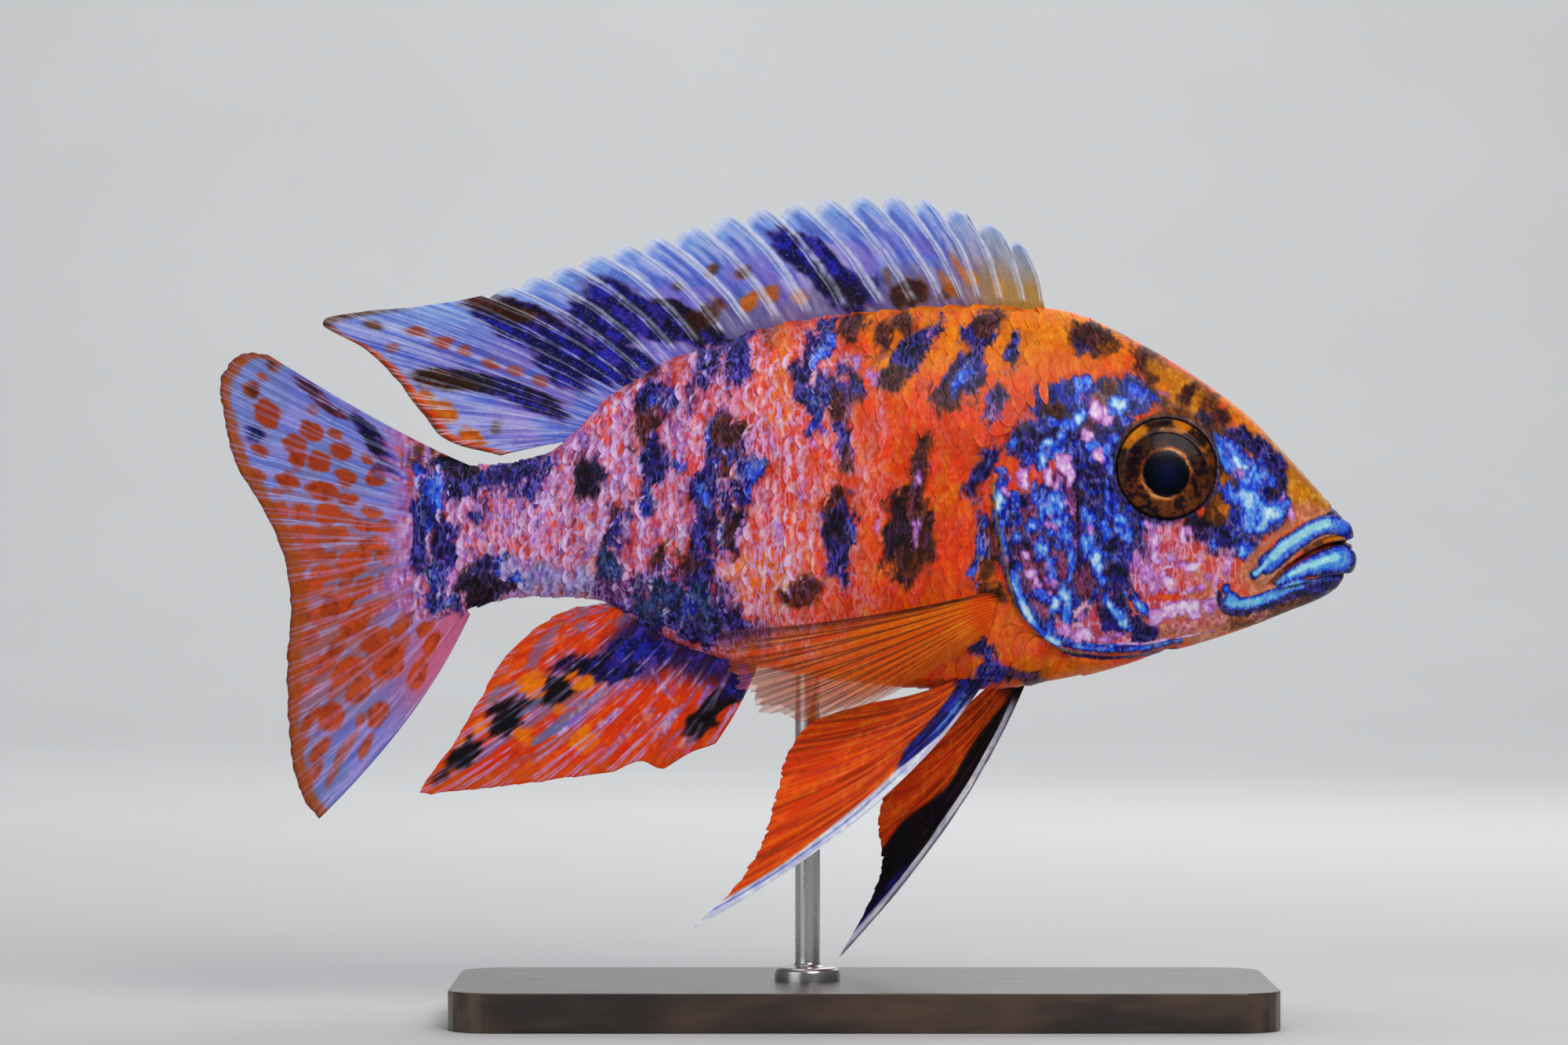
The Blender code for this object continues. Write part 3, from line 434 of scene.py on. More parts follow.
BODY_MARKS = (
    # along the back
    (14.8, 87.4, 1.6, 2.3, 35, "ink"), (15.6, 88.6, 1.2, 0.9, 0, "brown", 0.8), (19.3, 85.3, 0.9, 1.7, 12, "ink"), (12.3, 81.3, 1.7, 3.3, 45, "ink"), (11.2, 79.2, 1.6, 1.6, 0, "brown", 0.8), (13.9, 83.6, 1.0, 1.6, 30, "ink"),
    (16.9, 78.8, 1.0, 2.3, 14, "plum"), (17.3, 79.8, 0.7, 1.2, 14, "ink", 0.8), (6.1, 84.4, 1.6, 4.1, 35, "ink"), (4.4, 81.6, 1.3, 1.4, 0, "brown", 0.8), (2.9, 87.3, 1.1, 2.2, 25, "brown"), (5.4, 88.8, 1.1, 0.8, 0, "brown"), (-0.9, 88.4, 1.3, 2.1, 22, "brown"),
    (-4.6, 88.2, 1.2, 2.6, 22, "ink"), (-7.0, 84.6, 0.9, 3.0, 8, "ink"), (-7.3, 80.8, 1.2, 3.1, 0, "ink"), (-5.7, 79.0, 1.1, 2.6, 14, "navy"), (-2.3, 81.0, 2.0, 1.5, 0, "ink"), (-2.5, 79.2, 1.3, 1.3, 0, "brown"), (-2.2, 76.4, 0.8, 1.8, 0, "brown", 0.7),
    (-2.2, 73.3, 0.8, 2.5, 0, "ink"), (-2.0, 71.0, 0.4, 1.0, 0, "brown"), (-16.0, 84.4, 1.3, 3.6, 4, "ink"), (-18.0, 87.2, 2.4, 1.1, 0, "ink"), (-20.0, 83.0, 1.1, 2.7, 12, "ink"), (-21.6, 79.6, 0.8, 2.0, 8, "plum"), (-18.2, 82.4, 1.0, 1.8, 0, "plum", 0.6),
    (-27.4, 83.2, 1.6, 1.0, 60, "brown", 0.8), (-26.8, 77.6, 1.7, 3.6, 5, "ink"), (-27.6, 74.4, 1.5, 2.4, 0, "brown"), (-26.7, 71.4, 1.2, 2.3, 0, "ink"), (-24.2, 79.6, 0.6, 1.6, 0, "navy", 0.8), (-12.4, 87.4, 0.8, 1.0, 0, "brown", 0.5),
    # middle
    (-17.6, 73.2, 2.4, 3.2, 4, "ink"), (-16.8, 75.0, 1.8, 1.3, 0, "brown"), (-18.0, 70.4, 2.2, 1.6, 0, "brown"), (-19.9, 66.2, 1.4, 4.8, 2, "ink"), (-20.6, 60.2, 1.2, 3.0, 0, "ink"), (-15.7, 67.4, 1.4, 1.7, 0, "ink"), (-16.7, 62.4, 1.2, 2.3, 0, "black"), (-16.9, 62.2, 0.8, 1.4, 0, "brown", 0.7),
    (-14.0, 70.2, 0.9, 1.8, 0, "navy"), (-17.6, 66.0, 0.6, 2.4, 0, "plum"), (-2.9, 61.6, 1.4, 4.8, 2, "ink"), (-3.4, 66.6, 0.7, 1.2, 10, "brown"), (-2.8, 63.0, 0.8, 1.6, 0, "black"), (-2.9, 57.4, 1.1, 1.1, 0, "ink", 0.8),
    (7.5, 70.6, 0.85, 4.0, 4, "brown"), (8.1, 73.6, 0.5, 1.3, 8, "brown", 0.9), (5.9, 62.0, 2.2, 4.8, 4, "brown"), (4.4, 62.8, 1.2, 3.4, 0, "black", 0.7), (5.4, 57.8, 1.4, 2.0, 0, "brown"), (8.0, 61.2, 1.0, 3.6, 0, "brown"), (6.6, 66.6, 1.0, 2.0, 8, "brown"), (2.6, 65.8, 0.9, 0.6, 40, "brown", 0.6),
    (-7.6, 54.2, 1.8, 1.5, 0, "brown", 0.9), (15.0, 69.4, 1.0, 2.6, 30, "ink"), (16.2, 71.8, 0.9, 1.3, 40, "ink"), (16.1, 60.4, 0.9, 3.2, 0, "brown", 0.9), (15.9, 57.2, 0.8, 1.4, 0, "umber", 0.9), (15.0, 61.4, 0.7, 4.2, 3, "plum"), (16.6, 54.8, 1.4, 0.8, 20, "brown", 0.8),
    # rear
    (-34.9, 69.4, 1.6, 2.3, 4, "black"), (-31.1, 62.6, 1.1, 1.8, 10, "ink"), (-31.3, 64.6, 0.8, 1.0, 0, "brown", 0.7), (-28.0, 66.2, 1.0, 1.4, 0, "navy", 0.9), (-42.2, 68.6, 1.4, 1.8, 10, "ink"), (-45.8, 69.0, 2.8, 1.6, 0, "plum"), (-45.4, 69.8, 3.0, 0.9, 0, "ink"), (-51.0, 68.4, 2.1, 2.4, 0, "ink"),
    (-52.6, 70.2, 2.6, 0.9, 0, "black"), (-48.6, 66.4, 1.2, 1.2, 0, "plum", 0.7), (-54.9, 65.6, 1.2, 3.6, -6, "navy"), (-56.4, 61.4, 1.0, 4.0, 4, "navy", 0.9), (-53.3, 60.4, 1.1, 2.9, 0, "ink"), (-54.4, 55.6, 1.4, 2.4, 0, "navy", 0.8), (-53.6, 52.9, 1.8, 1.2, 0, "navy", 0.9),
    (-48.8, 55.2, 2.1, 2.8, -10, "black"), (-46.6, 54.4, 1.6, 0.8, 0, "black"), (-48.6, 57.6, 1.0, 0.9, 0, "ink", 0.8), (-32.4, 57.6, 1.0, 2.4, 0, "teal"), (-31.6, 54.0, 1.8, 2.0, 10, "plum"), (-31.8, 52.2, 1.6, 1.0, 30, "ink", 0.9), (-25.8, 58.8, 0.9, 1.6, 20, "brown"),
    (-24.6, 56.0, 2.4, 2.0, 10, "plum"), (-28.4, 54.4, 2.6, 2.4, 20, "plum"), (-28.0, 51.4, 2.8, 1.6, 30, "ink", 0.9), (-24.4, 52.4, 3.8, 3.0, 15, "teal"), (-20.6, 55.6, 1.8, 2.6, 0, "ink"), (-20.4, 51.6, 2.6, 3.2, 0, "teal"), (-18.0, 52.8, 1.6, 3.0, 0, "plum", 0.9), (-17.2, 50.0, 2.2, 2.0, 0, "ink", 0.9),
    (-22.8, 49.6, 3.2, 1.6, 25, "ink", 0.9), (-14.4, 48.4, 2.2, 1.6, 0, "plum", 0.7), (-22.2, 58.0, 1.2, 1.6, 0, "brown", 0.7),
    # nape and breast
    (29.4, 86.7, 2.3, 1.7, 30, "brown"), (31.4, 85.6, 1.2, 1.0, 0, "umber"), (28.0, 85.4, 1.0, 0.8, 0, "ink", 0.7), (36.2, 83.9, 1.3, 1.8, -30, "brown", 0.9), (33.0, 88.0, 1.2, 0.6, 50, "umber", 0.7), (38.6, 83.4, 0.8, 0.8, 0, "umber", 0.6),
    (15.4, 46.2, 0.9, 2.2, -12, "ink"), (16.2, 44.3, 1.8, 1.1, 0, "navy", 0.9), (20.6, 43.2, 2.0, 0.7, 0, "ink", 0.7),
)
BODY_GLOWS = (
    (13.2, 81.7, 0.7, 2.2, 38, "azure"), (12.2, 80.2, 0.7, 1.0, 20, "blue"), (19.1, 85.0, 0.4, 0.9, 0, "blue", 0.9), (16.0, 77.4, 0.7, 1.7, 10, "blue", 0.95), (16.6, 79.6, 0.4, 0.9, 10, "violet"), (8.6, 86.6, 0.5, 1.5, 25, "violet", 1.1), (6.0, 85.8, 0.5, 1.3, 20, "blue", 0.7),
    (7.4, 84.2, 0.4, 1.2, 20, "violet", 0.9), (-5.5, 85.4, 0.8, 3.0, 16, "azure", 0.95), (-6.2, 83.8, 0.5, 1.4, 10, "cyan", 0.8), (-3.9, 87.0, 0.45, 1.6, 20, "azure", 0.85), (-5.2, 79.2, 0.8, 0.9, 0, "azure", 0.85), (-6.6, 76.7, 0.6, 1.7, 18, "azure", 0.8), (-7.8, 80.4, 0.3, 1.8, 0, "blue", 0.6),
    (-3.9, 73.2, 0.4, 2.1, -4, "lilac"), (-1.2, 73.4, 0.4, 2.2, 6, "violet", 1.2), (-6.6, 73.4, 0.35, 2.1, 0, "violet", 1.2), (-8.8, 73.0, 0.3, 1.8, 0, "pearl", 0.7), (1.9, 83.2, 0.9, 1.8, 10, "lilac", 0.75), (-0.8, 84.0, 1.1, 1.5, 20, "lilac", 0.7), (-1.0, 78.4, 0.5, 1.8, 0, "violet", 0.9),
    (-2.9, 83.6, 1.2, 0.8, 0, "violet", 0.9), (-19.8, 75.2, 0.5, 1.3, 0, "azure", 0.85), (-18.7, 71.7, 0.45, 1.4, 0, "azure", 0.9), (-16.5, 71.9, 0.4, 1.1, 0, "blue"), (-19.6, 66.6, 0.6, 2.0, 0, "azure", 0.95), (-13.9, 70.2, 0.8, 1.9, 0, "azure", 0.85), (-12.7, 67.0, 0.4, 2.4, 0, "lilac", 0.85), (-14.6, 67.2, 0.4, 1.8, 0, "blue"),
    (-15.5, 62.6, 0.28, 2.1, -4, "pearl", 0.8), (-18.4, 61.2, 0.3, 2.2, -4, "azure", 0.8), (-17.3, 59.0, 0.3, 1.3, -30, "pearl", 0.8), (-17.3, 65.8, 0.35, 1.8, 0, "azure", 0.7), (-26.3, 78.5, 0.6, 1.3, 0, "azure", 0.75), (-27.4, 72.0, 0.4, 1.6, 0, "blue", 0.8), (-24.1, 70.8, 0.7, 2.1, 4, "azure", 0.85), (-24.0, 71.4, 0.4, 1.2, 0, "pearl", 0.8),
    (-28.0, 66.1, 0.8, 1.2, 0, "azure", 0.9), (-4.6, 58.6, 0.35, 1.7, -4, "lilac", 0.8), (-4.8, 62.0, 0.3, 2.2, 0, "violet"), (-1.3, 62.2, 0.3, 2.4, 0, "blue", 0.8), (7.4, 69.2, 0.42, 1.9, 4, "lilac"), (7.3, 71.6, 0.3, 0.9, 0, "violet"), (6.6, 62.2, 0.35, 2.0, 3, "lilac", 0.95), (8.3, 62.0, 0.35, 1.5, 0, "violet"), (1.4, 63.2, 0.7, 1.2, -8, "pearl", 0.8),
    (15.6, 63.6, 0.55, 1.6, 0, "blue"), (14.9, 60.2, 0.45, 2.6, 4, "blue", 1.1), (14.1, 57.1, 0.6, 1.5, 8, "azure", 0.95), (15.8, 70.8, 0.35, 1.2, 30, "azure", 0.6), (-11.4, 63.0, 0.6, 3.0, -3, "pearl", 0.75), (-7.9, 67.4, 0.4, 2.4, 2, "pearl", 0.65), (-11.3, 72.4, 0.45, 1.6, 0, "pearl", 0.7), (-22.4, 66.6, 0.8, 2.8, 3, "lilac", 0.8),
    (-23.2, 74.2, 0.6, 1.6, 8, "lilac", 0.8), (-23.0, 61.8, 0.3, 2.2, -8, "pearl", 0.8), (-47.2, 63.6, 0.5, 1.1, 0, "lilac", 0.7), (-48.9, 64.2, 0.7, 1.6, 0, "blue", 0.8), (-54.1, 67.2, 0.8, 3.4, -8, "azure", 0.98), (-56.8, 69.0, 0.6, 1.7, 0, "azure", 0.9), (-55.4, 62.6, 0.5, 2.6, 6, "blue"), (-57.0, 64.6, 0.5, 1.4, 0, "blue", 0.9),
    (-54.8, 56.2, 0.8, 1.9, 0, "blue"), (-53.4, 53.2, 1.3, 0.9, 0, "blue", 0.95), (-52.0, 56.6, 0.6, 1.4, 0, "lilac", 0.8), (-46.4, 57.6, 0.5, 1.5, -20, "azure", 0.9), (-44.4, 55.8, 0.8, 0.9, -30, "cyan", 0.85), (-43.4, 58.2, 0.9, 1.0, 0, "lilac", 0.8), (-45.2, 58.6, 0.4, 0.6, 0, "blue"), (-40.5, 70.4, 0.7, 0.7, 0, "azure", 0.85),
    (-40.0, 68.0, 0.8, 1.6, 8, "lilac", 0.75), (-44.6, 67.6, 0.5, 1.2, 0, "blue", 0.8), (-47.0, 68.2, 0.5, 1.4, 0, "violet", 1.0), (-48.6, 69.2, 0.4, 1.0, 0, "blue", 0.8), (-32.2, 57.0, 0.7, 1.7, 0, "azure", 0.62), (-30.4, 62.4, 0.4, 0.9, 0, "violet"), (-25.6, 51.6, 1.1, 2.2, 10, "azure", 0.62), (-22.7, 51.8, 1.0, 2.5, 0, "azure", 0.66),
    (-19.8, 52.6, 0.7, 1.8, 0, "azure", 0.6), (-29.0, 55.8, 0.6, 1.2, 0, "azure", 0.5), (-36.5, 64.0, 0.4, 1.4, 0, "lilac", 0.6), (-38.4, 61.6, 0.4, 1.2, 0, "lilac", 0.5), (-41.8, 63.6, 0.4, 1.0, 0, "lilac", 0.6), (15.2, 45.6, 0.35, 1.4, -10, "blue", 0.9), (16.4, 44.2, 0.9, 0.5, 0, "violet"),
    (-33.2, 72.6, 0.4, 1.6, 0, "pearl", 0.6), (-30.0, 73.6, 0.4, 2.0, 4, "lilac", 0.7), (-31.4, 68.6, 0.4, 1.8, 0, "pearl", 0.6),
)
HEAD_ZONES = (
    (27.6, 78.4, 6.4, 3.0, 0, "navy", 1.0, 0.6), (23.6, 74.4, 5.0, 2.2, 0, "ink", 1.0, 0.6), (30.5, 70.0, 5.0, 7.5, 0, "ink", 1.0, 0.8), (33.6, 79.6, 4.4, 2.6, 0, "navy", 1.0, 0.6), (31.4, 61.0, 4.4, 9.5, 0, "navy", 1.0, 0.8),
    (22.0, 62.0, 5.8, 10.0, 0, "maroon", 1.0, 0.8), (26.6, 53.6, 6.6, 6.4, 0, "maroon", 0.9, 1.0), (30.0, 49.2, 8.0, 2.4, 0, "rose", 0.9, 0.8), (36.5, 66.0, 5.0, 5.0, 0, "ink", 0.9, 0.8),
    (40.6, 57.4, 6.6, 6.4, 0, "rose", 1.0, 0.7), (45.0, 56.4, 4.6, 3.6, 0, "coral", 0.9, 0.8), (44.0, 50.6, 12.0, 1.8, 82, "flesh", 1.0, 0.6), (44.6, 50.8, 2.0, 9.0, 76, "flesh", 1.0, 0.6), (42.0, 50.4, 0.9, 5.0, 80, "rose", 0.6, 0.8), (50.0, 54.4, 1.6, 2.6, 60, "coral", 0.5, 0.8), (50.6, 56.4, 3.4, 2.6, 30, "flesh", 0.9, 0.6),
    (45.6, 61.8, 4.6, 2.6, 0, "ink", 1.0, 0.5), (50.0, 66.4, 4.6, 5.0, -30, "navy", 1.0, 0.6), (45.6, 67.6, 1.8, 5.2, -4, "umber", 1.0, 0.6), (42.0, 78.4, 2.6, 8.0, -48, "umber", 0.95, 0.8), (40.0, 80.8, 2.0, 4.0, -50, "amber", 0.8, 0.9),
    (52.6, 73.4, 2.4, 7.6, -43, "ochre", 1.0, 0.5), (57.0, 67.4, 2.6, 4.0, -45, "ochre", 1.0, 0.5), (48.6, 77.2, 1.5, 4.0, -50, "orange", 0.9, 0.6), (57.4, 64.6, 2.4, 1.2, 10, "flesh", 0.9, 0.5), (20.6, 69.4, 2.8, 2.4, 0, "redorange", 1.0, 0.6),
    (57.0, 54.0, 1.3, 6.0, 66, "plum", 1.0, 0.6), (59.6, 55.2, 1.2, 3.0, 60, "ink", 1.0, 0.5), (52.0, 51.8, 1.3, 6.0, 74, "umber", 0.8, 0.6),
)
HEAD_MARKS = (
    (29.8, 77.4, 1.8, 1.8, 0, "maroon"), (28.7, 74.8, 1.1, 1.2, 0, "maroon", 0.8), (20.4, 72.6, 2.0, 1.4, 30, "ink"), (24.4, 77.4, 1.6, 1.0, 40, "brown"), (30.4, 79.0, 0.9, 0.8, 0, "ochre", 0.6), (31.6, 80.6, 0.9, 1.4, 20, "umber", 0.8), (28.8, 70.0, 1.5, 2.4, 0, "ink"), (28.7, 66.8, 1.2, 1.4, 0, "ink"),
    (27.7, 67.2, 0.4, 0.7, 0, "umber", 0.8), (31.0, 67.8, 1.6, 2.0, 0, "ink"), (24.3, 70.1, 0.5, 0.9, 0, "red"), (22.6, 69.8, 0.6, 0.8, 0, "red", 0.8), (20.0, 65.8, 1.8, 1.1, 0, "ink"), (19.1, 63.6, 1.0, 1.3, 0, "ink"), (20.6, 60.9, 1.0, 0.9, 0, "ink"), (23.4, 63.2, 0.6, 1.1, 0, "ink"), (18.9, 58.8, 0.6, 2.6, -4, "ink"), (20.0, 55.0, 0.5, 1.8, -18, "navy"),
    (25.9, 66.2, 0.5, 1.0, 0, "navy"), (24.0, 61.2, 0.4, 1.0, 0, "ink"), (31.6, 62.6, 0.8, 1.7, -25, "maroon"), (32.0, 60.4, 1.1, 1.3, 0, "ink"), (32.6, 56.4, 1.2, 2.6, 0, "ink"), (33.0, 53.4, 1.2, 1.6, -10, "ink"), (27.3, 60.2, 0.3, 1.8, 0, "maroon"), (28.6, 51.8, 1.4, 1.6, 0, "rose"), (26.6, 56.4, 0.5, 1.2, 0, "maroon"),
    (32.4, 51.4, 2.2, 2.4, -35, "ink", 1.0, 0.2), (35.0, 49.5, 2.4, 1.2, 60, "ink", 1.0, 0.2), (36.4, 49.4, 1.4, 1.0, 0, "ink"), (38.6, 53.9, 2.4, 0.5, 0, "redorange", 0.9), (41.0, 55.4, 2.4, 1.0, 0, "red", 0.5), (37.4, 59.6, 1.2, 2.0, 0, "rose"), (42.6, 63.0, 1.7, 1.4, 0, "black"), (43.4, 61.2, 1.1, 1.0, 0, "ink"), (46.8, 61.6, 2.3, 1.5, 0, "ink"),
    (48.8, 62.4, 1.6, 1.2, 0, "navy"), (44.8, 64.6, 1.0, 1.6, -20, "umber"), (46.4, 65.2, 0.8, 0.9, 0, "orange", 0.7), (45.6, 70.6, 0.7, 2.6, -10, "umber"), (46.0, 68.4, 0.5, 1.4, 0, "orange", 0.6), (48.0, 69.6, 1.4, 0.9, 0, "plum"), (50.0, 73.2, 1.3, 3.2, -56, "ink"), (52.4, 70.9, 1.2, 1.9, -20, "ink"), (53.5, 68.7, 0.8, 1.4, -6, "ink"), (52.2, 68.6, 0.8, 1.0, 0, "ink"),
    (51.4, 67.2, 0.9, 0.8, 0, "brown"), (45.4, 76.8, 1.6, 1.3, -20, "brown"), (44.6, 78.8, 1.5, 0.8, -40, "umber"), (41.4, 79.6, 1.4, 0.7, -50, "brown"), (43.4, 76.4, 0.9, 1.0, 0, "ink", 0.7), (47.4, 75.0, 1.0, 0.6, 0, "ink", 0.8), (38.2, 80.4, 1.0, 0.6, 60, "orange", 0.8), (37.0, 81.8, 1.0, 0.7, 0, "brown", 0.7), (59.8, 64.3, 0.6, 1.5, 68, "ink"),
    (55.6, 67.4, 0.7, 1.5, -40, "amber", 0.6), (50.6, 51.2, 1.4, 0.5, 0, "rose", 0.5), (60.8, 54.6, 1.2, 0.7, 40, "black"),
)
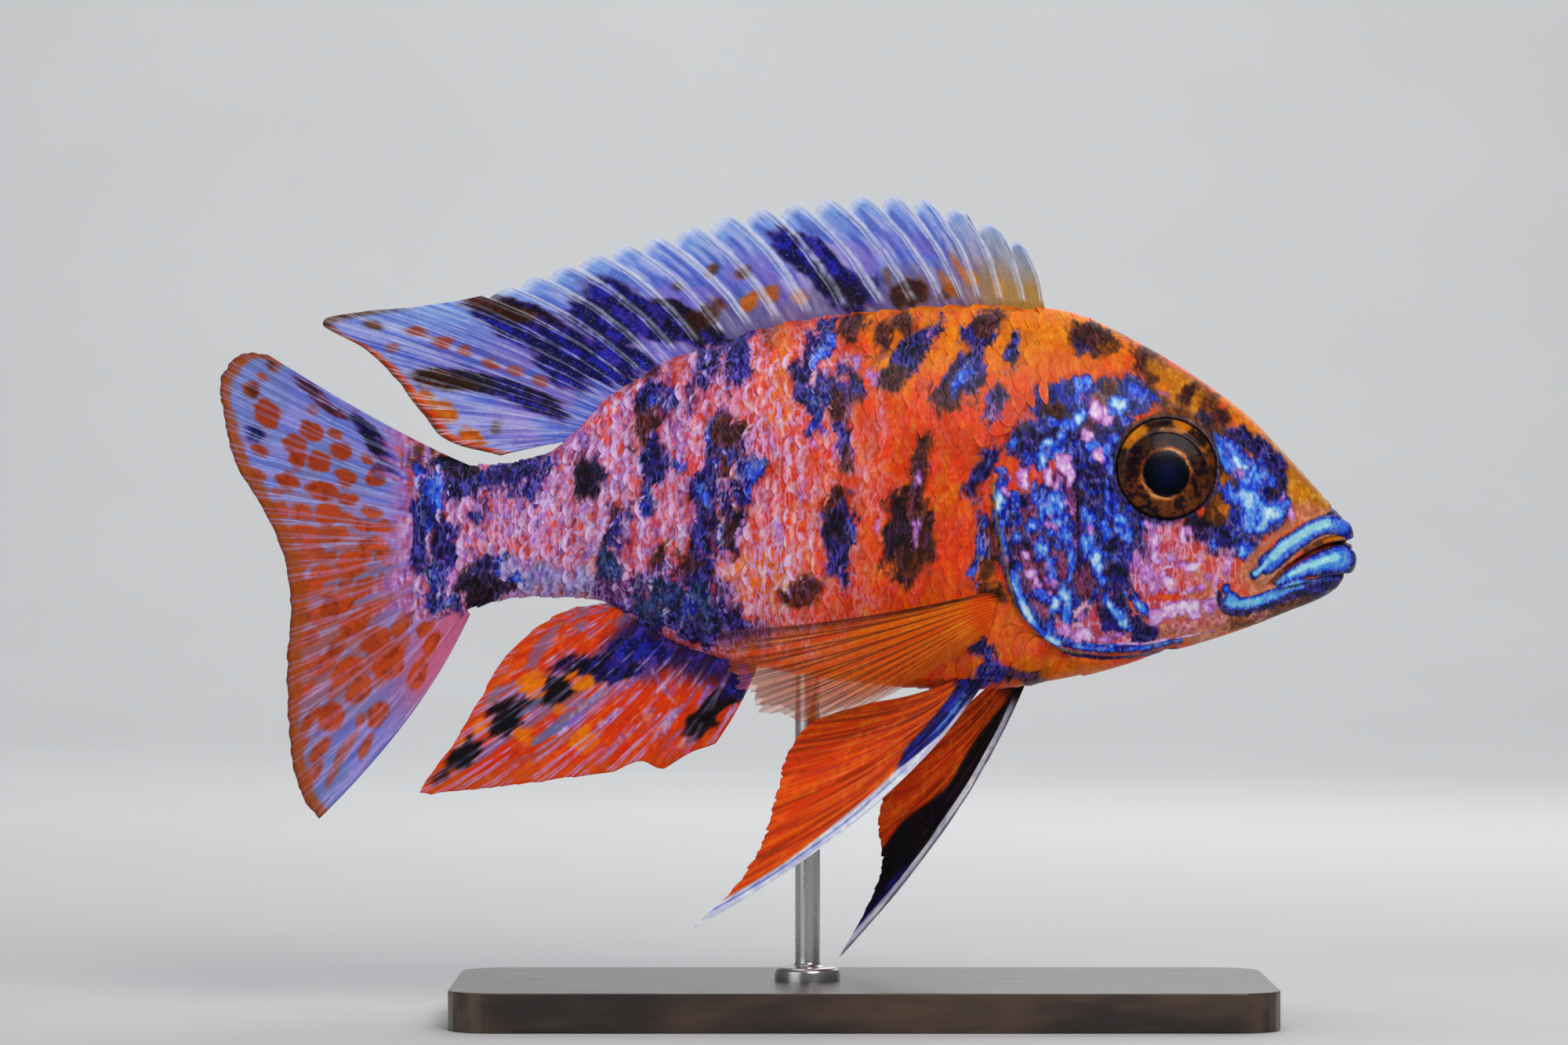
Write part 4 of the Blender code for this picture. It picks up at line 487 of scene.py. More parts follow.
HEAD_GLOWS = (
    # above and behind the eye
    (28.3, 80.7, 1.3, 1.1, 0, "azure"), (27.4, 79.2, 0.9, 1.2, 0, "azure", 0.9), (28.6, 79.4, 0.6, 0.6, 0, "lilac", 0.9), (34.8, 79.8, 1.3, 1.2, 0, "blue"), (33.0, 78.3, 0.9, 1.3, 50, "cyan"), (36.8, 79.0, 1.1, 0.4, 0, "blue", 0.9), (38.2, 79.8, 0.7, 0.3, 0, "lilac", 0.7), (30.2, 77.6, 0.9, 1.0, 0, "pearl"), (30.7, 76.4, 0.8, 0.8, 0, "pearl", 0.95),
    (28.6, 74.5, 0.7, 0.6, 0, "pearl", 0.95), (30.2, 75.2, 0.4, 0.4, 0, "lilac"), (27.9, 77.0, 0.6, 1.4, 60, "cyan", 0.95), (26.2, 75.9, 0.7, 1.0, 50, "azure"), (25.3, 74.6, 0.6, 0.8, 40, "azure", 0.85), (23.9, 73.4, 0.5, 1.1, 65, "cyan"), (24.5, 72.3, 0.7, 1.1, 70, "blue"), (22.6, 75.6, 0.5, 0.5, 0, "azure", 0.9), (19.4, 73.6, 0.5, 0.6, 0, "azure", 0.95),
    (17.6, 72.0, 0.4, 0.8, 30, "azure", 0.7), (22.9, 71.2, 0.7, 0.9, 0, "cyan", 0.9), (29.2, 72.9, 0.6, 1.0, -45, "cyan", 0.85), (30.1, 71.8, 0.4, 0.7, -40, "pearl"), (31.2, 72.9, 0.5, 1.3, 0, "azure", 0.9), (31.7, 70.4, 0.45, 0.9, 0, "azure"), (28.3, 71.2, 0.3, 0.8, 0, "blue"), (32.4, 74.2, 0.8, 0.7, 0, "azure", 0.8), (33.4, 76.2, 0.9, 0.6, 50, "blue", 0.9),
    (35.6, 77.6, 1.4, 0.3, 0, "blue", 0.8), (29.6, 68.6, 0.4, 0.5, 0, "violet", 1.1),
    # gill cover
    (25.8, 70.9, 0.8, 1.1, 0, "pearl", 1.05), (26.5, 69.3, 0.5, 1.2, 0, "pearl"), (23.7, 69.2, 0.6, 0.9, 0, "pearl", 0.95), (25.0, 68.2, 0.4, 0.8, 0, "lilac"), (20.7, 68.8, 0.5, 1.4, -10, "pearl", 0.9), (21.4, 70.3, 0.4, 0.4, 0, "lilac", 0.9), (18.4, 67.2, 0.4, 0.5, 0, "lilac"), (19.0, 69.0, 0.3, 0.5, 0, "lilac", 0.8), (17.6, 66.0, 0.65, 1.4, -10, "cyan"),
    (17.3, 68.0, 0.45, 0.9, 0, "azure", 0.9), (17.8, 64.1, 0.5, 1.0, 0, "azure"), (23.0, 66.0, 0.5, 1.6, 0, "cyan", 0.9), (24.7, 65.5, 0.9, 1.3, 0, "cyan", 0.92), (24.8, 63.5, 0.7, 0.8, 0, "azure"), (25.1, 67.4, 0.4, 0.9, 0, "azure"), (21.6, 62.9, 0.8, 0.8, 20, "cyan"), (19.8, 61.4, 0.45, 1.0, 0, "cyan", 0.9), (25.9, 62.2, 0.8, 1.5, 0, "azure"),
    (24.9, 60.6, 0.4, 0.8, 0, "azure", 0.8), (22.8, 60.0, 0.7, 1.1, 0, "cyan"), (20.8, 59.2, 0.6, 0.4, 0, "lilac"), (26.5, 58.2, 0.42, 2.3, 2, "cyan", 0.9), (24.1, 56.8, 0.55, 1.8, -12, "cyan", 0.88), (24.5, 55.4, 0.4, 0.8, -10, "pearl", 0.8), (21.4, 56.8, 0.8, 0.5, 0, "lilac"), (22.3, 55.4, 0.4, 0.6, -20, "pearl", 0.9), (22.7, 54.0, 0.5, 0.9, -30, "cyan", 0.8),
    (26.0, 54.5, 0.8, 1.1, 0, "cyan", 0.88), (24.6, 52.6, 0.6, 0.9, 0, "cyan", 0.95), (26.3, 52.0, 0.5, 1.8, 0, "azure"), (24.1, 50.1, 0.45, 1.6, 0, "azure", 0.85), (23.9, 54.1, 0.7, 0.4, 0, "violet"), (27.0, 60.6, 0.3, 1.0, 0, "violet", 0.9), (26.0, 49.8, 0.7, 0.7, 0, "pearl"), (28.2, 48.9, 1.3, 0.7, 0, "pearl", 0.9), (28.4, 51.4, 0.6, 0.5, 0, "lilac", 0.8),
    (31.4, 48.6, 1.6, 0.4, -12, "pearl", 0.7), (27.4, 53.4, 0.4, 0.6, 0, "azure", 0.8), (19.6, 57.6, 0.3, 0.6, 0, "blue"), (21.8, 64.9, 0.4, 0.5, 0, "violet"), (20.2, 64.6, 0.4, 0.4, 0, "violet", 0.9),
    # between the gill cover and the cheek
    (29.1, 62.2, 0.5, 2.2, 3, "azure"), (29.3, 62.4, 0.4, 0.6, 0, "pearl", 0.9), (28.3, 60.4, 0.35, 1.5, 0, "azure"), (30.0, 58.2, 0.75, 1.9, -6, "cyan", 0.95), (30.9, 56.0, 0.6, 0.7, 0, "azure"), (28.6, 64.4, 0.45, 1.0, 0, "azure", 0.9), (29.3, 54.0, 0.5, 1.0, 0, "azure", 0.9), (32.3, 65.2, 0.5, 0.8, 0, "azure", 0.85), (32.8, 63.2, 0.8, 1.5, -20, "cyan", 0.88),
    (33.9, 61.7, 0.5, 0.9, -20, "azure"), (32.3, 58.7, 0.9, 0.5, 20, "azure", 0.75), (36.1, 63.1, 0.9, 0.45, 0, "azure", 0.9), (30.4, 66.6, 0.3, 0.9, 0, "blue", 0.8), (34.2, 65.0, 0.7, 0.6, 0, "blue", 0.8), (30.6, 52.4, 0.3, 0.8, 0, "blue", 0.8), (32.5, 51.4, 0.6, 2.2, -38, "cyan", 0.95),
    (35.4, 52.6, 0.5, 1.8, -48, "cyan", 0.8), (37.3, 51.6, 1.0, 0.9, 0, "pearl", 0.85), (36.8, 50.6, 0.7, 0.4, 0, "violet"), (34.9, 58.4, 0.7, 1.5, 0, "lilac", 0.9), (35.8, 56.4, 0.7, 0.9, 0, "lilac", 0.85),
    # cheek
    (36.9, 61.9, 0.45, 1.6, -20, "pearl"), (37.3, 59.8, 0.4, 1.2, 8, "pearl", 0.9), (37.8, 58.4, 0.5, 0.7, 0, "lilac"), (41.3, 61.2, 0.4, 1.5, -12, "pearl"), (43.2, 60.0, 0.9, 0.5, 0, "violet", 1.2), (45.2, 60.4, 0.4, 0.6, 0, "blue"), (42.4, 57.5, 1.4, 0.5, -10, "pearl", 0.95), (40.7, 57.9, 0.7, 0.5, 0, "pearl", 0.8), (38.7, 55.8, 0.8, 1.2, -45, "pearl", 0.95),
    (36.8, 57.0, 1.1, 0.9, 0, "lilac", 0.9), (36.9, 55.1, 0.8, 0.8, 0, "lilac", 0.85), (39.6, 58.9, 0.8, 0.5, 0, "lilac", 0.8), (40.3, 52.5, 2.3, 0.75, -8, "pearl", 1.05), (42.4, 51.6, 0.9, 0.5, 0, "pearl", 0.9), (44.6, 52.8, 0.8, 1.0, 0, "pearl", 0.85), (44.0, 56.2, 0.9, 0.4, 0, "lilac", 0.6), (46.7, 58.2, 0.45, 0.5, 0, "pearl"), (47.2, 56.6, 0.4, 0.4, 0, "lilac", 0.7),
    (39.0, 60.4, 0.3, 0.8, 0, "lilac", 0.6), (42.8, 54.4, 0.8, 0.3, 0, "lilac", 0.5),
    # snout
    (47.8, 71.2, 1.5, 4.0, -45, "azure", 0.85), (50.8, 64.4, 3.4, 1.7, -25, "azure", 0.85), (48.4, 67.0, 1.6, 1.8, 0, "blue", 0.9),
    (49.0, 60.0, 1.1, 1.1, 0, "azure"), (49.0, 59.9, 0.7, 0.6, 0, "cyan", 0.9), (46.5, 72.9, 0.8, 1.8, -45, "azure"), (48.1, 71.2, 0.9, 1.9, -50, "cyan", 0.92), (50.3, 69.6, 0.8, 1.3, -42, "cyan", 0.95), (51.4, 68.7, 0.7, 0.6, 0, "azure"), (50.1, 68.0, 0.6, 0.5, 0, "azure", 0.9), (47.9, 69.6, 0.9, 0.5, 0, "violet"), (47.1, 67.0, 1.1, 1.3, 0, "blue"), (48.8, 66.9, 0.8, 0.8, 0, "azure"),
    (49.8, 66.0, 1.4, 1.1, -20, "azure"), (49.4, 64.7, 1.3, 0.9, -20, "azure", 0.95), (51.7, 64.4, 1.7, 1.3, -15, "cyan", 0.84), (50.8, 62.8, 1.1, 0.6, -10, "cyan", 0.95), (53.3, 64.5, 0.7, 0.6, 0, "azure"), (53.4, 66.4, 0.8, 0.4, 0, "lilac", 0.8), (54.6, 63.9, 0.4, 0.7, 0, "lilac", 0.9), (51.5, 67.2, 0.3, 0.3, 0, "cyan", 0.9), (47.0, 70.6, 0.6, 0.5, 0, "blue"), (48.6, 62.4, 0.8, 0.5, 0, "blue", 0.8),
    (51.2, 70.6, 0.4, 0.5, 0, "blue", 0.7),
)
SLIT = ((66.0, 61.2), (61.4, 60.9), (59.6, 60.6), (57.8, 60.0), (55.9, 58.9), (54.1, 57.4), (52.3, 55.5))
LIP_BAND = ((62.1, 61.9), (61.2, 62.9), (60.0, 63.2), (58.6, 63.1), (57.2, 62.5), (55.4, 61.2), (53.4, 59.7), (51.6, 58.2), (49.9, 56.6))
LOWER_LIP = ((61.6, 58.4), (59.6, 58.1), (57.4, 57.5), (55.2, 56.6), (52.9, 55.5))
JAW_BAND = ((55.9, 55.5), (54.4, 55.1), (52.4, 54.1), (50.2, 53.2), (48.2, 52.9))


def jittered(X, Z, points, seed):
    """The left side repeats the tables with its spots moved a little, so that the sides differ."""
    far = step(0.5, 2.5, points[..., 1])
    flat = np.stack([X, points[..., 1], Z], axis=-1)
    return (X + far * 3.0 * (noise(flat, (9, 60, 9), seed) - 0.5), Z + far * 3.6 * (noise(flat, (8, 60, 10), seed + 1) - 0.5))


def head_share(X, Z):
    """1 in front of the gill cover's rear edge, 0 behind it."""
    path = np.array(sorted(GILL_REAR, key=lambda p: p[1]))
    edge = along([(z, x) for x, z in path], Z)
    return step(-0.15, 0.15, X - edge)


def lay_marks(p, rows, wider=1.0, taller=1.0):
    for x, z, rx, rz, *rest in rows:
        p.patch(x, z, rx * wider, rz * taller, *rest)


def lay_glows(p, rows, grow=1.0, spread=0.55, power=1.0):
    for x, z, rx, rz, tilt, name, *opacity in rows:
        warm = name in ("violet", "lilac", "pearl")
        p.glow(x, z, rx * grow + 0.08, rz * grow + 0.08, tilt, name, power * (opacity or [1.0])[0], spread * (0.72 if warm else 1.0))


def markings(points, seed=0, head=True, shift=None):
    """Colours, strokes and glints of points on the body."""
    shape = points.shape[:-1]
    points = points.reshape(-1, 3)
    X, Z = side_view(points)
    X, Z = jittered(X, Z, points, 3)
    if shift is not None:
        X, Z = X + shift[..., 0].ravel(), Z + shift[..., 1].ravel()
    p = Paint(X, Z, points, seed)
    # warm in front, pink and lilac towards the tail, with upright bars where the two meet
    cloud = layered(p.flat, (6.0, 9.0, 9.0), 71, 3) - 0.5
    bars = layered(p.flat, (2.2, 6.0, 11.0), 75, 2) - 0.5
    back = X + 9 * cloud + 12 * bars
    p.ground("redorange")
    p.lay(p.all, step(76.0, 83.0, Z + 10 * cloud - 0.2 * X) * step(-2, 4, X + 8 * cloud), "orange")
    p.lay(p.all, 0.9 * step(4.0, -8.0, back), "coral")
    p.lay(p.all, 0.9 * step(-8.0, -26.0, back), "rose")
    p.lay(p.all, 0.9 * step(-24.0, -42.0, back), "pink")
    for x, z, rx, rz, tilt, name, opacity, soft in BODY_ZONES:
        p.patch(x, z, rx, rz, tilt, name, opacity, soft, 1.2)
    warm = layered(p.flat, (0.75, 1.5, 2.6), 91, 3, 0.6)
    p.lay(p.all, 0.75 * step(0.56, 0.66, warm) * step(0, -12, X), "redorange")
    p.lay(p.all, 0.45 * step(0.58, 0.68, warm) * step(-8, 4, X), "amber")
    p.lay(p.all, 0.55 * step(0.42, 0.32, warm) * step(20, 8, X), "red")
    p.patch(-40.5, 55.6, 8.5, 2.3, 2, "slate", 0.85, 1.0, 0.8)
    p.patch(-46.0, 57.4, 2.6, 1.6, 0, "slate", 0.6, 1.0, 0.8)
    p.patch(-57.2, 71.6, 2.8, 1.2, -20, "umber", 0.85, 0.8, 1.2)
    hair = layered(p.flat, (0.42, 1.4, 2.6), 97, 2, 0.6)
    pinkish = step(3.0, -10.0, X + 9 * cloud + 7 * bars) * step(48.0, 56.0, Z - 0.15 * X) * step(88.5, 84.0, Z + 3 * cloud)
    p.fleck = np.maximum(p.fleck, 0.9 * pinkish)
    p.spark = p.spark * (1 - pinkish[:, None]) + np.array((0.86, 0.72, 1.0)) * pinkish[:, None]
    p.lay(p.all, 0.66 * step(0.60, 0.69, hair) * pinkish, "pearl")
    p.lay(p.all, 0.62 * step(0.57, 0.66, hair) * pinkish * step(-12.0, -28.0, X), "lilac")
    p.lay(p.all, 0.66 * step(0.40, 0.31, hair) * pinkish * step(-10.0, -26.0, X), "violet")
    lay_marks(p, BODY_MARKS, 1.24, 1.14)
    p.lay(p.all, 0.55 * step(0.66, 0.73, hair) * step(4.0, -6.0, X) * step(0.42, 0.20, p.colour.mean(-1)), "violet")
    lay_glows(p, BODY_GLOWS, 1.0, 0.58, 0.76)
    if head:
        h = head_share(X, Z)
        p.shine(1 - h)
        body = [value.copy() for value in (p.colour, p.spark, p.glint, p.fleck)]
        p.blue_glow[:] = 0
        p.pink_glow[:] = 0
        for x, z, rx, rz, tilt, name, opacity, soft in HEAD_ZONES:
            p.patch(x, z, rx, rz, tilt, name, opacity, soft, 0.8)
        lay_marks(p, HEAD_MARKS)
        # stray light patches in the dark parts
        dark = step(37.0, 34.0, X) * step(81.0, 78.0, Z) * step(49.5, 52.0, Z) + step(44.0, 46.0, X) * step(74.0, 71.0, Z) * step(60.0, 62.0, Z) * step(55.0, 52.5, X)
        stray = layered(p.flat, (1.3, 1.6, 2.0), 361, 3, 0.6)
        p.blue_glow = np.maximum(p.blue_glow, 0.52 * step(0.52, 0.68, stray) * np.clip(dark, 0, 1))
        stray = layered(p.flat, (1.3, 1.6, 1.9), 367, 3, 0.6)
        cheek = step(35.0, 36.5, X) * step(48.0, 46.0, X) * step(53.5, 55.0, Z) * step(64.0, 62.0, Z)
        gills = step(17.5, 18.5, X) * step(28.0, 27.0, X) * step(53.0, 55.0, Z) * step(71.0, 69.0, Z)
        p.pink_glow = np.maximum(p.pink_glow, step(0.54, 0.72, stray) * np.clip(0.64 * cheek + 0.56 * gills, 0, 1))
        lay_glows(p, HEAD_GLOWS, 1.22, 0.85)
        # the gill cover's margin: blue and cyan inside a thin pale rim
        wandered = (p.X, p.Z)
        p.X, p.Z = p.trueX + 0.22 * (p.X - p.trueX), p.trueZ + 0.22 * (p.Z - p.trueZ)
        p.stroke(((20.4, 53.6), (21.4, 51.6), (23.2, 49.8), (26.0, 48.2), (30.0, 47.3), (35.0, 47.3), (40.6, 48.3)), 0.95, "navy", 0.95, 0.3, 0.15, taper=0.30)
        p.glow_line(((17.6, 68.0), (17.7, 63.0), (18.3, 59.4)), 0.35, "azure", 0.8)
        p.glow_line(((19.2, 57.0), (19.8, 54.8), (20.6, 52.6), (21.6, 50.8), (23.2, 49.0), (25.0, 48.0)), 0.62, "cyan", 0.98)
        p.glow_line(((23.4, 49.2), (26.0, 48.0), (30.0, 47.3), (35.0, 47.3), (40.6, 48.4)), 0.66, "blue", 1.0, 0.24)
        p.glow_line(((25.4, 48.6), (28.4, 47.9), (32.0, 47.7), (36.0, 47.9)), 0.26, "azure", 0.9, 0.14)
        p.glow_line(((32.6, 47.9), (36.4, 48.0), (40.4, 48.7), (45.0, 49.6)), 0.20, "pearl", 0.85, 0.12)
        p.shine(1.0, 1.0)
        for x, z, rx, rz, tilt, name, opacity in ((42.2, 59.8, 1.7, 1.4, 20, "coral", 0.80), (44.6, 57.8, 1.7, 0.9, -20, "coral", 0.80), (41.6, 55.7, 2.2, 0.6, -10, "coral", 0.75), (38.9, 61.2, 0.6, 1.5, -10, "coral", 0.7),
                                                  (40.2, 57.0, 0.5, 0.6, 0, "red", 0.6), (43.6, 54.0, 1.6, 0.35, -8, "coral", 0.6), (36.4, 59.4, 0.5, 0.9, 0, "maroon", 0.7), (37.6, 57.4, 0.5, 0.8, -30, "rose", 0.8), (35.6, 60.6, 0.6, 1.2, -10, "ink", 0.7), (38.4, 59.6, 0.4, 0.9, 10, "rose", 0.8), (46.4, 59.6, 0.9, 0.5, 0, "rose", 0.7), (36.0, 54.0, 0.8, 0.5, -30, "rose", 0.7), (39.8, 61.8, 0.5, 1.2, -10, "red", 0.5)):
            p.patch(x, z, rx, rz, tilt, name, opacity, 0.45, 1.2)
        p.stroke(((24.2, 47.3), (27.6, 46.5), (31.0, 46.1), (35.6, 46.4), (40.0, 47.4)), 0.30, "ink", 0.95, 0.15, 0.08, taper=0.12)
        p.stroke(((16.5, 68.4), (17.2, 63.4), (17.9, 59.6), (18.6, 56.4), (19.4, 53.2), (21.2, 50.0), (24.2, 47.6), (28.0, 46.6)), 0.14, "olive", 0.85, 0.10, 0.05)
        p.stroke(((27.5, 72.6), (27.4, 68.0), (27.5, 62.0), (27.6, 57.5)), 0.20, "ink", 0.95, 0.14, 0.12)
        # mouth
        p.stroke(((58.4, 64.3), (56.4, 64.0), (54.2, 62.7), (52.2, 61.1), (50.0, 59.2), (48.4, 57.2)), 0.50, "flesh", 0.9, 0.25, 0.12)
        p.stroke(((62.4, 61.5), (60.4, 61.9), (58.2, 61.4), (55.8, 60.0), (53.6, 58.0), (51.4, 55.9), (50.2, 54.8)), 0.50, "flesh", 1.0, 0.18, 0.08)
        p.stroke(((62.6, 61.2), (60.4, 61.3), (58.4, 60.8), (56.6, 59.8)), 0.34, "umber", 0.95, 0.14, 0.06)
        p.stroke(((62.6, 61.4), (60.6, 61.3), (59.0, 60.9)), 0.26, "amber", 0.8, 0.14, 0.06)
        p.stroke(LIP_BAND, 0.80, "navy", 0.95, 0.16, 0.10, taper=0.55)
        p.stroke(((62.7, 61.4), (62.4, 62.6), (61.3, 63.7), (60.0, 64.2)), 0.30, "grey", 0.8, 0.2, 0.05)
        p.stroke(LOWER_LIP, 1.75, "teal", 1.0, 0.18, 0.08, taper=0.35)
        p.stroke(((62.6, 56.8), (61.0, 56.6), (58.8, 56.5)), 0.60, "navy", 0.95, 0.3, 0.1, taper=0.2)
        p.stroke(((61.2, 60.7), (62.5, 60.0), (62.9, 58.6), (62.4, 56.8), (61.2, 55.4), (59.6, 54.6)), 0.50, "grey", 0.95, 0.22, 0.06)
        p.stroke(((61.4, 55.6), (58.0, 54.8), (55.2, 54.2), (52.4, 53.0), (49.8, 52.2), (47.2, 51.8), (45.9, 52.6), (45.6, 54.2)), 0.42, "ink", 0.9, 0.2, 0.1)
        # lips: their own azure blue, with a narrower cyan-white core along the crest of each lip roll, a painted
        # highlight of the wet lip's sheen
        p.glow_line(((61.2, 62.8), (59.3, 63.1), (57.4, 62.4), (55.6, 61.2), (53.6, 59.7), (51.6, 58.0)), 1.35, "azure", 0.85)
        p.glow_line(((59.3, 63.3), (57.4, 62.6), (55.6, 61.5), (53.6, 60.1), (52.4, 59.0)), 0.85, "cyan", 1.06)
        p.glow_line(((61.4, 62.9), (60.0, 63.2), (59.0, 63.1)), 0.45, "blue", 0.85)
        p.glow_line(((53.4, 59.7), (51.6, 58.2), (50.2, 56.9)), 0.50, "cyan", 0.96)
        p.glow_line(((61.0, 58.7), (59.4, 58.4), (57.4, 57.8), (55.4, 57.0), (53.0, 55.8)), 1.95, "azure", 0.98, 0.60)
        p.glow_line(((60.4, 58.9), (58.4, 58.3), (56.4, 57.6), (54.4, 56.6)), 1.00, "cyan", 1.08, 0.45)
        p.glow_line(JAW_BAND, 0.85, "azure", 1.05, 0.85)
        p.glow_line(((59.6, 56.1), (57.8, 55.9), (56.2, 55.6)), 0.32, "azure", 0.9)
        p.glow(47.2, 53.4, 1.05, 1.15, -20, "azure", 1.05)
        p.glow(46.5, 54.8, 0.4, 0.5, 0, "azure")
        before = p.colour.copy()
        p.shine(1.0, 0.22)
        changed = np.abs(p.colour - before).sum(axis=-1) > 0.03
        p.colour[changed] *= (0.76, 0.97, 0.96)
        p.stroke(((61.6, 56.6), (58.6, 55.9), (55.8, 55.4), (53.2, 54.9)), 0.14, "ink", 0.8, 0.16, 0.05)
        p.stroke(SLIT[1:], 0.16, "black", 1.0, 0.12, 0.03)
        p.X, p.Z = wandered
        r = np.hypot(X - RING[0], Z - RING[1])
        p.lay(p.all, step(7.1, 6.75, r + 0.3 * p.rag) * 0.75, "ink")
        p.lay(p.all, step(7.4, 6.9, r + 0.4 * p.rag) * 0.8 * step(72.5, 75.0, Z), "umber")
        p.lay(p.all, step(0.16, 0.05, np.abs(r - 6.55)) * 0.8, "grey")
        p.lay(p.all, step(6.42, 6.30, r), "brown")
        p.fleck = p.fleck * (1 - 0.45 * step(0.36, 0.16, p.colour.mean(-1)))
        h = h[:, None]
        p.colour = body[0] * (1 - h) + p.colour * h
        p.spark = body[1] * (1 - h) + p.spark * h
        p.glint = body[2] * (1 - h[:, 0]) + p.glint * h[:, 0]
        p.fleck = body[3] * (1 - h[:, 0]) + p.fleck * h[:, 0]
    else:
        p.shine()
    return {"Tint": np.clip(p.colour, 0, 1).reshape(shape + (3,)), "Spark": np.clip(p.spark, 0, 1).reshape(shape + (3,)),
            "Glint": p.glint.reshape(shape), "Fleck": p.fleck.reshape(shape), "pink": pinkish.reshape(shape)}


# ------------------------------------------------------------------ mesh helpers


def new_piece(name, points, faces, corner_uv=None, colour=None, floats=None, smooth=True):
    """A mesh object from arrays: points in mm, faces as one array or a list of arrays."""
    mesh = bpy.data.meshes.new(name)
    groups = faces if isinstance(faces, list) else [faces]
    flat = [tuple(map(int, face)) for group in groups for face in group] if len(groups) > 1 else groups[0]
    mesh.from_pydata(np.asarray(points, float) * MM, [], flat)
    if corner_uv is not None:
        layer = mesh.uv_layers.new(name="OFBake")
        uv = np.concatenate([np.asarray(part, np.float32).reshape(-1, 2) for part in corner_uv])
        layer.data.foreach_set("uv", uv.ravel())
    if colour is not None:
        layer = mesh.color_attributes.new(name="Tint", type="FLOAT_COLOR", domain="POINT")
        rgba = np.ones((len(points), 4), np.float32)
        rgba[:, :3] = linear(colour)
        layer.data.foreach_set("color", rgba.ravel())
    for key, values in (floats or {}).items():
        values = np.asarray(values, np.float32)
        if values.ndim == 2:
            layer = mesh.color_attributes.new(name=key, type="FLOAT_COLOR", domain="POINT")
            rgba = np.ones((len(points), 4), np.float32)
            rgba[:, :3] = linear(values)
            layer.data.foreach_set("color", rgba.ravel())
        else:
            layer = mesh.attributes.new(name=key, type="FLOAT", domain="POINT")
            layer.data.foreach_set("value", values.ravel())
    mesh.polygons.foreach_set("use_smooth", np.full(len(mesh.polygons), smooth))
    mesh.update()
    thing = bpy.data.objects.new(name, mesh)
    bpy.context.scene.collection.objects.link(thing)
    return thing


def grid_quads(rows, columns, wrap=False):
    i, j = np.meshgrid(np.arange(rows - 1), np.arange(columns if wrap else columns - 1), indexing="ij")
    k = (j + 1) % columns
    return np.stack([i * columns + j, i * columns + k, (i + 1) * columns + k, (i + 1) * columns + j], axis=-1).reshape(-1, 4)


def normals_of(grid, wrap):
    """Unit normals of a grid of points, by differences."""
    du = np.gradient(grid, axis=0)
    if wrap:
        dv = (np.roll(grid, -1, axis=1) - np.roll(grid, 1, axis=1)) / 2
    else:
        dv = np.gradient(grid, axis=1)
    n = np.cross(dv, du)
    return n / (np.linalg.norm(n, axis=-1, keepdims=True) + 1e-12)


# ------------------------------------------------------------------ materials


class Nodes:
    """Short way to make a material's nodes."""

    def __init__(self, name):
        self.material = bpy.data.materials.new(name)
        self.material.use_nodes = True
        self.tree = self.material.node_tree
        self.shader = self.tree.nodes["Principled BSDF"]

    def add(self, kind, inputs=(), **settings):
        node = self.tree.nodes.new(kind)
        for key, value in settings.items():
            setattr(node, key, value)
        for key, value in dict(inputs).items():
            if isinstance(value, bpy.types.NodeSocket):
                self.tree.links.new(value, node.inputs[key])
            else:
                node.inputs[key].default_value = value
        return node

    def link(self, output, socket):
        self.tree.links.new(output, self.shader.inputs[socket])

    def set(self, **values):
        for key, value in values.items():
            self.shader.inputs[key.replace("_", " ")].default_value = value

    def tint(self):
        return self.add("ShaderNodeAttribute", attribute_name="Tint").outputs["Color"]

    def value(self, name):
        return self.add("ShaderNodeAttribute", attribute_name=name).outputs["Fac"]

    def place(self, stretch=(1, 1, 1)):
        coordinates = self.add("ShaderNodeTexCoord").outputs["Object"]
        return self.add("ShaderNodeMapping", {"Vector": coordinates, "Scale": stretch}).outputs["Vector"]

    def noise(self, vector, scale, detail=3.0, rough=0.6):
        return self.add("ShaderNodeTexNoise", {"Vector": vector, "Scale": scale, "Detail": detail, "Roughness": rough}).outputs["Fac"]

    def cells(self, vector, scale):
        return self.add("ShaderNodeTexVoronoi", {"Vector": vector, "Scale": scale})

    def range(self, value, low, high, to_low=0.0, to_high=1.0):
        return self.add("ShaderNodeMapRange", {"Value": value, "From Min": low, "From Max": high, "To Min": to_low, "To Max": to_high}).outputs["Result"]

    def math(self, operation, a, b=0.5):
        return self.add("ShaderNodeMath", {0: a, 1: b}, operation=operation).outputs["Value"]

    def mix(self, factor, a, b, how="MIX"):
        node = self.add("ShaderNodeMix", data_type="RGBA", blend_type=how)
        for index, value in ((0, factor), (6, a), (7, b)):
            if isinstance(value, bpy.types.NodeSocket):
                self.tree.links.new(value, node.inputs[index])
            else:
                node.inputs[index].default_value = value
        return node.outputs[2]

    def bump(self, height, strength, distance):
        return self.add("ShaderNodeBump", {"Height": height, "Strength": strength, "Distance": distance}).outputs["Normal"]


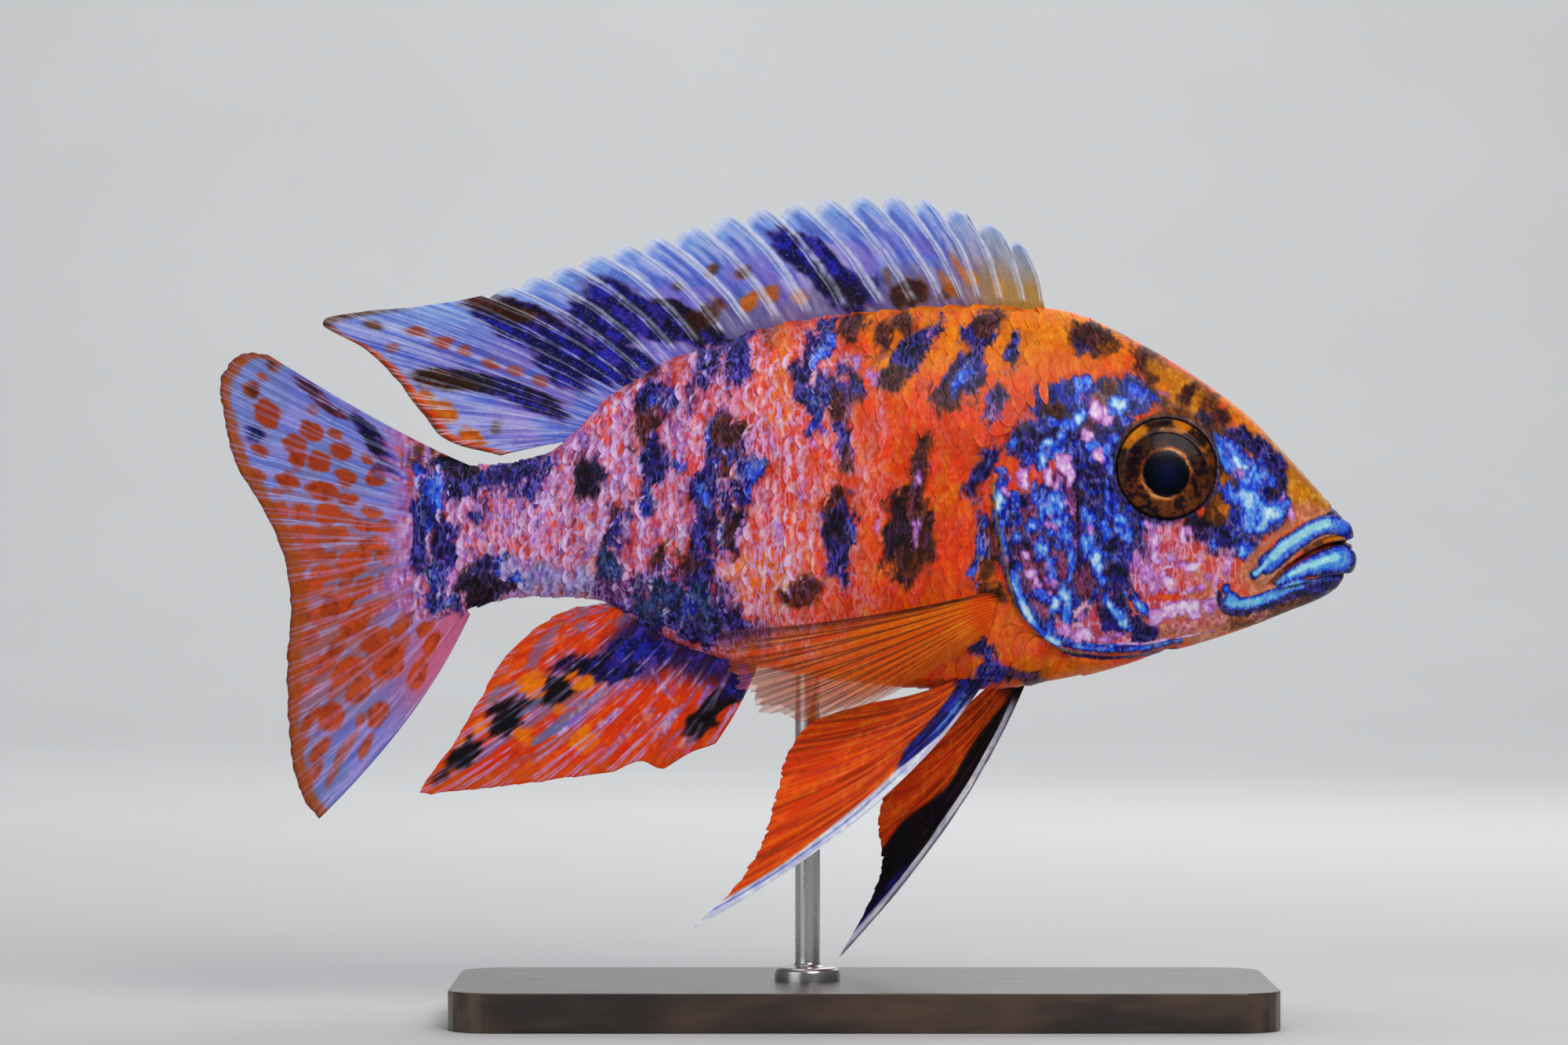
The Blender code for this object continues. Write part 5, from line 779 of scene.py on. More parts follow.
def hide_material(name, roughness=(0.34, 0.54), glints=0.75, bump=0.35):
    """Living skin or scale: painted colour, thin winding strokes, tiny bright cells where it glints, a thin wet coat."""
    m = Nodes(name)
    tint, glint, fleck = m.tint(), m.value("Glint"), m.value("Fleck")
    spark = m.add("ShaderNodeAttribute", attribute_name="Spark").outputs["Color"]
    place = m.place()
    worm = m.noise(m.place((1.0, 0.7, 0.30)), 1450.0, 1.5, 0.5)
    line = m.range(m.math("ABSOLUTE", m.math("SUBTRACT", worm, 0.5), 0.0), 0.070, 0.020)
    patchy = m.range(m.noise(m.place((1.0, 1.0, 0.5)), 520.0, 2.0, 0.5), 0.34, 0.60)
    strokes = m.math("MULTIPLY", m.math("MULTIPLY", line, patchy), m.math("MULTIPLY", fleck, 0.85))
    colour = m.mix(strokes, tint, spark)
    cells = m.cells(m.place((1.0, 0.8, 0.55)), 3400.0)
    random = m.add("ShaderNodeSeparateColor", {"Color": cells.outputs["Color"]}).outputs["Red"]
    amount = m.math("MULTIPLY", m.range(random, 0.60, 0.92), m.math("MULTIPLY", glint, glints * 0.50))
    colour = m.mix(amount, colour, spark)
    grain = m.noise(place, 1400.0, 4.0, 0.65)
    shade = m.range(grain, 0.3, 0.7, 0.82, 1.16)
    colour = m.mix(1.0, colour, m.add("ShaderNodeCombineColor", {"Red": shade, "Green": shade, "Blue": shade}).outputs["Color"], "MULTIPLY")
    m.link(colour, "Base Color")
    m.link(m.range(grain, 0.3, 0.7, *roughness), "Roughness")
    m.link(m.range(amount, 0.0, 1.0, 0.0, 0.30), "Metallic")
    height = m.math("ADD", m.math("MULTIPLY", cells.outputs["Distance"], 0.5), m.math("ADD", grain, m.math("MULTIPLY", strokes, 0.4)))
    m.link(m.bump(height, bump, 0.00010), "Normal")
    m.set(Coat_Weight=0.05, Coat_Roughness=0.14, Specular_IOR_Level=0.14)
    return m.material


def fin_material(name, alpha=False):
    """Fin membrane: painted colour, crisp branching rays drawn from each point's place between them, fine fibres."""
    m = Nodes(name)
    tint, glint = m.tint(), m.value("Glint")
    spark = m.add("ShaderNodeAttribute", attribute_name="Spark").outputs["Color"]
    ray, out, streak, lap = (m.value(key) for key in ("Ray", "Out", "Streak", "Lap"))
    place = m.place()
    bent = m.math("ADD", ray, m.range(m.noise(place, 260.0, 2.0, 0.5), 0.0, 1.0, -0.10, 0.10))
    apart = m.math("PINGPONG", bent, 0.5)
    apart = m.math("ABSOLUTE", m.math("SUBTRACT", apart, m.range(out, 0.22, 0.80, 0.0, 0.20)), 0.0)
    apart = m.math("ABSOLUTE", m.math("SUBTRACT", apart, m.range(out, 0.58, 1.0, 0.0, 0.085)), 0.0)
    wide = m.range(out, 0.0, 1.0, 0.085, 0.042)
    line = m.range(m.math("DIVIDE", apart, wide), 1.3, 0.4)
    second = m.math("MULTIPLY", m.range(m.math("ABSOLUTE", m.math("SUBTRACT", m.math("FRACT", bent, 0.0), 0.17), 0.0), 0.055, 0.018), m.math("MULTIPLY", lap, 0.75))
    broken = m.range(m.noise(place, 900.0, 2.0, 0.5), 0.30, 0.62, 0.45, 1.0)
    lines = m.math("MULTIPLY", m.math("MULTIPLY", m.math("MAXIMUM", line, second), broken), streak)
    colour = m.mix(lines, tint, spark)
    along_ray = m.add("ShaderNodeCombineXYZ", {"X": m.math("MULTIPLY", ray, 9.0), "Y": m.math("MULTIPLY", out, 5.0), "Z": 0.0}).outputs["Vector"]
    fibres = m.noise(along_ray, 1.0, 3.0, 0.65)
    grain = m.noise(place, 1700.0, 4.0, 0.65)
    shade = m.math("MULTIPLY", m.range(fibres, 0.3, 0.7, 0.80, 1.20), m.range(grain, 0.3, 0.7, 0.90, 1.10))
    colour = m.mix(1.0, colour, m.add("ShaderNodeCombineColor", {"Red": shade, "Green": shade, "Blue": shade}).outputs["Color"], "MULTIPLY")
    sparkle = m.range(m.noise(place, 2600.0, 2.0, 0.5), 0.58, 0.72)
    colour = m.mix(m.math("MULTIPLY", sparkle, m.math("MULTIPLY", glint, 0.45)), colour, spark)
    m.link(colour, "Base Color")
    m.link(m.range(grain, 0.3, 0.7, 0.40, 0.58), "Roughness")
    height = m.math("ADD", m.math("MULTIPLY", lines, 0.8), m.math("ADD", m.math("MULTIPLY", fibres, 0.5), m.math("MULTIPLY", grain, 0.25)))
    m.link(m.bump(height, 0.35, 0.00010), "Normal")
    m.set(Coat_Weight=0.02, Coat_Roughness=0.25, Specular_IOR_Level=0.12)
    if alpha:
        m.link(m.value("Clear"), "Alpha")
    return m.material


def eye_material(name):
    m = Nodes(name)
    tint = m.tint()
    place = m.place()
    grain = m.noise(place, 1500.0, 3.0, 0.6)
    shade = m.range(grain, 0.3, 0.7, 0.85, 1.15)
    m.link(m.mix(1.0, tint, m.add("ShaderNodeCombineColor", {"Red": shade, "Green": shade, "Blue": shade}).outputs["Color"], "MULTIPLY"), "Base Color")
    m.link(m.range(grain, 0.3, 0.7, 0.16, 0.26), "Roughness")
    m.set(Coat_Weight=0.05, Coat_Roughness=0.03, Coat_IOR=1.3, Specular_IOR_Level=0.09)
    return m.material


def wood_material(name):
    m = Nodes(name)
    place = m.place((1.0, 9.0, 9.0))
    bend = m.noise(m.place((1.0, 3.0, 3.0)), 22.0, 3.0, 0.5)
    waves = m.add("ShaderNodeTexWave", {"Vector": m.place((0.22, 1.0, 1.0)), "Scale": 120.0, "Distortion": 7.0, "Detail": 3.0, "Detail Scale": 1.4},
                  wave_type="BANDS", bands_direction="Y").outputs["Fac"]
    fibre = m.noise(place, 130.0, 5.0, 0.7)
    grain = m.math("ADD", m.math("MULTIPLY", waves, 0.5), m.math("ADD", m.math("MULTIPLY", fibre, 0.6), m.math("MULTIPLY", bend, 0.3)))
    ramp = m.range(grain, 0.45, 1.05)
    m.link(m.mix(ramp, (0.016, 0.008, 0.005, 1), (0.085, 0.042, 0.022, 1)), "Base Color")
    m.link(m.range(fibre, 0.3, 0.7, 0.28, 0.42), "Roughness")
    m.link(m.bump(fibre, 0.2, 0.00008), "Normal")
    m.set(Coat_Weight=0.3, Coat_Roughness=0.15)
    return m.material


def steel_material(name):
    m = Nodes(name)
    streaks = m.noise(m.place((1.0, 1.0, 16.0)), 500.0, 3.0, 0.6)
    m.link(m.mix(streaks, (0.40, 0.40, 0.41, 1), (0.62, 0.61, 0.60, 1)), "Base Color")
    m.link(m.range(streaks, 0.3, 0.7, 0.18, 0.34), "Roughness")
    m.link(m.bump(streaks, 0.15, 0.00003), "Normal")
    m.set(Metallic=1.0)
    return m.material


def plain_material(name, rgb, roughness):
    m = Nodes(name)
    grain = m.noise(m.place(), 12.0, 2.0, 0.5)
    m.link(m.mix(m.range(grain, 0.3, 0.7, 0.0, 1.0), (*[0.97 * c for c in rgb], 1.0), (*rgb, 1.0)), "Base Color")
    m.set(Roughness=roughness)
    return m.material


skin_look = hide_material("cichlid_skin")
scale_look = hide_material("cichlid_scale", (0.32, 0.50), 0.75, 0.25)
fin_look = fin_material("cichlid_fin")
clear_fin_look = fin_material("cichlid_clear_fin", alpha=True)
eye_look = eye_material("cichlid_eye")
wood_look = wood_material("stand_wood")
steel_look = steel_material("stand_steel")


def dress(thing, look, slot, *nodes):
    thing.data.materials.append(look)
    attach(thing, "root")
    if nodes:
        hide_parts(*nodes)
    return thing


# ------------------------------------------------------------------ skin

fine = 1.0
xs = np.concatenate([
    np.linspace(-57.6, -56.2, 8, endpoint=False),
    np.arange(-56.2, 14.0, 0.34 * fine),
    np.arange(14.0, 57.0, 0.19 * fine),
    np.linspace(57.0, 61.4, int(34 / fine), endpoint=False),
])
TURNS = int(560 / fine)
angles = -math.pi / 2 + 2 * math.pi * np.arange(TURNS) / TURNS
cap = np.linspace(0.0, math.pi / 2, int(34 / fine))[:-1]


def skin_ground():
    """The flesh's surface as a grid of rings, closed at the nose, before its folds."""
    grid = body_point(xs[:, None], angles[None, :])
    end = np.sqrt(np.clip((xs + 57.7) / 2.6, 0.02, 1.0))  # thins out inside the tail fin's root
    grid[:, :, 1] *= np.where(xs < -55.1, end, 1.0)[:, None]
    last = body_point(np.full(TURNS, 61.4), angles)
    rings = []
    for phi in cap:
        ring = last.copy()
        ring[:, 0] = 61.4 + (SNOUT_TIP[0] - 61.4) * math.sin(phi)
        ring[:, 1] *= math.cos(phi)
        ring[:, 2] = SNOUT_TIP[1] + (ring[:, 2] - SNOUT_TIP[1]) * math.cos(phi)
        rings.append(ring)
    return np.concatenate([grid, np.array(rings)])


def eye_axes(side):
    out = np.array([EYE_TURN[0], side * EYE_TURN[1], EYE_TURN[2]])
    out /= np.linalg.norm(out)
    across = np.cross(out, (0, 0, 1.0))
    across /= np.linalg.norm(across)
    up = np.cross(across, out)
    centre = np.array([EYE_X, side * float(surface_y(EYE_X, EYE_Z)), EYE_Z]) - out * EYE_SINK
    return centre, out, across, up


def fold(grid, normals):
    """How far each skin point stands out from the plain body: lips, slit, gill cover, rims and pits."""
    X, Z = grid[..., 0], grid[..., 2]
    rise = np.zeros(X.shape)
    front = X > 12
    x, z = X[front], Z[front]
    d = np.zeros(x.shape)
    # lips: two rolls either side of the slit
    gap, where = distance_to_path(x, z, smooth_path(LIP_BAND))
    wide = 1.15 - 0.25 * where
    d += 0.55 * (1 - 0.30 * where) * (0.65 + 0.35 * step(61.0, 58.0, x)) * np.sqrt(np.clip(1 - (gap / wide) ** 2, 0, 1)) * step(47.5, 50.5, x)
    gap, where = distance_to_path(x, z, smooth_path(LOWER_LIP))
    wide = 1.55 - 0.95 * where
    d += (0.68 - 0.34 * where) * np.sqrt(np.clip(1 - (gap / wide) ** 2, 0, 1))
    gap, _ = distance_to_path(x, z, smooth_path(((60.8, 64.7), (57.0, 63.4), (53.4, 61.2), (50.0, 58.8), (47.6, 56.4))))
    d += 0.22 * np.exp(-(gap / 0.45) ** 2) * step(59.5, 57.0, x) - 0.20 * np.exp(-((gap - 0.9) / 0.35) ** 2) * step(46, 50, x)
    gap, _ = distance_to_path(x, z, smooth_path(((62.4, 56.8), (58.6, 56.4), (55.0, 55.3), (51.4, 54.0))))
    d -= 0.35 * np.exp(-(gap / 0.25) ** 2)
    gap, _ = distance_to_path(x, z, smooth_path(JAW_BAND))
    d += 0.22 * np.exp(-(gap / 0.7) ** 2)
    gap, _ = distance_to_path(x, z, smooth_path(MOUTH_SLIT))
    d -= 1.25 * np.exp(-(gap / 0.26) ** 2)
    # corner of the mouth
    d -= 0.35 * np.exp(-(np.hypot(x - 50.6, z - 54.9) / 0.8) ** 2)
    # nostril
    r = np.hypot(x - 51.3, z - 67.1)
    d += 0.22 * np.exp(-((r - 0.75) / 0.28) ** 2) - 0.8 * np.exp(-(r / 0.42) ** 2)
    # gill cover: its rear edge lies over the breast, with a groove behind
    path = smooth_path(GILL_REAR[2:9])
    gap, where = distance_to_path(x, z, path)
    edge = along([(pz, px) for px, pz in sorted(GILL_REAR, key=lambda p: p[1])], z)
    side = np.sign(x - edge)
    fade = step(77.5, 74.0, z) * step(44.0, 46.5, z)
    d += fade * np.where(side > 0, 0.42 * np.exp(-gap / 3.4), -0.30 * np.exp(-(gap / 0.7) ** 2))
    # preopercle groove, cheek and bones before the eye
    gap, _ = distance_to_path(x, z, smooth_path(PREOPERCLE))
    d -= 0.28 * np.exp(-(gap / 0.42) ** 2)
    d += 0.20 * np.exp(-((gap - 1.6) / 1.2) ** 2) * step(29.5, 26.5, x)
    gap, _ = distance_to_path(x, z, smooth_path(((30.6, 56.0), (30.5, 52.6), (32.6, 50.1), (36.4, 48.9), (40.5, 49.2))))
    d -= 0.22 * np.exp(-(gap / 0.35) ** 2)
    gap, _ = distance_to_path(x, z, smooth_path(((24.4, 46.6), (30.0, 46.2), (36.0, 46.2), (45.5, 47.7))))
    d -= 0.25 * np.exp(-(gap / 0.35) ** 2)
    d += 0.35 * np.exp(-((x - 39.0) / 5.0) ** 2 - ((z - 56.5) / 4.0) ** 2)
    gap, _ = distance_to_path(x, z, smooth_path(((46.8, 60.6), (50.6, 62.4), (54.6, 64.6), (58.4, 66.4))))
    d -= 0.14 * np.exp(-(gap / 0.5) ** 2)
    # rims of the eye
    r = np.hypot(x - EYE_X, z - EYE_Z)
    d += 0.30 * np.exp(-((r - 6.85) / 0.42) ** 2)
    rise[front] = d
    return rise


ground = skin_ground()
ground_normals = normals_of(ground, True)
outward = np.sign((ground_normals[..., 1] * ground[..., 1]).sum())
ground_normals *= outward
X0, Z0 = ground[..., 0], ground[..., 2]
scaled_zone = 1 - head_share(X0, Z0 + 0 * X0)
relief = fold(ground, ground_normals)
skin_points = ground + ground_normals * (relief - 0.25 * scaled_zone)[..., None]
relief_noise = (layered(ground, (0.7, 0.7, 1.0), 201, 3) - 0.5)
skin_points += ground_normals * (0.07 * relief_noise * step(12, 18, X0))[..., None]
for side in (-1, 1):  # bowl that holds the eye
    centre, out, across, up = eye_axes(side)
    away = skin_points - centre
    r = np.hypot(away @ across, away @ up)
    near = (r < 6.5) & (ground[..., 1] * side > 0) & (np.abs(X0 - EYE_X) < 9)
    deep = 2.6 * np.sqrt(np.clip(1 - (r / 6.5) ** 2, 0, 1)) ** 0.7 * near
    height = away @ out
    skin_points = np.where(near[..., None], skin_points - out * (height * step(6.5, 6.2, r) + deep)[..., None], skin_points)

bent = skin_points.copy()
bent[..., 1] += sway(bent[..., 0])
rows, columns = bent.shape[:2]
look = markings(bent)
tip = bent[-1].mean(axis=0)
tip[0] = max(tip[0], bent[-1, :, 0].max())
tail_tip = bent[0].mean(axis=0)
points = np.concatenate([bent.reshape(-1, 3), [tail_tip, tip]])
quads = grid_quads(rows, columns, wrap=True)
k = np.arange(columns)
m = (k + 1) % columns
first, last = rows * columns, rows * columns + 1
ends = np.concatenate([
    np.stack([k, np.full(columns, first), m], axis=1),
    np.stack([(rows - 1) * columns + m, np.full(columns, last), (rows - 1) * columns + k], axis=1),
])
run = np.concatenate([[0], np.cumsum(np.hypot(*(np.diff(ground[:, 0, :], axis=0)[:, [0, 2]].T)))])
run = 0.01 + 0.98 * run / run[-1]


def skin_uv(x, angle):
    """Place on the skin's own unwrap: along the body, and round it from the belly."""
    u = np.interp(x, ground[: len(xs), 0, 0], run[: len(xs)])
    return u, ((angle + math.pi / 2) % (2 * math.pi)) / (2 * math.pi)


i, j = np.meshgrid(np.arange(rows - 1), np.arange(columns), indexing="ij")
corner = np.stack([
    np.stack([run[i], j / columns], -1), np.stack([run[i], (j + 1) / columns], -1),
    np.stack([run[i + 1], (j + 1) / columns], -1), np.stack([run[i + 1], j / columns], -1)], axis=2).reshape(-1, 2)
low, high = np.full(columns, run[0]), np.full(columns, run[-1])
end_uv = np.concatenate([
    np.stack([np.stack([low, k / columns], -1), np.stack([low - 0.009, (k + 0.5) / columns], -1), np.stack([low, (k + 1) / columns], -1)], axis=1),
    np.stack([np.stack([high, (k + 1) / columns], -1), np.stack([high + 0.009, (k + 0.5) / columns], -1), np.stack([high, k / columns], -1)], axis=1),
]).reshape(-1, 2)
skin_floats = {}
for key in ("Tint", "Spark"):
    value = look[key]
    skin_floats[key] = np.concatenate([value.reshape(-1, 3), value[0].mean(axis=0)[None], value[-1].mean(axis=0)[None]])
all_colour = skin_floats.pop("Tint")
skin_floats["Glint"] = np.concatenate([look["Glint"].ravel(), [0.1, 0.3]])
skin_floats["Fleck"] = np.concatenate([look["Fleck"].ravel(), [0.1, 0.1]])
if outward < 0:
    quads, ends = quads[:, ::-1], ends[:, ::-1]
    corner = corner.reshape(-1, 4, 2)[:, ::-1].reshape(-1, 2)
    end_uv = end_uv.reshape(-1, 3, 2)[:, ::-1].reshape(-1, 2)
skin = new_piece("skin", points, [quads, ends], [corner, end_uv], all_colour, skin_floats)
dress(skin, skin_look, "body_skin", "head", "upper_lip", "lower_jaw", "gill_cover_right", "gill_cover_left", "trunk", "tail_stalk")

# ------------------------------------------------------------------ scales


def lay_scales():
    """Thin plates in staggered columns, each rooted in front and lifting towards the tail."""
    columns_x, x = [], 36.0
    while x > -55.4:
        columns_x.append(x)
        x -= 1.70 * (0.78 + 0.22 * float(step(-46, -24, x))) * (0.72 + 0.28 * float(step(30, 20, x)))
    turns = np.linspace(-math.pi, math.pi, 1441)
    roots = []
    for c, x in enumerate(columns_x):
        ring = body_point(np.full(turns.shape, x), turns)
        lengths = np.concatenate([[0], np.cumsum(np.linalg.norm(np.diff(ring, axis=0), axis=1))])
        pitch = 3.0 * (0.70 + 0.30 * float(step(-46, -24, x))) * (0.75 + 0.25 * float(step(30, 20, x)))
        for side in (-1, 1):
            middle = 0.0 if side > 0 else math.pi
            mid_run = np.interp(0.0, turns, lengths) if side > 0 else lengths[-1]
            for k in range(-14, 15):
                s = (k + (0.5 if c % 2 else 0.0)) * pitch * (1 - 0.004 * abs(k))
                if x < -51.5 and float(hashed(np.array(c), np.array(k + 40), np.array(side + 5), 77)) * 5.0 < -51.5 - x:
                    continue  # the plates thin out over the tail fin's root
                if side > 0:
                    angle = np.interp(mid_run + s, lengths, turns)
                    if not (-math.pi / 2 + 0.02 < angle < math.pi / 2 - 0.02):
                        continue
                    if mid_run + s > lengths[-1] or mid_run + s < 0:
                        continue
                else:
                    angle = np.interp((lengths[-1] - s) if s > 0 else -s, lengths, turns)
                    if s > lengths[-1] / 2 or -s > lengths[-1] / 2:
                        continue
                    if -math.pi / 2 - 0.02 < angle < math.pi / 2 + 0.02:
                        continue
                roots.append((x, angle, pitch, side, c, k))
    return roots, columns_x


SCALE_A, SCALE_B = ((11, 9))


def scale_grid():
    a = np.linspace(-1, 1, SCALE_A)
    b = np.array((0, 0.22, 0.42, 0.58, 0.70, 0.80, 0.88, 0.95, 1.0) if SCALE_B == 9 else (0, 0.3, 0.55, 0.72, 0.85, 0.94, 1.0))
    return np.meshgrid(a, b, indexing="ij")


def arc_speed(x, angle, h=0.01):
    return np.linalg.norm(body_point(x, angle + h) - body_point(x, angle - h), axis=-1) / (2 * h)


def surface_frame(x, angle):
    """Point, outward normal on the plain body surface."""
    p = body_point(x, angle)
    du = body_point(x + 0.05, angle) - body_point(x - 0.05, angle)
    dv = body_point(x, angle + 0.004) - body_point(x, angle - 0.004)
    n = np.cross(dv, du)
    n /= np.linalg.norm(n, axis=-1, keepdims=True) + 1e-12
    middle = np.stack([p[..., 0], 0 * p[..., 1], section_at(p[..., 0])[5]], axis=-1)
    flip = np.sign(((p - middle) * n).sum(-1, keepdims=True))
    return p, n * np.where(flip == 0, 1, flip)


roots, columns_x = lay_scales()
root = np.array(roots, float)
root_point = body_point(root[:, 0], root[:, 1])
rx, rz = root_point[:, 0], root_point[:, 2]
edge = along([(z, x) for x, z in sorted(GILL_REAR, key=lambda p: p[1])], rz)
nape_limit = np.where(rz > 74.0, np.interp(rz, (74, 78, 84, 92), (19.0, 21.5, 33.0, 36.0)), edge - 0.5)
breast_limit = np.where(rz < 50.0, 24.0 + 0 * rz, 99.0)
keep = (rx < nape_limit) & (rx < breast_limit) & (rx > -55.0)
keep &= ~((rz > along(STATIONS, rx, 1) - 0.5) & (rx < 24.5) & (rx > -39.0))
root, root_point = root[keep], root_point[keep]
N = len(root)
A, B = scale_grid()
ids = np.arange(N)
chance = [hashed(ids, ids * 7 + 3, ids * 0 + 5, 900 + q) for q in range(8)]
pitch_x = 1.70 * (0.78 + 0.22 * step(-46, -24, root[:, 0])) * (0.72 + 0.28 * step(30, 20, root[:, 0]))
length = 2.0 * pitch_x * (0.94 + 0.12 * chance[0])
width = 0.60 * root[:, 2] * (0.95 + 0.10 * chance[1])
a, b = A[None], B[None]
along_x = -(length[:, None, None] * (b * (1 - 0.30 * a**2 * b) - 0.12))
across = width[:, None, None] * a * (0.72 + 0.42 * np.sin(math.pi * np.clip(b, 0, 1) ** 0.8 * 0.62))
lean = 0.10 * (chance[2][:, None, None] - 0.5)
speed = arc_speed(root[:, 0], root[:, 1])
turn_sign = np.where(np.cos(root[:, 1]) >= 0, 1.0, -1.0)
angle = root[:, 1][:, None, None] + turn_sign[:, None, None] * (across + lean * along_x) / speed[:, None, None]
xx = root[:, 0][:, None, None] + along_x
surface, normal = surface_frame(xx, angle)
lift = -0.17 + (0.25 + 0.07 * chance[3][:, None, None]) * b - 0.06 * a**2
top_points = surface + normal * lift[..., None]
low_points = surface + normal * (lift - 0.05)[..., None]
top_points[..., 1] += sway(top_points[..., 0])
low_points[..., 1] += sway(low_points[..., 0])

ring_index = ([(i, 0) for i in range(SCALE_A)] + [(SCALE_A - 1, j) for j in range(1, SCALE_B)]
              + [(i, SCALE_B - 1) for i in range(SCALE_A - 2, -1, -1)] + [(0, j) for j in range(SCALE_B - 2, 0, -1)])
ring_a, ring_b = np.array(ring_index).T
top_count, ring_count = SCALE_A * SCALE_B, len(ring_index)
each = top_count + ring_count + 1
quad_top = grid_quads(SCALE_A, SCALE_B)
q = np.arange(ring_count)
ring_top = ring_a * SCALE_B + ring_b
quad_side = np.stack([ring_top[q], top_count + q, top_count + (q + 1) % ring_count, ring_top[(q + 1) % ring_count]], axis=1)
tri_low = np.stack([top_count + q, np.full(ring_count, top_count + ring_count), top_count + (q + 1) % ring_count], axis=1)


def scale_colours():
    """The body's markings on the plates, each a little off its place, with a pale rear rim where the body is pink."""
    nudge = np.stack([0.9 * (chance[5] - 0.5), 1.0 * (chance[6] - 0.5)], axis=-1)[:, None, None, :] * np.ones(A.shape + (1,))
    look = markings(top_points, head=False, shift=nudge)
    base, pink, spark = look["Tint"], look["pink"], look["Spark"]
    c = lambda n: chance[n][:, None, None]
    rim = step(0.70, 0.84, b + 0.10 * a**2) * step(1.06, 0.98, b + 0.10 * a**2)
    broken = step(0.40, 0.60, layered(top_points, (0.5, 0.5, 0.8), 951, 2))
    dark = base.mean(-1) < 0.25
    k = (pink * rim * broken * np.clip(1.5 * c(4) - 0.35, 0, 0.85) * ~dark)[..., None]
    base = base * (1 - k) + np.array((236, 204, 252)) / 255.0 * k
    core = np.exp(-((b - 0.55) / 0.16) ** 2) * np.exp(-(a / 0.6) ** 2)
    k = (pink * core * step(0.45, 0.9, c(7)) * 0.6 * ~dark)[..., None]
    base = base * (1 - k) + np.array((226, 60, 30)) / 255.0 * k
    # a random tone for each plate, painted shade over its front half where the plate ahead lies over it, and a touch
    # lighter at its lifted rear edge
    shade = 1 + 0.14 * (c(6) - 0.5) - 0.12 * step(0.50, 0.25, b) + 0.05 * step(0.8, 0.95, b)
    glint = np.clip(look["Glint"] + 0.3 * pink * rim, 0, 1)
    return {"Tint": np.clip(base * shade[..., None], 0, 1), "Spark": spark, "Glint": glint, "Fleck": look["Fleck"]}


top_look = scale_colours()
rim_flag = np.zeros(each, bool)
rim_flag[ring_top] = True
side_right = root[:, 3] < 0
pieces = {
    "scales_right_front": side_right & (root[:, 0] >= -8), "scales_right_rear": side_right & (root[:, 0] < -8),
    "scales_left_front": ~side_right & (root[:, 0] >= -8), "scales_left_rear": ~side_right & (root[:, 0] < -8),
}
root_u, root_v = skin_uv(root[:, 0], root[:, 1])
for name, chosen in pieces.items():
    pick = np.flatnonzero(chosen)
    n = len(pick)
    tops = top_points[pick].reshape(n, top_count, 3)
    rings = low_points[pick][:, ring_a, ring_b]
    middles = rings.mean(axis=1, keepdims=True)
    points = np.concatenate([tops, rings, middles], axis=1).reshape(-1, 3)
    layers = {}
    for key, value in top_look.items():
        value = value[pick]
        deep = value.shape[3:]
        layers[key] = np.concatenate([value.reshape((n, top_count) + deep), value[:, ring_a, ring_b],
                                      value.reshape((n, top_count) + deep).mean(axis=1, keepdims=True)], axis=1).reshape((-1,) + deep)
    tint = layers.pop("Tint")
    base_index = (np.arange(n) * each)[:, None, None]
    quads = (np.concatenate([quad_top, quad_side])[None] + base_index).reshape(-1, 4)
    tris = (tri_low[None] + base_index).reshape(-1, 3)
    local = np.zeros((each, 2))
    local[:top_count, 0] = B.ravel() - 0.5
    local[:top_count, 1] = A.ravel() / 2
    local[top_count:top_count + ring_count] = local[ring_top] * 1.12
    local[-1] = (0, 0)
    uv = local[None] * 0.0027 + np.stack([root_u[pick], root_v[pick]], axis=-1)[:, None]
    uv = uv.reshape(-1, 2)
    # each plate is wound outwards: the order is turned where the sheet's own normal points in
    edge_u = top_points[pick][:, -1, 0] - top_points[pick][:, 0, 0]
    edge_v = top_points[pick][:, 0, -1] - top_points[pick][:, 0, 0]
    facing = np.einsum("ij,ij->i", np.cross(edge_v, edge_u), normal[pick][:, SCALE_A // 2, SCALE_B // 2])
    wrong = facing < 0
    q_each, t_each = len(quad_top) + len(quad_side), len(tri_low)
    quads = quads.reshape(n, q_each, 4)
    tris = tris.reshape(n, t_each, 3)
    quads[wrong] = quads[wrong][..., ::-1]
    tris[wrong] = tris[wrong][..., ::-1]
    quads, tris = quads.reshape(-1, 4), tris.reshape(-1, 3)
    piece = new_piece(name, points, [quads, tris], [uv[quads.ravel()], uv[tris.ravel()]], tint, layers)
    pairs = np.empty(2 * len(piece.data.edges), np.int32)
    piece.data.edges.foreach_get("vertices", pairs)
    crease = rim_flag[pairs.reshape(-1, 2) % each].all(axis=1)
    piece.data.attributes.new("sharp_edge", "BOOLEAN", "EDGE").data.foreach_set("value", crease)
    dress(piece, scale_look, "body_skin")

# ------------------------------------------------------------------ fins


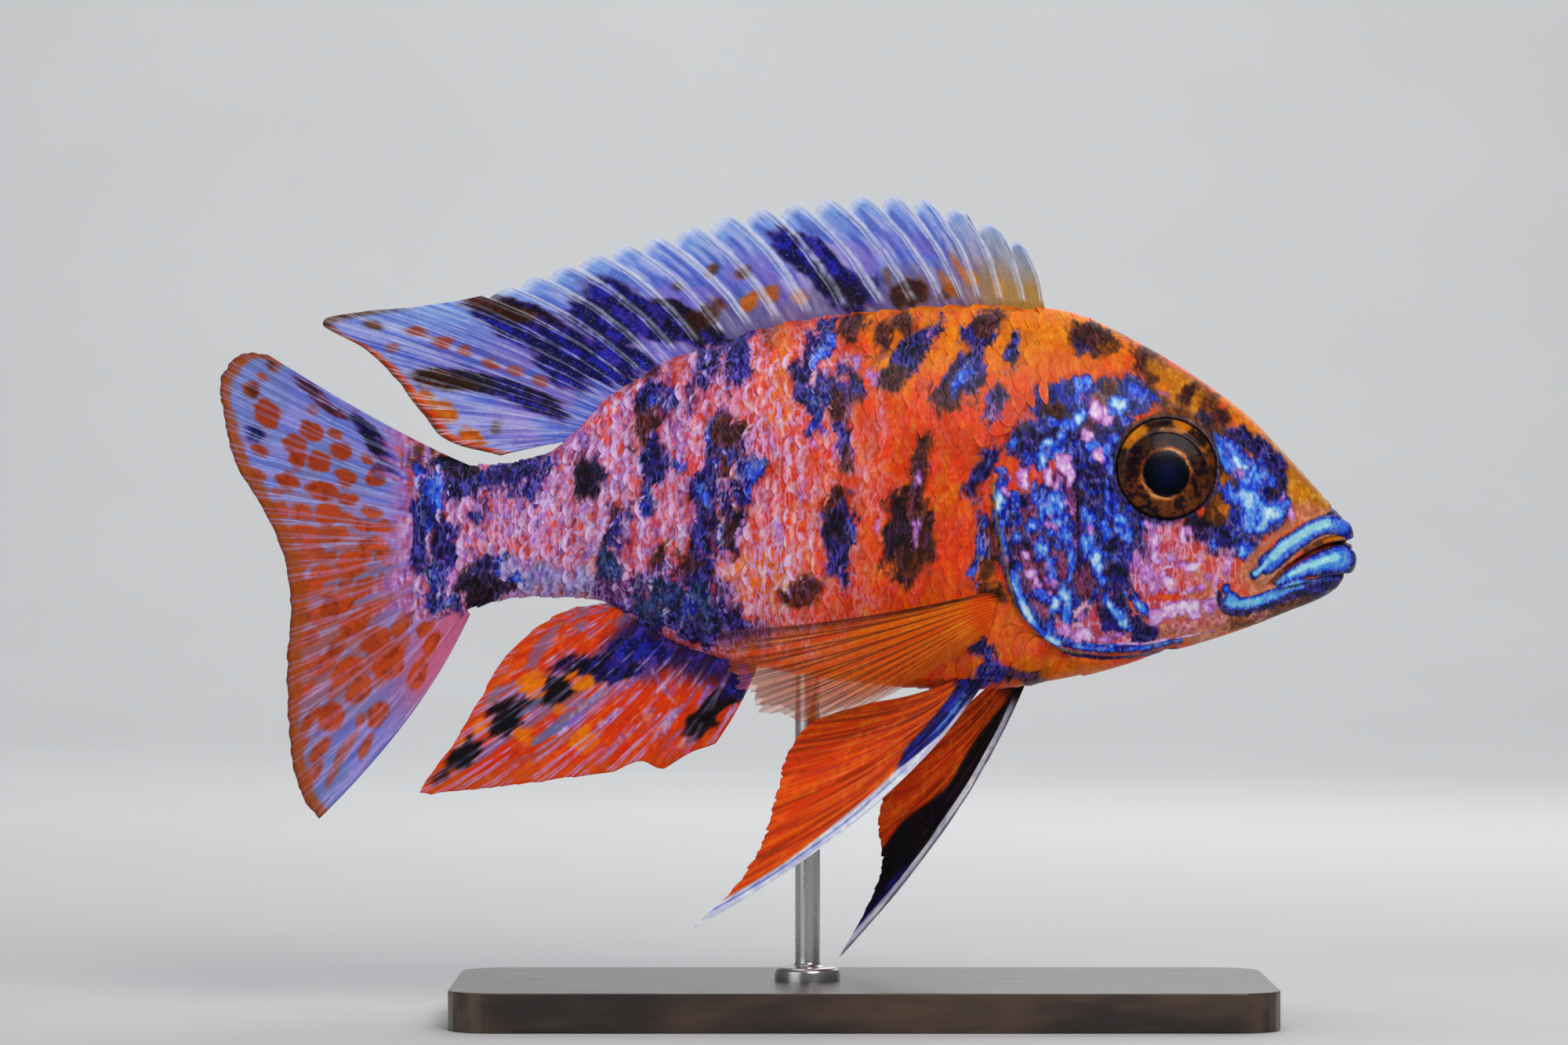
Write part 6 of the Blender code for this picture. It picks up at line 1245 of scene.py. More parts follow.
def slab(name, middle, thick, colour, glint, look, slot, nodes, clear=None, **more):
    """A closed thin sheet over a grid of points, thick on either side of it along the grid's own normals."""
    rows, columns = middle.shape[:2]
    n = normals_of(middle, False)
    n *= np.where(n[..., 1:2] > 0, -1.0, 1.0)  # towards -Y
    near, far = middle + n * thick[..., None], middle - n * thick[..., None]
    count = rows * columns
    points = np.concatenate([near.reshape(-1, 3), far.reshape(-1, 3)])
    q = grid_quads(rows, columns)
    e1 = near[1, 0] - near[0, 0]
    e2 = near[0, 1] - near[0, 0]
    if np.dot(np.cross(e2, e1), n[0, 0]) < 0:
        q = q[:, ::-1]
    back = q[:, ::-1] + count
    rim = ([(i, 0) for i in range(rows)] + [(rows - 1, j) for j in range(1, columns)]
           + [(i, columns - 1) for i in range(rows - 2, -1, -1)] + [(0, j) for j in range(columns - 2, 0, -1)])
    rim = np.array([i * columns + j for i, j in rim])
    after = np.roll(rim, -1)
    # the rim is wound against the faces it joins
    edges = {(int(f[k]), int(f[(k + 1) % 4])) for f in q[:: max(1, len(q) // 4)] for k in range(4)}
    sides = np.stack([rim, rim + count, after + count, after], axis=1)
    face0 = q[0]
    pairs = {(int(face0[k]), int(face0[(k + 1) % 4])) for k in range(4)}
    if not ((int(rim[0]), int(after[0])) in pairs):
        sides = sides[:, ::-1]
    i, j = np.divmod(np.arange(count), columns)
    uv_near = np.stack([0.012 + 0.470 * i / (rows - 1), 0.012 + 0.976 * j / (columns - 1)], axis=-1)
    uv_far = uv_near + (0.506, 0)
    centre = np.array((0.247, 0.5))
    uv_rim = uv_near + np.sign(uv_near - centre) * (np.stack([(i == 0) | (i == rows - 1), (j == 0) | (j == columns - 1)], axis=-1) * 0.006)
    uv = np.concatenate([uv_near, uv_far])
    side_uv = np.where((sides >= count)[..., None], uv_rim[sides % count], uv_near[sides % count])
    floats = {"Glint": np.concatenate([glint.ravel(), glint.ravel()])}
    if clear is not None:
        floats["Clear"] = np.concatenate([clear.ravel(), clear.ravel()])
    for key, value in more.items():  # layers that the fin's material draws its rays from
        value = np.asarray(value, float)
        flat = value.reshape(-1, 3) if key == "Spark" else value.ravel()
        floats[key] = np.concatenate([flat, flat])
    tint = np.concatenate([colour.reshape(-1, 3)] * 2)
    faces = np.concatenate([q, back, sides])
    piece = new_piece(name, points, faces, [uv[q.ravel()], uv[back.ravel()], side_uv.reshape(-1, 2)], tint, floats)
    return dress(piece, look, slot, *nodes)


def blend(a, b, k):
    k = np.asarray(k)[..., None]
    return a * (1 - k) + b * k


def rgb(r, g, b):
    return np.array((r, g, b)) / 255.0


def fin_paint(points, seed, ray=None, out=None):
    """A painter for a fin; its patches' edges run into streaks along the rays."""
    X, Z = points[..., 0], points[..., 2]
    flat = points.reshape(-1, 3)
    p = Paint(X.ravel(), Z.ravel(), flat, seed, 0.35)
    if ray is not None:
        lanes = np.stack([ray.ravel() * 2.2, out.ravel() * 4.0, 0 * ray.ravel()], -1)
        p.lanes = lanes
        p.rag = (layered(lanes, 1.0, 5 + seed, 3, 0.65) - 0.5) * 2.8
        p.fine = 0.5 * layered(lanes * (1.4, 1.5, 1), 1.0, 33 + seed, 2) + 0.5 * p.fine
    return p


def rays_field(share, t, count, seed, splits=True):
    """Ridge height (0-1) and each point's place between its rays; rays split in two, then four, towards the edge."""
    f = share * count
    main = np.abs((f + 0.5) % 1.0 - 0.5)
    ridge = np.exp(-(main / 0.13) ** 2)
    if splits:
        off = 0.17 * step(0.30, 0.75, t)
        pair = np.minimum(np.abs(((f + off + 0.5) % 1.0) - 0.5), np.abs(((f - off + 0.5) % 1.0) - 0.5))
        far = np.exp(-(pair / 0.085) ** 2)
        ridge = ridge * (1 - step(0.28, 0.4, t)) + far * step(0.28, 0.4, t)
        off2 = 0.085 * step(0.62, 0.98, t)
        quad = np.minimum.reduce([np.abs(((f + sa * off + sb * off2 + 0.5) % 1.0) - 0.5) for sa in (-1, 1) for sb in (-1, 1)])
        last = np.exp(-(quad / 0.06) ** 2)
        ridge = ridge * (1 - step(0.6, 0.7, t)) + last * step(0.6, 0.7, t)
    return ridge, f


def edge_fins(table, share, t, under, notch, bow, root=1.4):
    """Grid of points of the dorsal or anal fin; the rays start inside the body."""
    bx = along(table, share, 1)
    tx, tz = along(table, share, 2), along(table, share, 3)
    bz = along(STATIONS, bx, 2) - 0.35 if under else along(STATIONS, bx, 1) + 0.35
    length = np.hypot(tx - bx, tz - bz)
    ux, uz = (tx - bx) / length, (tz - bz) / length
    keep = np.maximum(1 - notch / length, 0.3)
    reach = -root + (length * keep + root) * t  # distance from the base
    s = np.clip(reach / length, 0, 1)
    sign = -1.0 if under else 1.0
    px, pz = -uz * sign, ux * sign  # across the ray, towards the tail's far side
    curve = bow * length * 4 * s * (1 - s) * 0.5
    x = bx + ux * reach - px * curve
    z = bz + uz * reach - pz * curve
    y = 0.35 * s * np.sin(share * 17.0 + 1.2 * s)
    return np.stack([x, y, z], axis=-1), s, length


def dorsal_fin():
    fractions = np.array([0, .035, .08, .14, .22, .31, .40, .49, .58, .66, .74, .81, .87, .92, .955, .98])
    shares, frac, index = [], [], []
    for k in range(DORSAL_SPINES - 1):
        shares += list(SPINY_SHARE * (k + fractions) / (DORSAL_SPINES - 1))
        frac += list(fractions)
        index += [k] * len(fractions)
    soft = np.linspace(SPINY_SHARE, 1.0, 110)
    shares = np.concatenate([shares, soft])
    frac = np.concatenate([frac, np.zeros(len(soft))])
    spiny = np.concatenate([np.ones(len(index)), np.zeros(len(soft))])
    t = np.linspace(0, 1, 96)
    S, T = np.meshgrid(shares, t, indexing="ij")
    F, spiny = np.broadcast_to(frac[:, None], S.shape), np.broadcast_to(spiny[:, None], S.shape)
    deep = DORSAL_NOTCHES[0] + (DORSAL_NOTCHES[1] - DORSAL_NOTCHES[0]) * S / SPINY_SHARE
    notch = spiny * deep * (np.clip(F / 0.98, 0, 1) ** 2.0 + 0.10 * np.exp(-(F / 0.05) ** 2))
    ragged = (1 - spiny) * 0.55 * (layered(np.stack([S * 60, 0 * S, 0 * S], -1), 1.0, 411, 2) - 0.2) * step(0.67, 0.74, S)
    middle, s, length = edge_fins(DORSAL_RAYS, S, T, False, notch + ragged, 0.10 * (1 - step(0.55, 0.85, S)) + 0.02)
    spine = spiny * np.exp(-(np.minimum(F, 1 - F) / 0.075) ** 2)
    soft_ridge, _ = rays_field((S - SPINY_SHARE) / (1 - SPINY_SHARE), s, 12, 3)
    ridge = np.where(spiny > 0, spine, soft_ridge)
    thick = 0.13 + 0.55 * np.exp(-s * length / 1.6) + np.where(spiny > 0, 0.19 * (1 - 0.55 * s), 0.10) * ridge
    thick = thick * (0.45 + 0.55 * step(1.0, 0.97, T))
    ray = np.where(spiny > 0, S / SPINY_SHARE * (DORSAL_SPINES - 1), DORSAL_SPINES - 1 + (S - SPINY_SHARE) / (1 - SPINY_SHARE) * 13)
    p = fin_paint(middle, 40, ray, s)
    flat = lambda v: np.broadcast_to(v, S.shape).ravel()
    all_ = np.arange(S.size)
    s_, S_, F_, sp = flat(s), flat(S), flat(F), flat(spiny)
    cloud = layered(middle.reshape(-1, 3), (5.0, 4, 4.0), 415, 3)
    silk = layered(p.lanes * np.where(spiny.ravel() > 0, 2.6, 1.6)[:, None] * (1.0, 0.4, 1.0), 1.0, 417, 3)
    p.ground("slate")
    base = blend(rgb(88, 112, 220), rgb(134, 146, 232), step(0.35, 0.65, silk))
    base = blend(base, rgb(140, 184, 252), 0.85 * step(0.45, 0.95, s_ + 0.3 * (cloud - 0.5)) * step(0.86, 0.70, S_))
    base = blend(base, rgb(150, 118, 214), 0.7 * step(0.42, 0.58, cloud) * step(0.9, 0.3, s_))
    base = blend(base, rgb(206, 206, 250), 0.50 * step(0.56, 0.70, silk))
    base = blend(base, rgb(66, 76, 176), 0.40 * step(0.43, 0.30, silk))
    base = blend(base, rgb(112, 80, 96), 0.50 * step(0.36, 0.06, s_ + 0.3 * (cloud - 0.5)) * step(0.56, 0.50, S_))
    p.colour[:] = base
    p.spark[:] = rgb(226, 232, 255)
    p.glint[:] = 0.35
    front = step(0.15, 0.03, S_ + 0.03 * (cloud - 0.5))
    p.colour[:] = blend(p.colour, rgb(166, 172, 150), front * 0.72 * step(1.2, 0.5, s_))
    p.colour[:] = blend(p.colour, rgb(190, 132, 40), step(0.20, 0.04, S_) * 0.75 * step(0.62, 0.15, s_ + 0.4 * (cloud - 0.5)))
    for row in ((-5.2, 95.7, 2.5, 6.9, -44, "navy"), (-8.8, 98.8, 1.6, 3.0, -46, "navy"), (-1.8, 92.0, 2.0, 1.5, 0, "ink", 0.9), (1.0, 93.4, 1.3, 1.4, -30, "navy", 0.6), (6.0, 92.6, 2.2, 1.6, -30, "brown", 0.85),
                (10.5, 92.4, 1.4, 1.0, 0, "umber", 0.7), (-42.0, 88.2, 2.6, 9.6, -66, "navy"), (-36.0, 84.8, 2.3, 6.4, -62, "navy"), (-28.6, 90.2, 2.1, 8.0, -62, "navy"), (-22.2, 88.8, 1.7, 5.4, -62, "ink", 0.95), (-43.0, 90.4, 1.0, 5.0, -70, "ink", 0.8), (-34.0, 87.6, 0.9, 5.0, -62, "ink", 0.7), (-3.8, 93.4, 1.2, 2.4, -40, "ink", 0.8),
                (-33.6, 89.4, 2.0, 5.0, -62, "navy", 0.9), (-19.8, 89.8, 2.0, 1.3, -40, "brown", 0.8), (-45.8, 90.6, 0.9, 4.6, -76, "brown", 0.8), (-30.6, 84.8, 1.2, 4.6, -60, "navy"), (-38.2, 82.6, 1.5, 4.0, -56, "navy", 0.9),
                (-47.4, 80.8, 1.25, 8.4, -76, "ink"), (-54.2, 81.6, 1.4, 4.2, -78, "brown"), (-40.6, 78.4, 1.2, 3.0, -60, "ink", 0.95), (-43.6, 79.0, 0.9, 4.0, -66, "navy", 0.9)):
        x, z, rx, rz, tilt, tint, *rest = row
        p.patch(x, z, rx, rz, tilt, tint, *(rest or [1.0]), 0.45, 0.8)
    for row in ((-57.0, 87.6, 0.7, 1.2, -80, "rust", 0.90), (-53.7, 86.4, 0.8, 1.2, -78, "rust", 0.90), (-50.8, 85.1, 0.7, 1.1, -74, "rust", 0.85), (-47.4, 83.8, 0.7, 1.1, -70, "rust", 0.85), (-44.4, 82.8, 0.7, 1.0, -68, "rust", 0.80),
                (-41.2, 81.4, 0.6, 1.0, -64, "rust", 0.7), (-62.4, 88.6, 0.7, 1.4, -80, "umber", 0.8), (-60.0, 86.0, 0.7, 1.1, -76, "rust", 0.7), (-53.6, 77.4, 1.4, 1.8, -60, "copper"), (-49.8, 74.2, 1.3, 1.8, -70, "copper"),
                (-55.8, 79.2, 1.2, 1.6, -40, "copper", 0.9), (-46.6, 75.4, 0.7, 0.9, 0, "umber", 0.5), (-15.1, 95.1, 1.0, 0.8, -40, "umber", 0.8), (-14.3, 91.7, 1.3, 0.9, -40, "copper", 0.9), (-11.5, 92.4, 1.2, 0.9, -40, "copper", 0.8),
                (-19.4, 95.3, 1.0, 0.7, -40, "umber", 0.7), (-8.0, 92.0, 1.0, 0.9, 0, "orange", 0.6), (12.3, 95.5, 0.6, 2.4, -30, "orange", 0.5), (10.7, 93.5, 0.6, 1.8, -30, "orange", 0.5), (17.3, 93.3, 0.8, 1.4, -20, "amber", 0.5),
                (14.4, 94.4, 0.6, 1.2, -25, "amber", 0.6), (-23.6, 93.6, 0.8, 0.6, 0, "umber", 0.6), (3.0, 94.6, 0.7, 1.0, -30, "umber", 0.5)):
        x, z, rx, rz, tilt, tint, *rest = row
        p.patch(x, z, rx, rz, tilt, tint, *(rest or [1.0]), 0.35, 0.45)
    rim = np.where(S_ > 0.835, 1 - T.ravel(), 9.0) * flat(length)
    p.lay(all_, step(2.0, 0.9, rim + 1.6 * (cloud - 0.5)) * 0.9, "redorange")
    p.lay(all_, step(1.0, 0.4, rim + 0.8 * (cloud - 0.5)) * 0.7, "umber")
    p.lay(all_, step(0.72, 0.80, S_) * step(0.86, 0.835, S_) * step(0.93, 0.98, s_) * 0.8, "umber")
    # each lappet has a pale leading band, and dark parts show their rays less
    dark = step(0.34, 0.16, p.colour.mean(-1))
    p.colour = blend(p.colour, rgb(206, 214, 248), sp * step(0.21, 0.10, F_) * 0.34 * (1 - 0.75 * dark) * step(0.02, 0.12, s_))
    p.colour = blend(p.colour, rgb(222, 230, 255), sp * 0.85 * step(0.91, 0.985, T.ravel()) * (1 - 0.4 * dark))
    p.colour = blend(p.colour, rgb(214, 224, 255), sp * 0.75 * np.exp(-((np.minimum(F_, 1 - F_) - 0.015) / 0.030) ** 2) * step(0.45, 0.95, s_))
    streak = np.clip(np.where(sp > 0, 0.74, 0.46) * (1 - np.where(sp > 0, 0.62, 0.66) * dark), 0, 1) * step(0.0, 0.06, s_) * (0.55 + 0.75 * layered(middle.reshape(-1, 3), (1.8, 2, 2.6), 419, 2))
    out = np.where(spiny > 0, 0.0, s)
    layers = {"Ray": ray, "Out": out, "Streak": streak, "Lap": spiny * 1.0, "Spark": np.broadcast_to(rgb(228, 232, 255), (S.size, 3))}
    middle[..., 1] += sway(middle[..., 0])
    slab("dorsal_fin_skin", middle, thick, p.colour.reshape(S.shape + (3,)), p.glint.reshape(S.shape) * 0.7, fin_look, "blue_fin", ["dorsal_fin"], **layers)


CAUDAL_SPOTS = (  # x, z, half width across the ray, half length along it, strength
    (-76.2, 77.4, 1.32, 1.71, 1), (-78.1, 80.2, 1.01, 0.93, 0.8), (-75.1, 83.2, 0.62, 0.54, 0.7), (-76.6, 81.9, 0.54, 0.70, 0.6), (-70.3, 74.9, 1.01, 1.32, 0.95), (-72.5, 73.4, 1.01, 1.16, 1), (-72.3, 71.6, 1.01, 1.09, 1), (-69.4, 70.9, 1.09, 1.24, 0.95), (-66.7, 72.2, 0.97, 1.16, 0.95),
    (-63.3, 71.7, 0.43, 0.54, 0.7), (-66.0, 69.1, 0.85, 1.09, 0.95), (-62.0, 69.1, 0.93, 1.24, 0.95), (-73.5, 68.8, 1.01, 1.32, 0.95), (-77.2, 72.4, 0.78, 1.01, 0.75), (-77.7, 69.0, 0.78, 1.16, 0.7), (-68.9, 67.3, 1.01, 1.86, 1), (-65.8, 66.3, 0.66, 1.32, 0.9), (-62.5, 64.8, 0.62, 1.16, 0.8),
    (-60.6, 62.7, 0.74, 2.02, 1), (-63.7, 63.1, 0.66, 1.71, 0.95), (-68.3, 64.4, 1.16, 1.55, 0.95), (-71.8, 64.7, 0.85, 1.16, 0.9), (-74.4, 65.1, 0.85, 1.16, 0.85), (-71.1, 61.7, 1.01, 1.55, 0.9), (-74.0, 61.4, 0.85, 1.16, 0.85), (-67.7, 61.8, 0.70, 1.32, 0.8), (-62.3, 60.6, 0.78, 1.94, 0.95),
    (-65.0, 58.7, 0.78, 1.78, 0.95), (-60.4, 59.0, 0.78, 1.40, 0.95), (-65.3, 57.3, 0.93, 1.32, 0.95), (-68.6, 58.9, 0.78, 1.47, 0.85), (-68.8, 56.8, 0.93, 1.47, 0.9), (-71.9, 58.0, 0.93, 1.40, 0.85), (-70.9, 54.9, 0.93, 1.86, 0.9), (-67.2, 52.9, 1.16, 1.94, 1), (-63.8, 54.9, 0.78, 1.47, 0.9),
    (-61.5, 55.6, 0.62, 1.24, 0.85), (-59.2, 56.8, 0.62, 1.32, 0.9), (-62.8, 52.1, 0.78, 2.09, 0.95), (-60.3, 53.5, 0.62, 1.71, 0.9), (-68.4, 54.6, 0.62, 1.16, 0.8), (-65.0, 50.0, 1.16, 1.71, 0.95), (-68.5, 51.3, 0.78, 1.55, 0.85), (-62.2, 48.4, 1.24, 1.78, 0.95), (-58.8, 50.4, 0.93, 1.94, 0.9),
    (-57.2, 52.7, 0.58, 1.40, 0.9), (-55.8, 49.6, 0.85, 1.01, 0.9), (-55.0, 47.8, 0.78, 1.32, 0.9), (-60.4, 45.4, 1.55, 1.94, 1), (-65.7, 44.6, 0.93, 1.86, 0.95), (-68.2, 45.8, 0.70, 1.94, 0.9), (-70.6, 45.1, 0.70, 1.55, 0.8), (-71.1, 48.5, 0.70, 1.55, 0.8), (-64.2, 41.9, 1.01, 1.63, 0.9),
    (-56.9, 44.2, 0.93, 1.63, 0.9), (-67.7, 38.5, 1.16, 1.63, 0.95), (-61.9, 38.9, 0.93, 1.71, 0.9), (-64.2, 38.1, 0.47, 0.70, 0.8), (-63.3, 34.7, 0.50, 1.24, 0.8), (-69.5, 34.3, 0.70, 1.78, 0.85), (-70.4, 38.1, 0.54, 1.55, 0.8), (-71.5, 41.6, 0.58, 1.71, 0.8), (-66.1, 34.3, 0.54, 2.33, 0.6),
    (-61.6, 43.2, 0.47, 1.01, 0.6), (-66.8, 47.7, 0.62, 1.40, 0.8), (-72.6, 51.9, 0.70, 1.55, 0.75), (-72.2, 34.8, 0.54, 1.32, 0.7), (-70.7, 31.0, 0.70, 1.71, 0.75), (-68.0, 31.0, 0.47, 1.55, 0.5), (-74.9, 67.5, 0.54, 1.01, 0.6), (-70.3, 77.7, 0.54, 0.78, 0.5), (-67.3, 74.7, 0.54, 0.85, 0.55),
    (-59.1, 53.8, 0.39, 0.93, 0.6), (-66.1, 55.3, 0.54, 1.01, 0.7), (-70.3, 51.5, 0.54, 1.32, 0.75), (-63.3, 45.1, 0.54, 1.16, 0.6), (-59.1, 47.7, 0.62, 1.09, 0.6), (-65.8, 63.7, 0.54, 1.09, 0.8), (-70.3, 59.9, 0.70, 1.32, 0.8), (-72.6, 55.3, 0.62, 1.16, 0.7), (-66.9, 42.0, 0.54, 1.32, 0.6),
)


def caudal_fin():
    n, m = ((230, 110))
    S, T = np.meshgrid(np.linspace(0, 1, n), np.linspace(0, 1, m), indexing="ij")
    z0 = 70.6 - 19.0 * S
    x0 = TAIL_END_X + TAIL_END_ROUND * ((z0 - 61.0) / 10.0) ** 2 + 1.6
    tx, tz = along(CAUDAL_TIPS, S, 1), along(CAUDAL_TIPS, S, 2)
    fray = 0.012 * (layered(np.stack([S * 70, 0 * S, 0 * S], -1), 1.0, 511, 2) - 0.35)
    mx, mz = x0 + (tx - x0) * (0.42 - 0.14 * S), z0 + (tz - z0) * (0.33 + 0.15 * S)
    U = T * (1 - fray)
    x = (1 - U) ** 2 * x0 + 2 * U * (1 - U) * mx + U * U * tx
    z = (1 - U) ** 2 * z0 + 2 * U * (1 - U) * mz + U * U * tz
    y = U * U * 0.5 * np.sin(S * 9.0)
    middle = np.stack([x, y, z], axis=-1)
    ridge, f = rays_field(S, T, 17, 5)
    thick = 0.14 + 1.1 * np.exp(-T / 0.055) + 0.17 * ridge * (1 - 0.45 * T)
    thick *= 0.5 + 0.5 * step(1.0, 0.975, T)
    X, Z, S_, T_ = x.ravel(), z.ravel(), S.ravel(), T.ravel()
    all_ = np.arange(S.size)
    count = 16
    ray = S * count
    p = fin_paint(middle, 50, ray, T)
    cloud = layered(middle.reshape(-1, 3), (4, 4, 4), 515, 3)
    silk = layered(p.lanes * (1.6, 0.6, 1.0), 1.0, 517, 3)
    p.ground("slate")
    base = blend(rgb(108, 120, 214), rgb(160, 148, 226), step(0.35, 0.65, silk))
    base = blend(base, rgb(112, 132, 190), 0.6 * step(0.42, 0.62, cloud) * step(0.30, 0.6, T_))
    base = blend(base, rgb(186, 118, 172), 0.75 * step(0.60, 0.95, S_ + 0.2 * (cloud - 0.5)) * step(0.75, 0.3, T_))
    base = blend(base, rgb(196, 132, 196), 0.6 * step(0.36, 0.10, T_) * step(0.25, 0.5, S_))
    p.colour[:] = base
    p.glint[:] = 0.4
    base = blend(p.colour, rgb(200, 82, 44), 0.66 * step(0.28, 0.48, S_ + 0.2 * (cloud - 0.5)) * step(0.95, 0.75, S_) * step(0.34, 0.70, T_))
    p.colour[:] = blend(base, rgb(106, 128, 214), 0.60 * step(0.58, 0.72, silk) * step(0.35, 0.60, T_))
    p.colour = blend(p.colour, rgb(222, 92, 116), 0.65 * step(0.80, 0.90, S_ + 0.1 * (cloud - 0.5)) * step(0.62, 0.30, T_))
    # red-orange spots that lie along the rays, merging in the middle and the lower lobe
    reach = np.hypot(tx - x0, tz - z0)
    dots = np.zeros(S.size)
    for sx, sz, across, along_it, strength in CAUDAL_SPOTS:
        lean = math.degrees(math.atan2(sx + 49.0, sz - 61.5))
        near, gap = p.gap(sx, sz, across, along_it, lean, along_it + 1.4)
        if len(near):
            grown = 0.14 if sz < 66 else -0.02
            dots[near] = np.maximum(dots[near], strength * step(0.42, -0.14, gap - grown + 0.34 * p.rag[near] + 0.30 * (p.fine[near] - 0.5)))
    dots = dots * (0.86 + 0.14 * step(0.3, 0.6, silk))
    speckle = layered(middle.reshape(-1, 3), (0.7, 1, 0.7), 535, 2)
    p.colour = blend(p.colour, rgb(206, 68, 10), dots * 0.95)
    p.colour = blend(p.colour, rgb(158, 52, 14), dots * 0.75 * np.maximum(0.7 * step(0.47, 0.62, cloud), step(0.44, 0.30, S_)))
    p.colour = blend(p.colour, rgb(120, 34, 14), dots * 0.55 * step(0.62, 0.74, speckle))
    p.glint *= 1 - 0.7 * dots
    for row in ((-69.4, 79.4, 0.8, 4.6, -50, "maroon", 0.9), (-69.0, 79.0, 0.5, 4.0, -50, "brown", 0.5), (-62.4, 74.0, 1.2, 4.4, -42, "ink"), (-59.8, 71.6, 1.1, 1.8, -30, "navy"), (-57.9, 68.6, 0.8, 1.8, -8, "ink"), (-77.9, 74.9, 1.0, 0.9, 0, "navy", 0.85),
                (-56.5, 62.8, 0.8, 2.2, 0, "navy", 0.9), (-54.2, 59.6, 1.2, 2.6, 0, "ink", 0.8), (-57.4, 52.6, 1.0, 1.9, 30, "maroon", 0.6), (-61.6, 70.0, 0.9, 1.2, -30, "plum", 0.7),
                (-78.0, 79.9, 0.8, 0.9, 0, "umber", 0.8), (-75.4, 83.4, 0.7, 0.6, 0, "umber", 0.8)):
        x, z, rx, rz, tilt, tint, *rest = row
        p.patch(x, z, rx, rz, tilt, tint, *(rest or [1.0]), 0.35, 0.5)
    # blue bands over the root, running on from the tail stalk
    for row in ((-56.8, 70.2, 0.7, 1.6, -20, "azure"), (-55.4, 68.8, 0.9, 2.4, -12, "azure"), (-58.6, 69.8, 0.5, 1.4, -30, "blue"), (-55.0, 65.4, 0.9, 2.2, -4, "blue"), (-56.6, 66.6, 0.5, 1.6, 0, "lilac", 0.8), (-55.6, 62.0, 0.6, 1.6, 0, "blue", 0.9),
                (-54.8, 56.6, 1.0, 2.6, 0, "blue", 0.95), (-54.0, 53.4, 1.5, 1.5, 0, "blue", 0.9), (-56.2, 57.6, 0.5, 1.6, 0, "lilac", 0.8), (-53.0, 57.0, 0.6, 1.6, 0, "lilac", 0.8), (-57.6, 64.2, 0.5, 1.6, 0, "pearl", 0.7), (-56.8, 59.2, 0.5, 1.2, 0, "lilac", 0.7)):
        p.glow(*row)
    p.shine(1.0, 0.7)
    p.spark[:] = blend(rgb(166, 178, 246), rgb(206, 172, 236), step(0.45, 0.9, S_))
    root_points = middle * (1.0, 0.0, 1.0) + (0.0, -1.6, 0.0)
    root_look = markings(root_points, 0, False)
    strands = layered(p.lanes * (1.2, 0.35, 1.0), 1.0, 519, 3) - 0.5
    at_root = step(-61.6, -57.9, X + 0.8 * p.rag + 8.0 * strands) * step(50.8, 53.4, Z + 4.0 * strands)
    p.colour = blend(p.colour, root_look["Tint"].reshape(-1, 3), at_root)
    p.colour = blend(p.colour, rgb(172, 126, 210), 0.55 * np.exp(-((X + 59.4 + 4 * strands) / 1.3) ** 2) * step(49.0, 54.0, Z))
    edge = (1 - T) * reach
    outer = np.minimum(edge, np.where(S < 0.10, S * 60 + 4.5 * (1 - T), 99)).ravel()
    margin = step(1.9, 1.0, outer + 1.0 * (cloud - 0.5)) * step(0.45, 0.62, T_) * np.maximum(step(0.02, 0.10, S_), step(0.9, 0.97, T_))
    p.colour = blend(p.colour, rgb(172, 76, 14), margin * 0.92)
    p.colour = blend(p.colour, rgb(120, 48, 10), step(0.6, 0.2, edge.ravel()) * 0.6)
    streak = (0.74 - 0.56 * dots) * (1 - 0.35 * step(0.50, 0.80, S_)) * step(0.02, 0.15, T_) * (1 - 0.8 * at_root) * (1 - 0.65 * margin) * (1 - 0.6 * step(0.30, 0.15, p.colour.mean(-1)))
    layers = {"Ray": ray, "Out": T, "Streak": streak, "Lap": 0 * S, "Spark": p.spark}
    middle[..., 1] += sway(middle[..., 0])
    slab("caudal_fin_skin", middle, thick, p.colour.reshape(S.shape + (3,)), p.glint.reshape(S.shape) * 0.7, fin_look, "tail_fin", ["caudal_fin"], **layers)


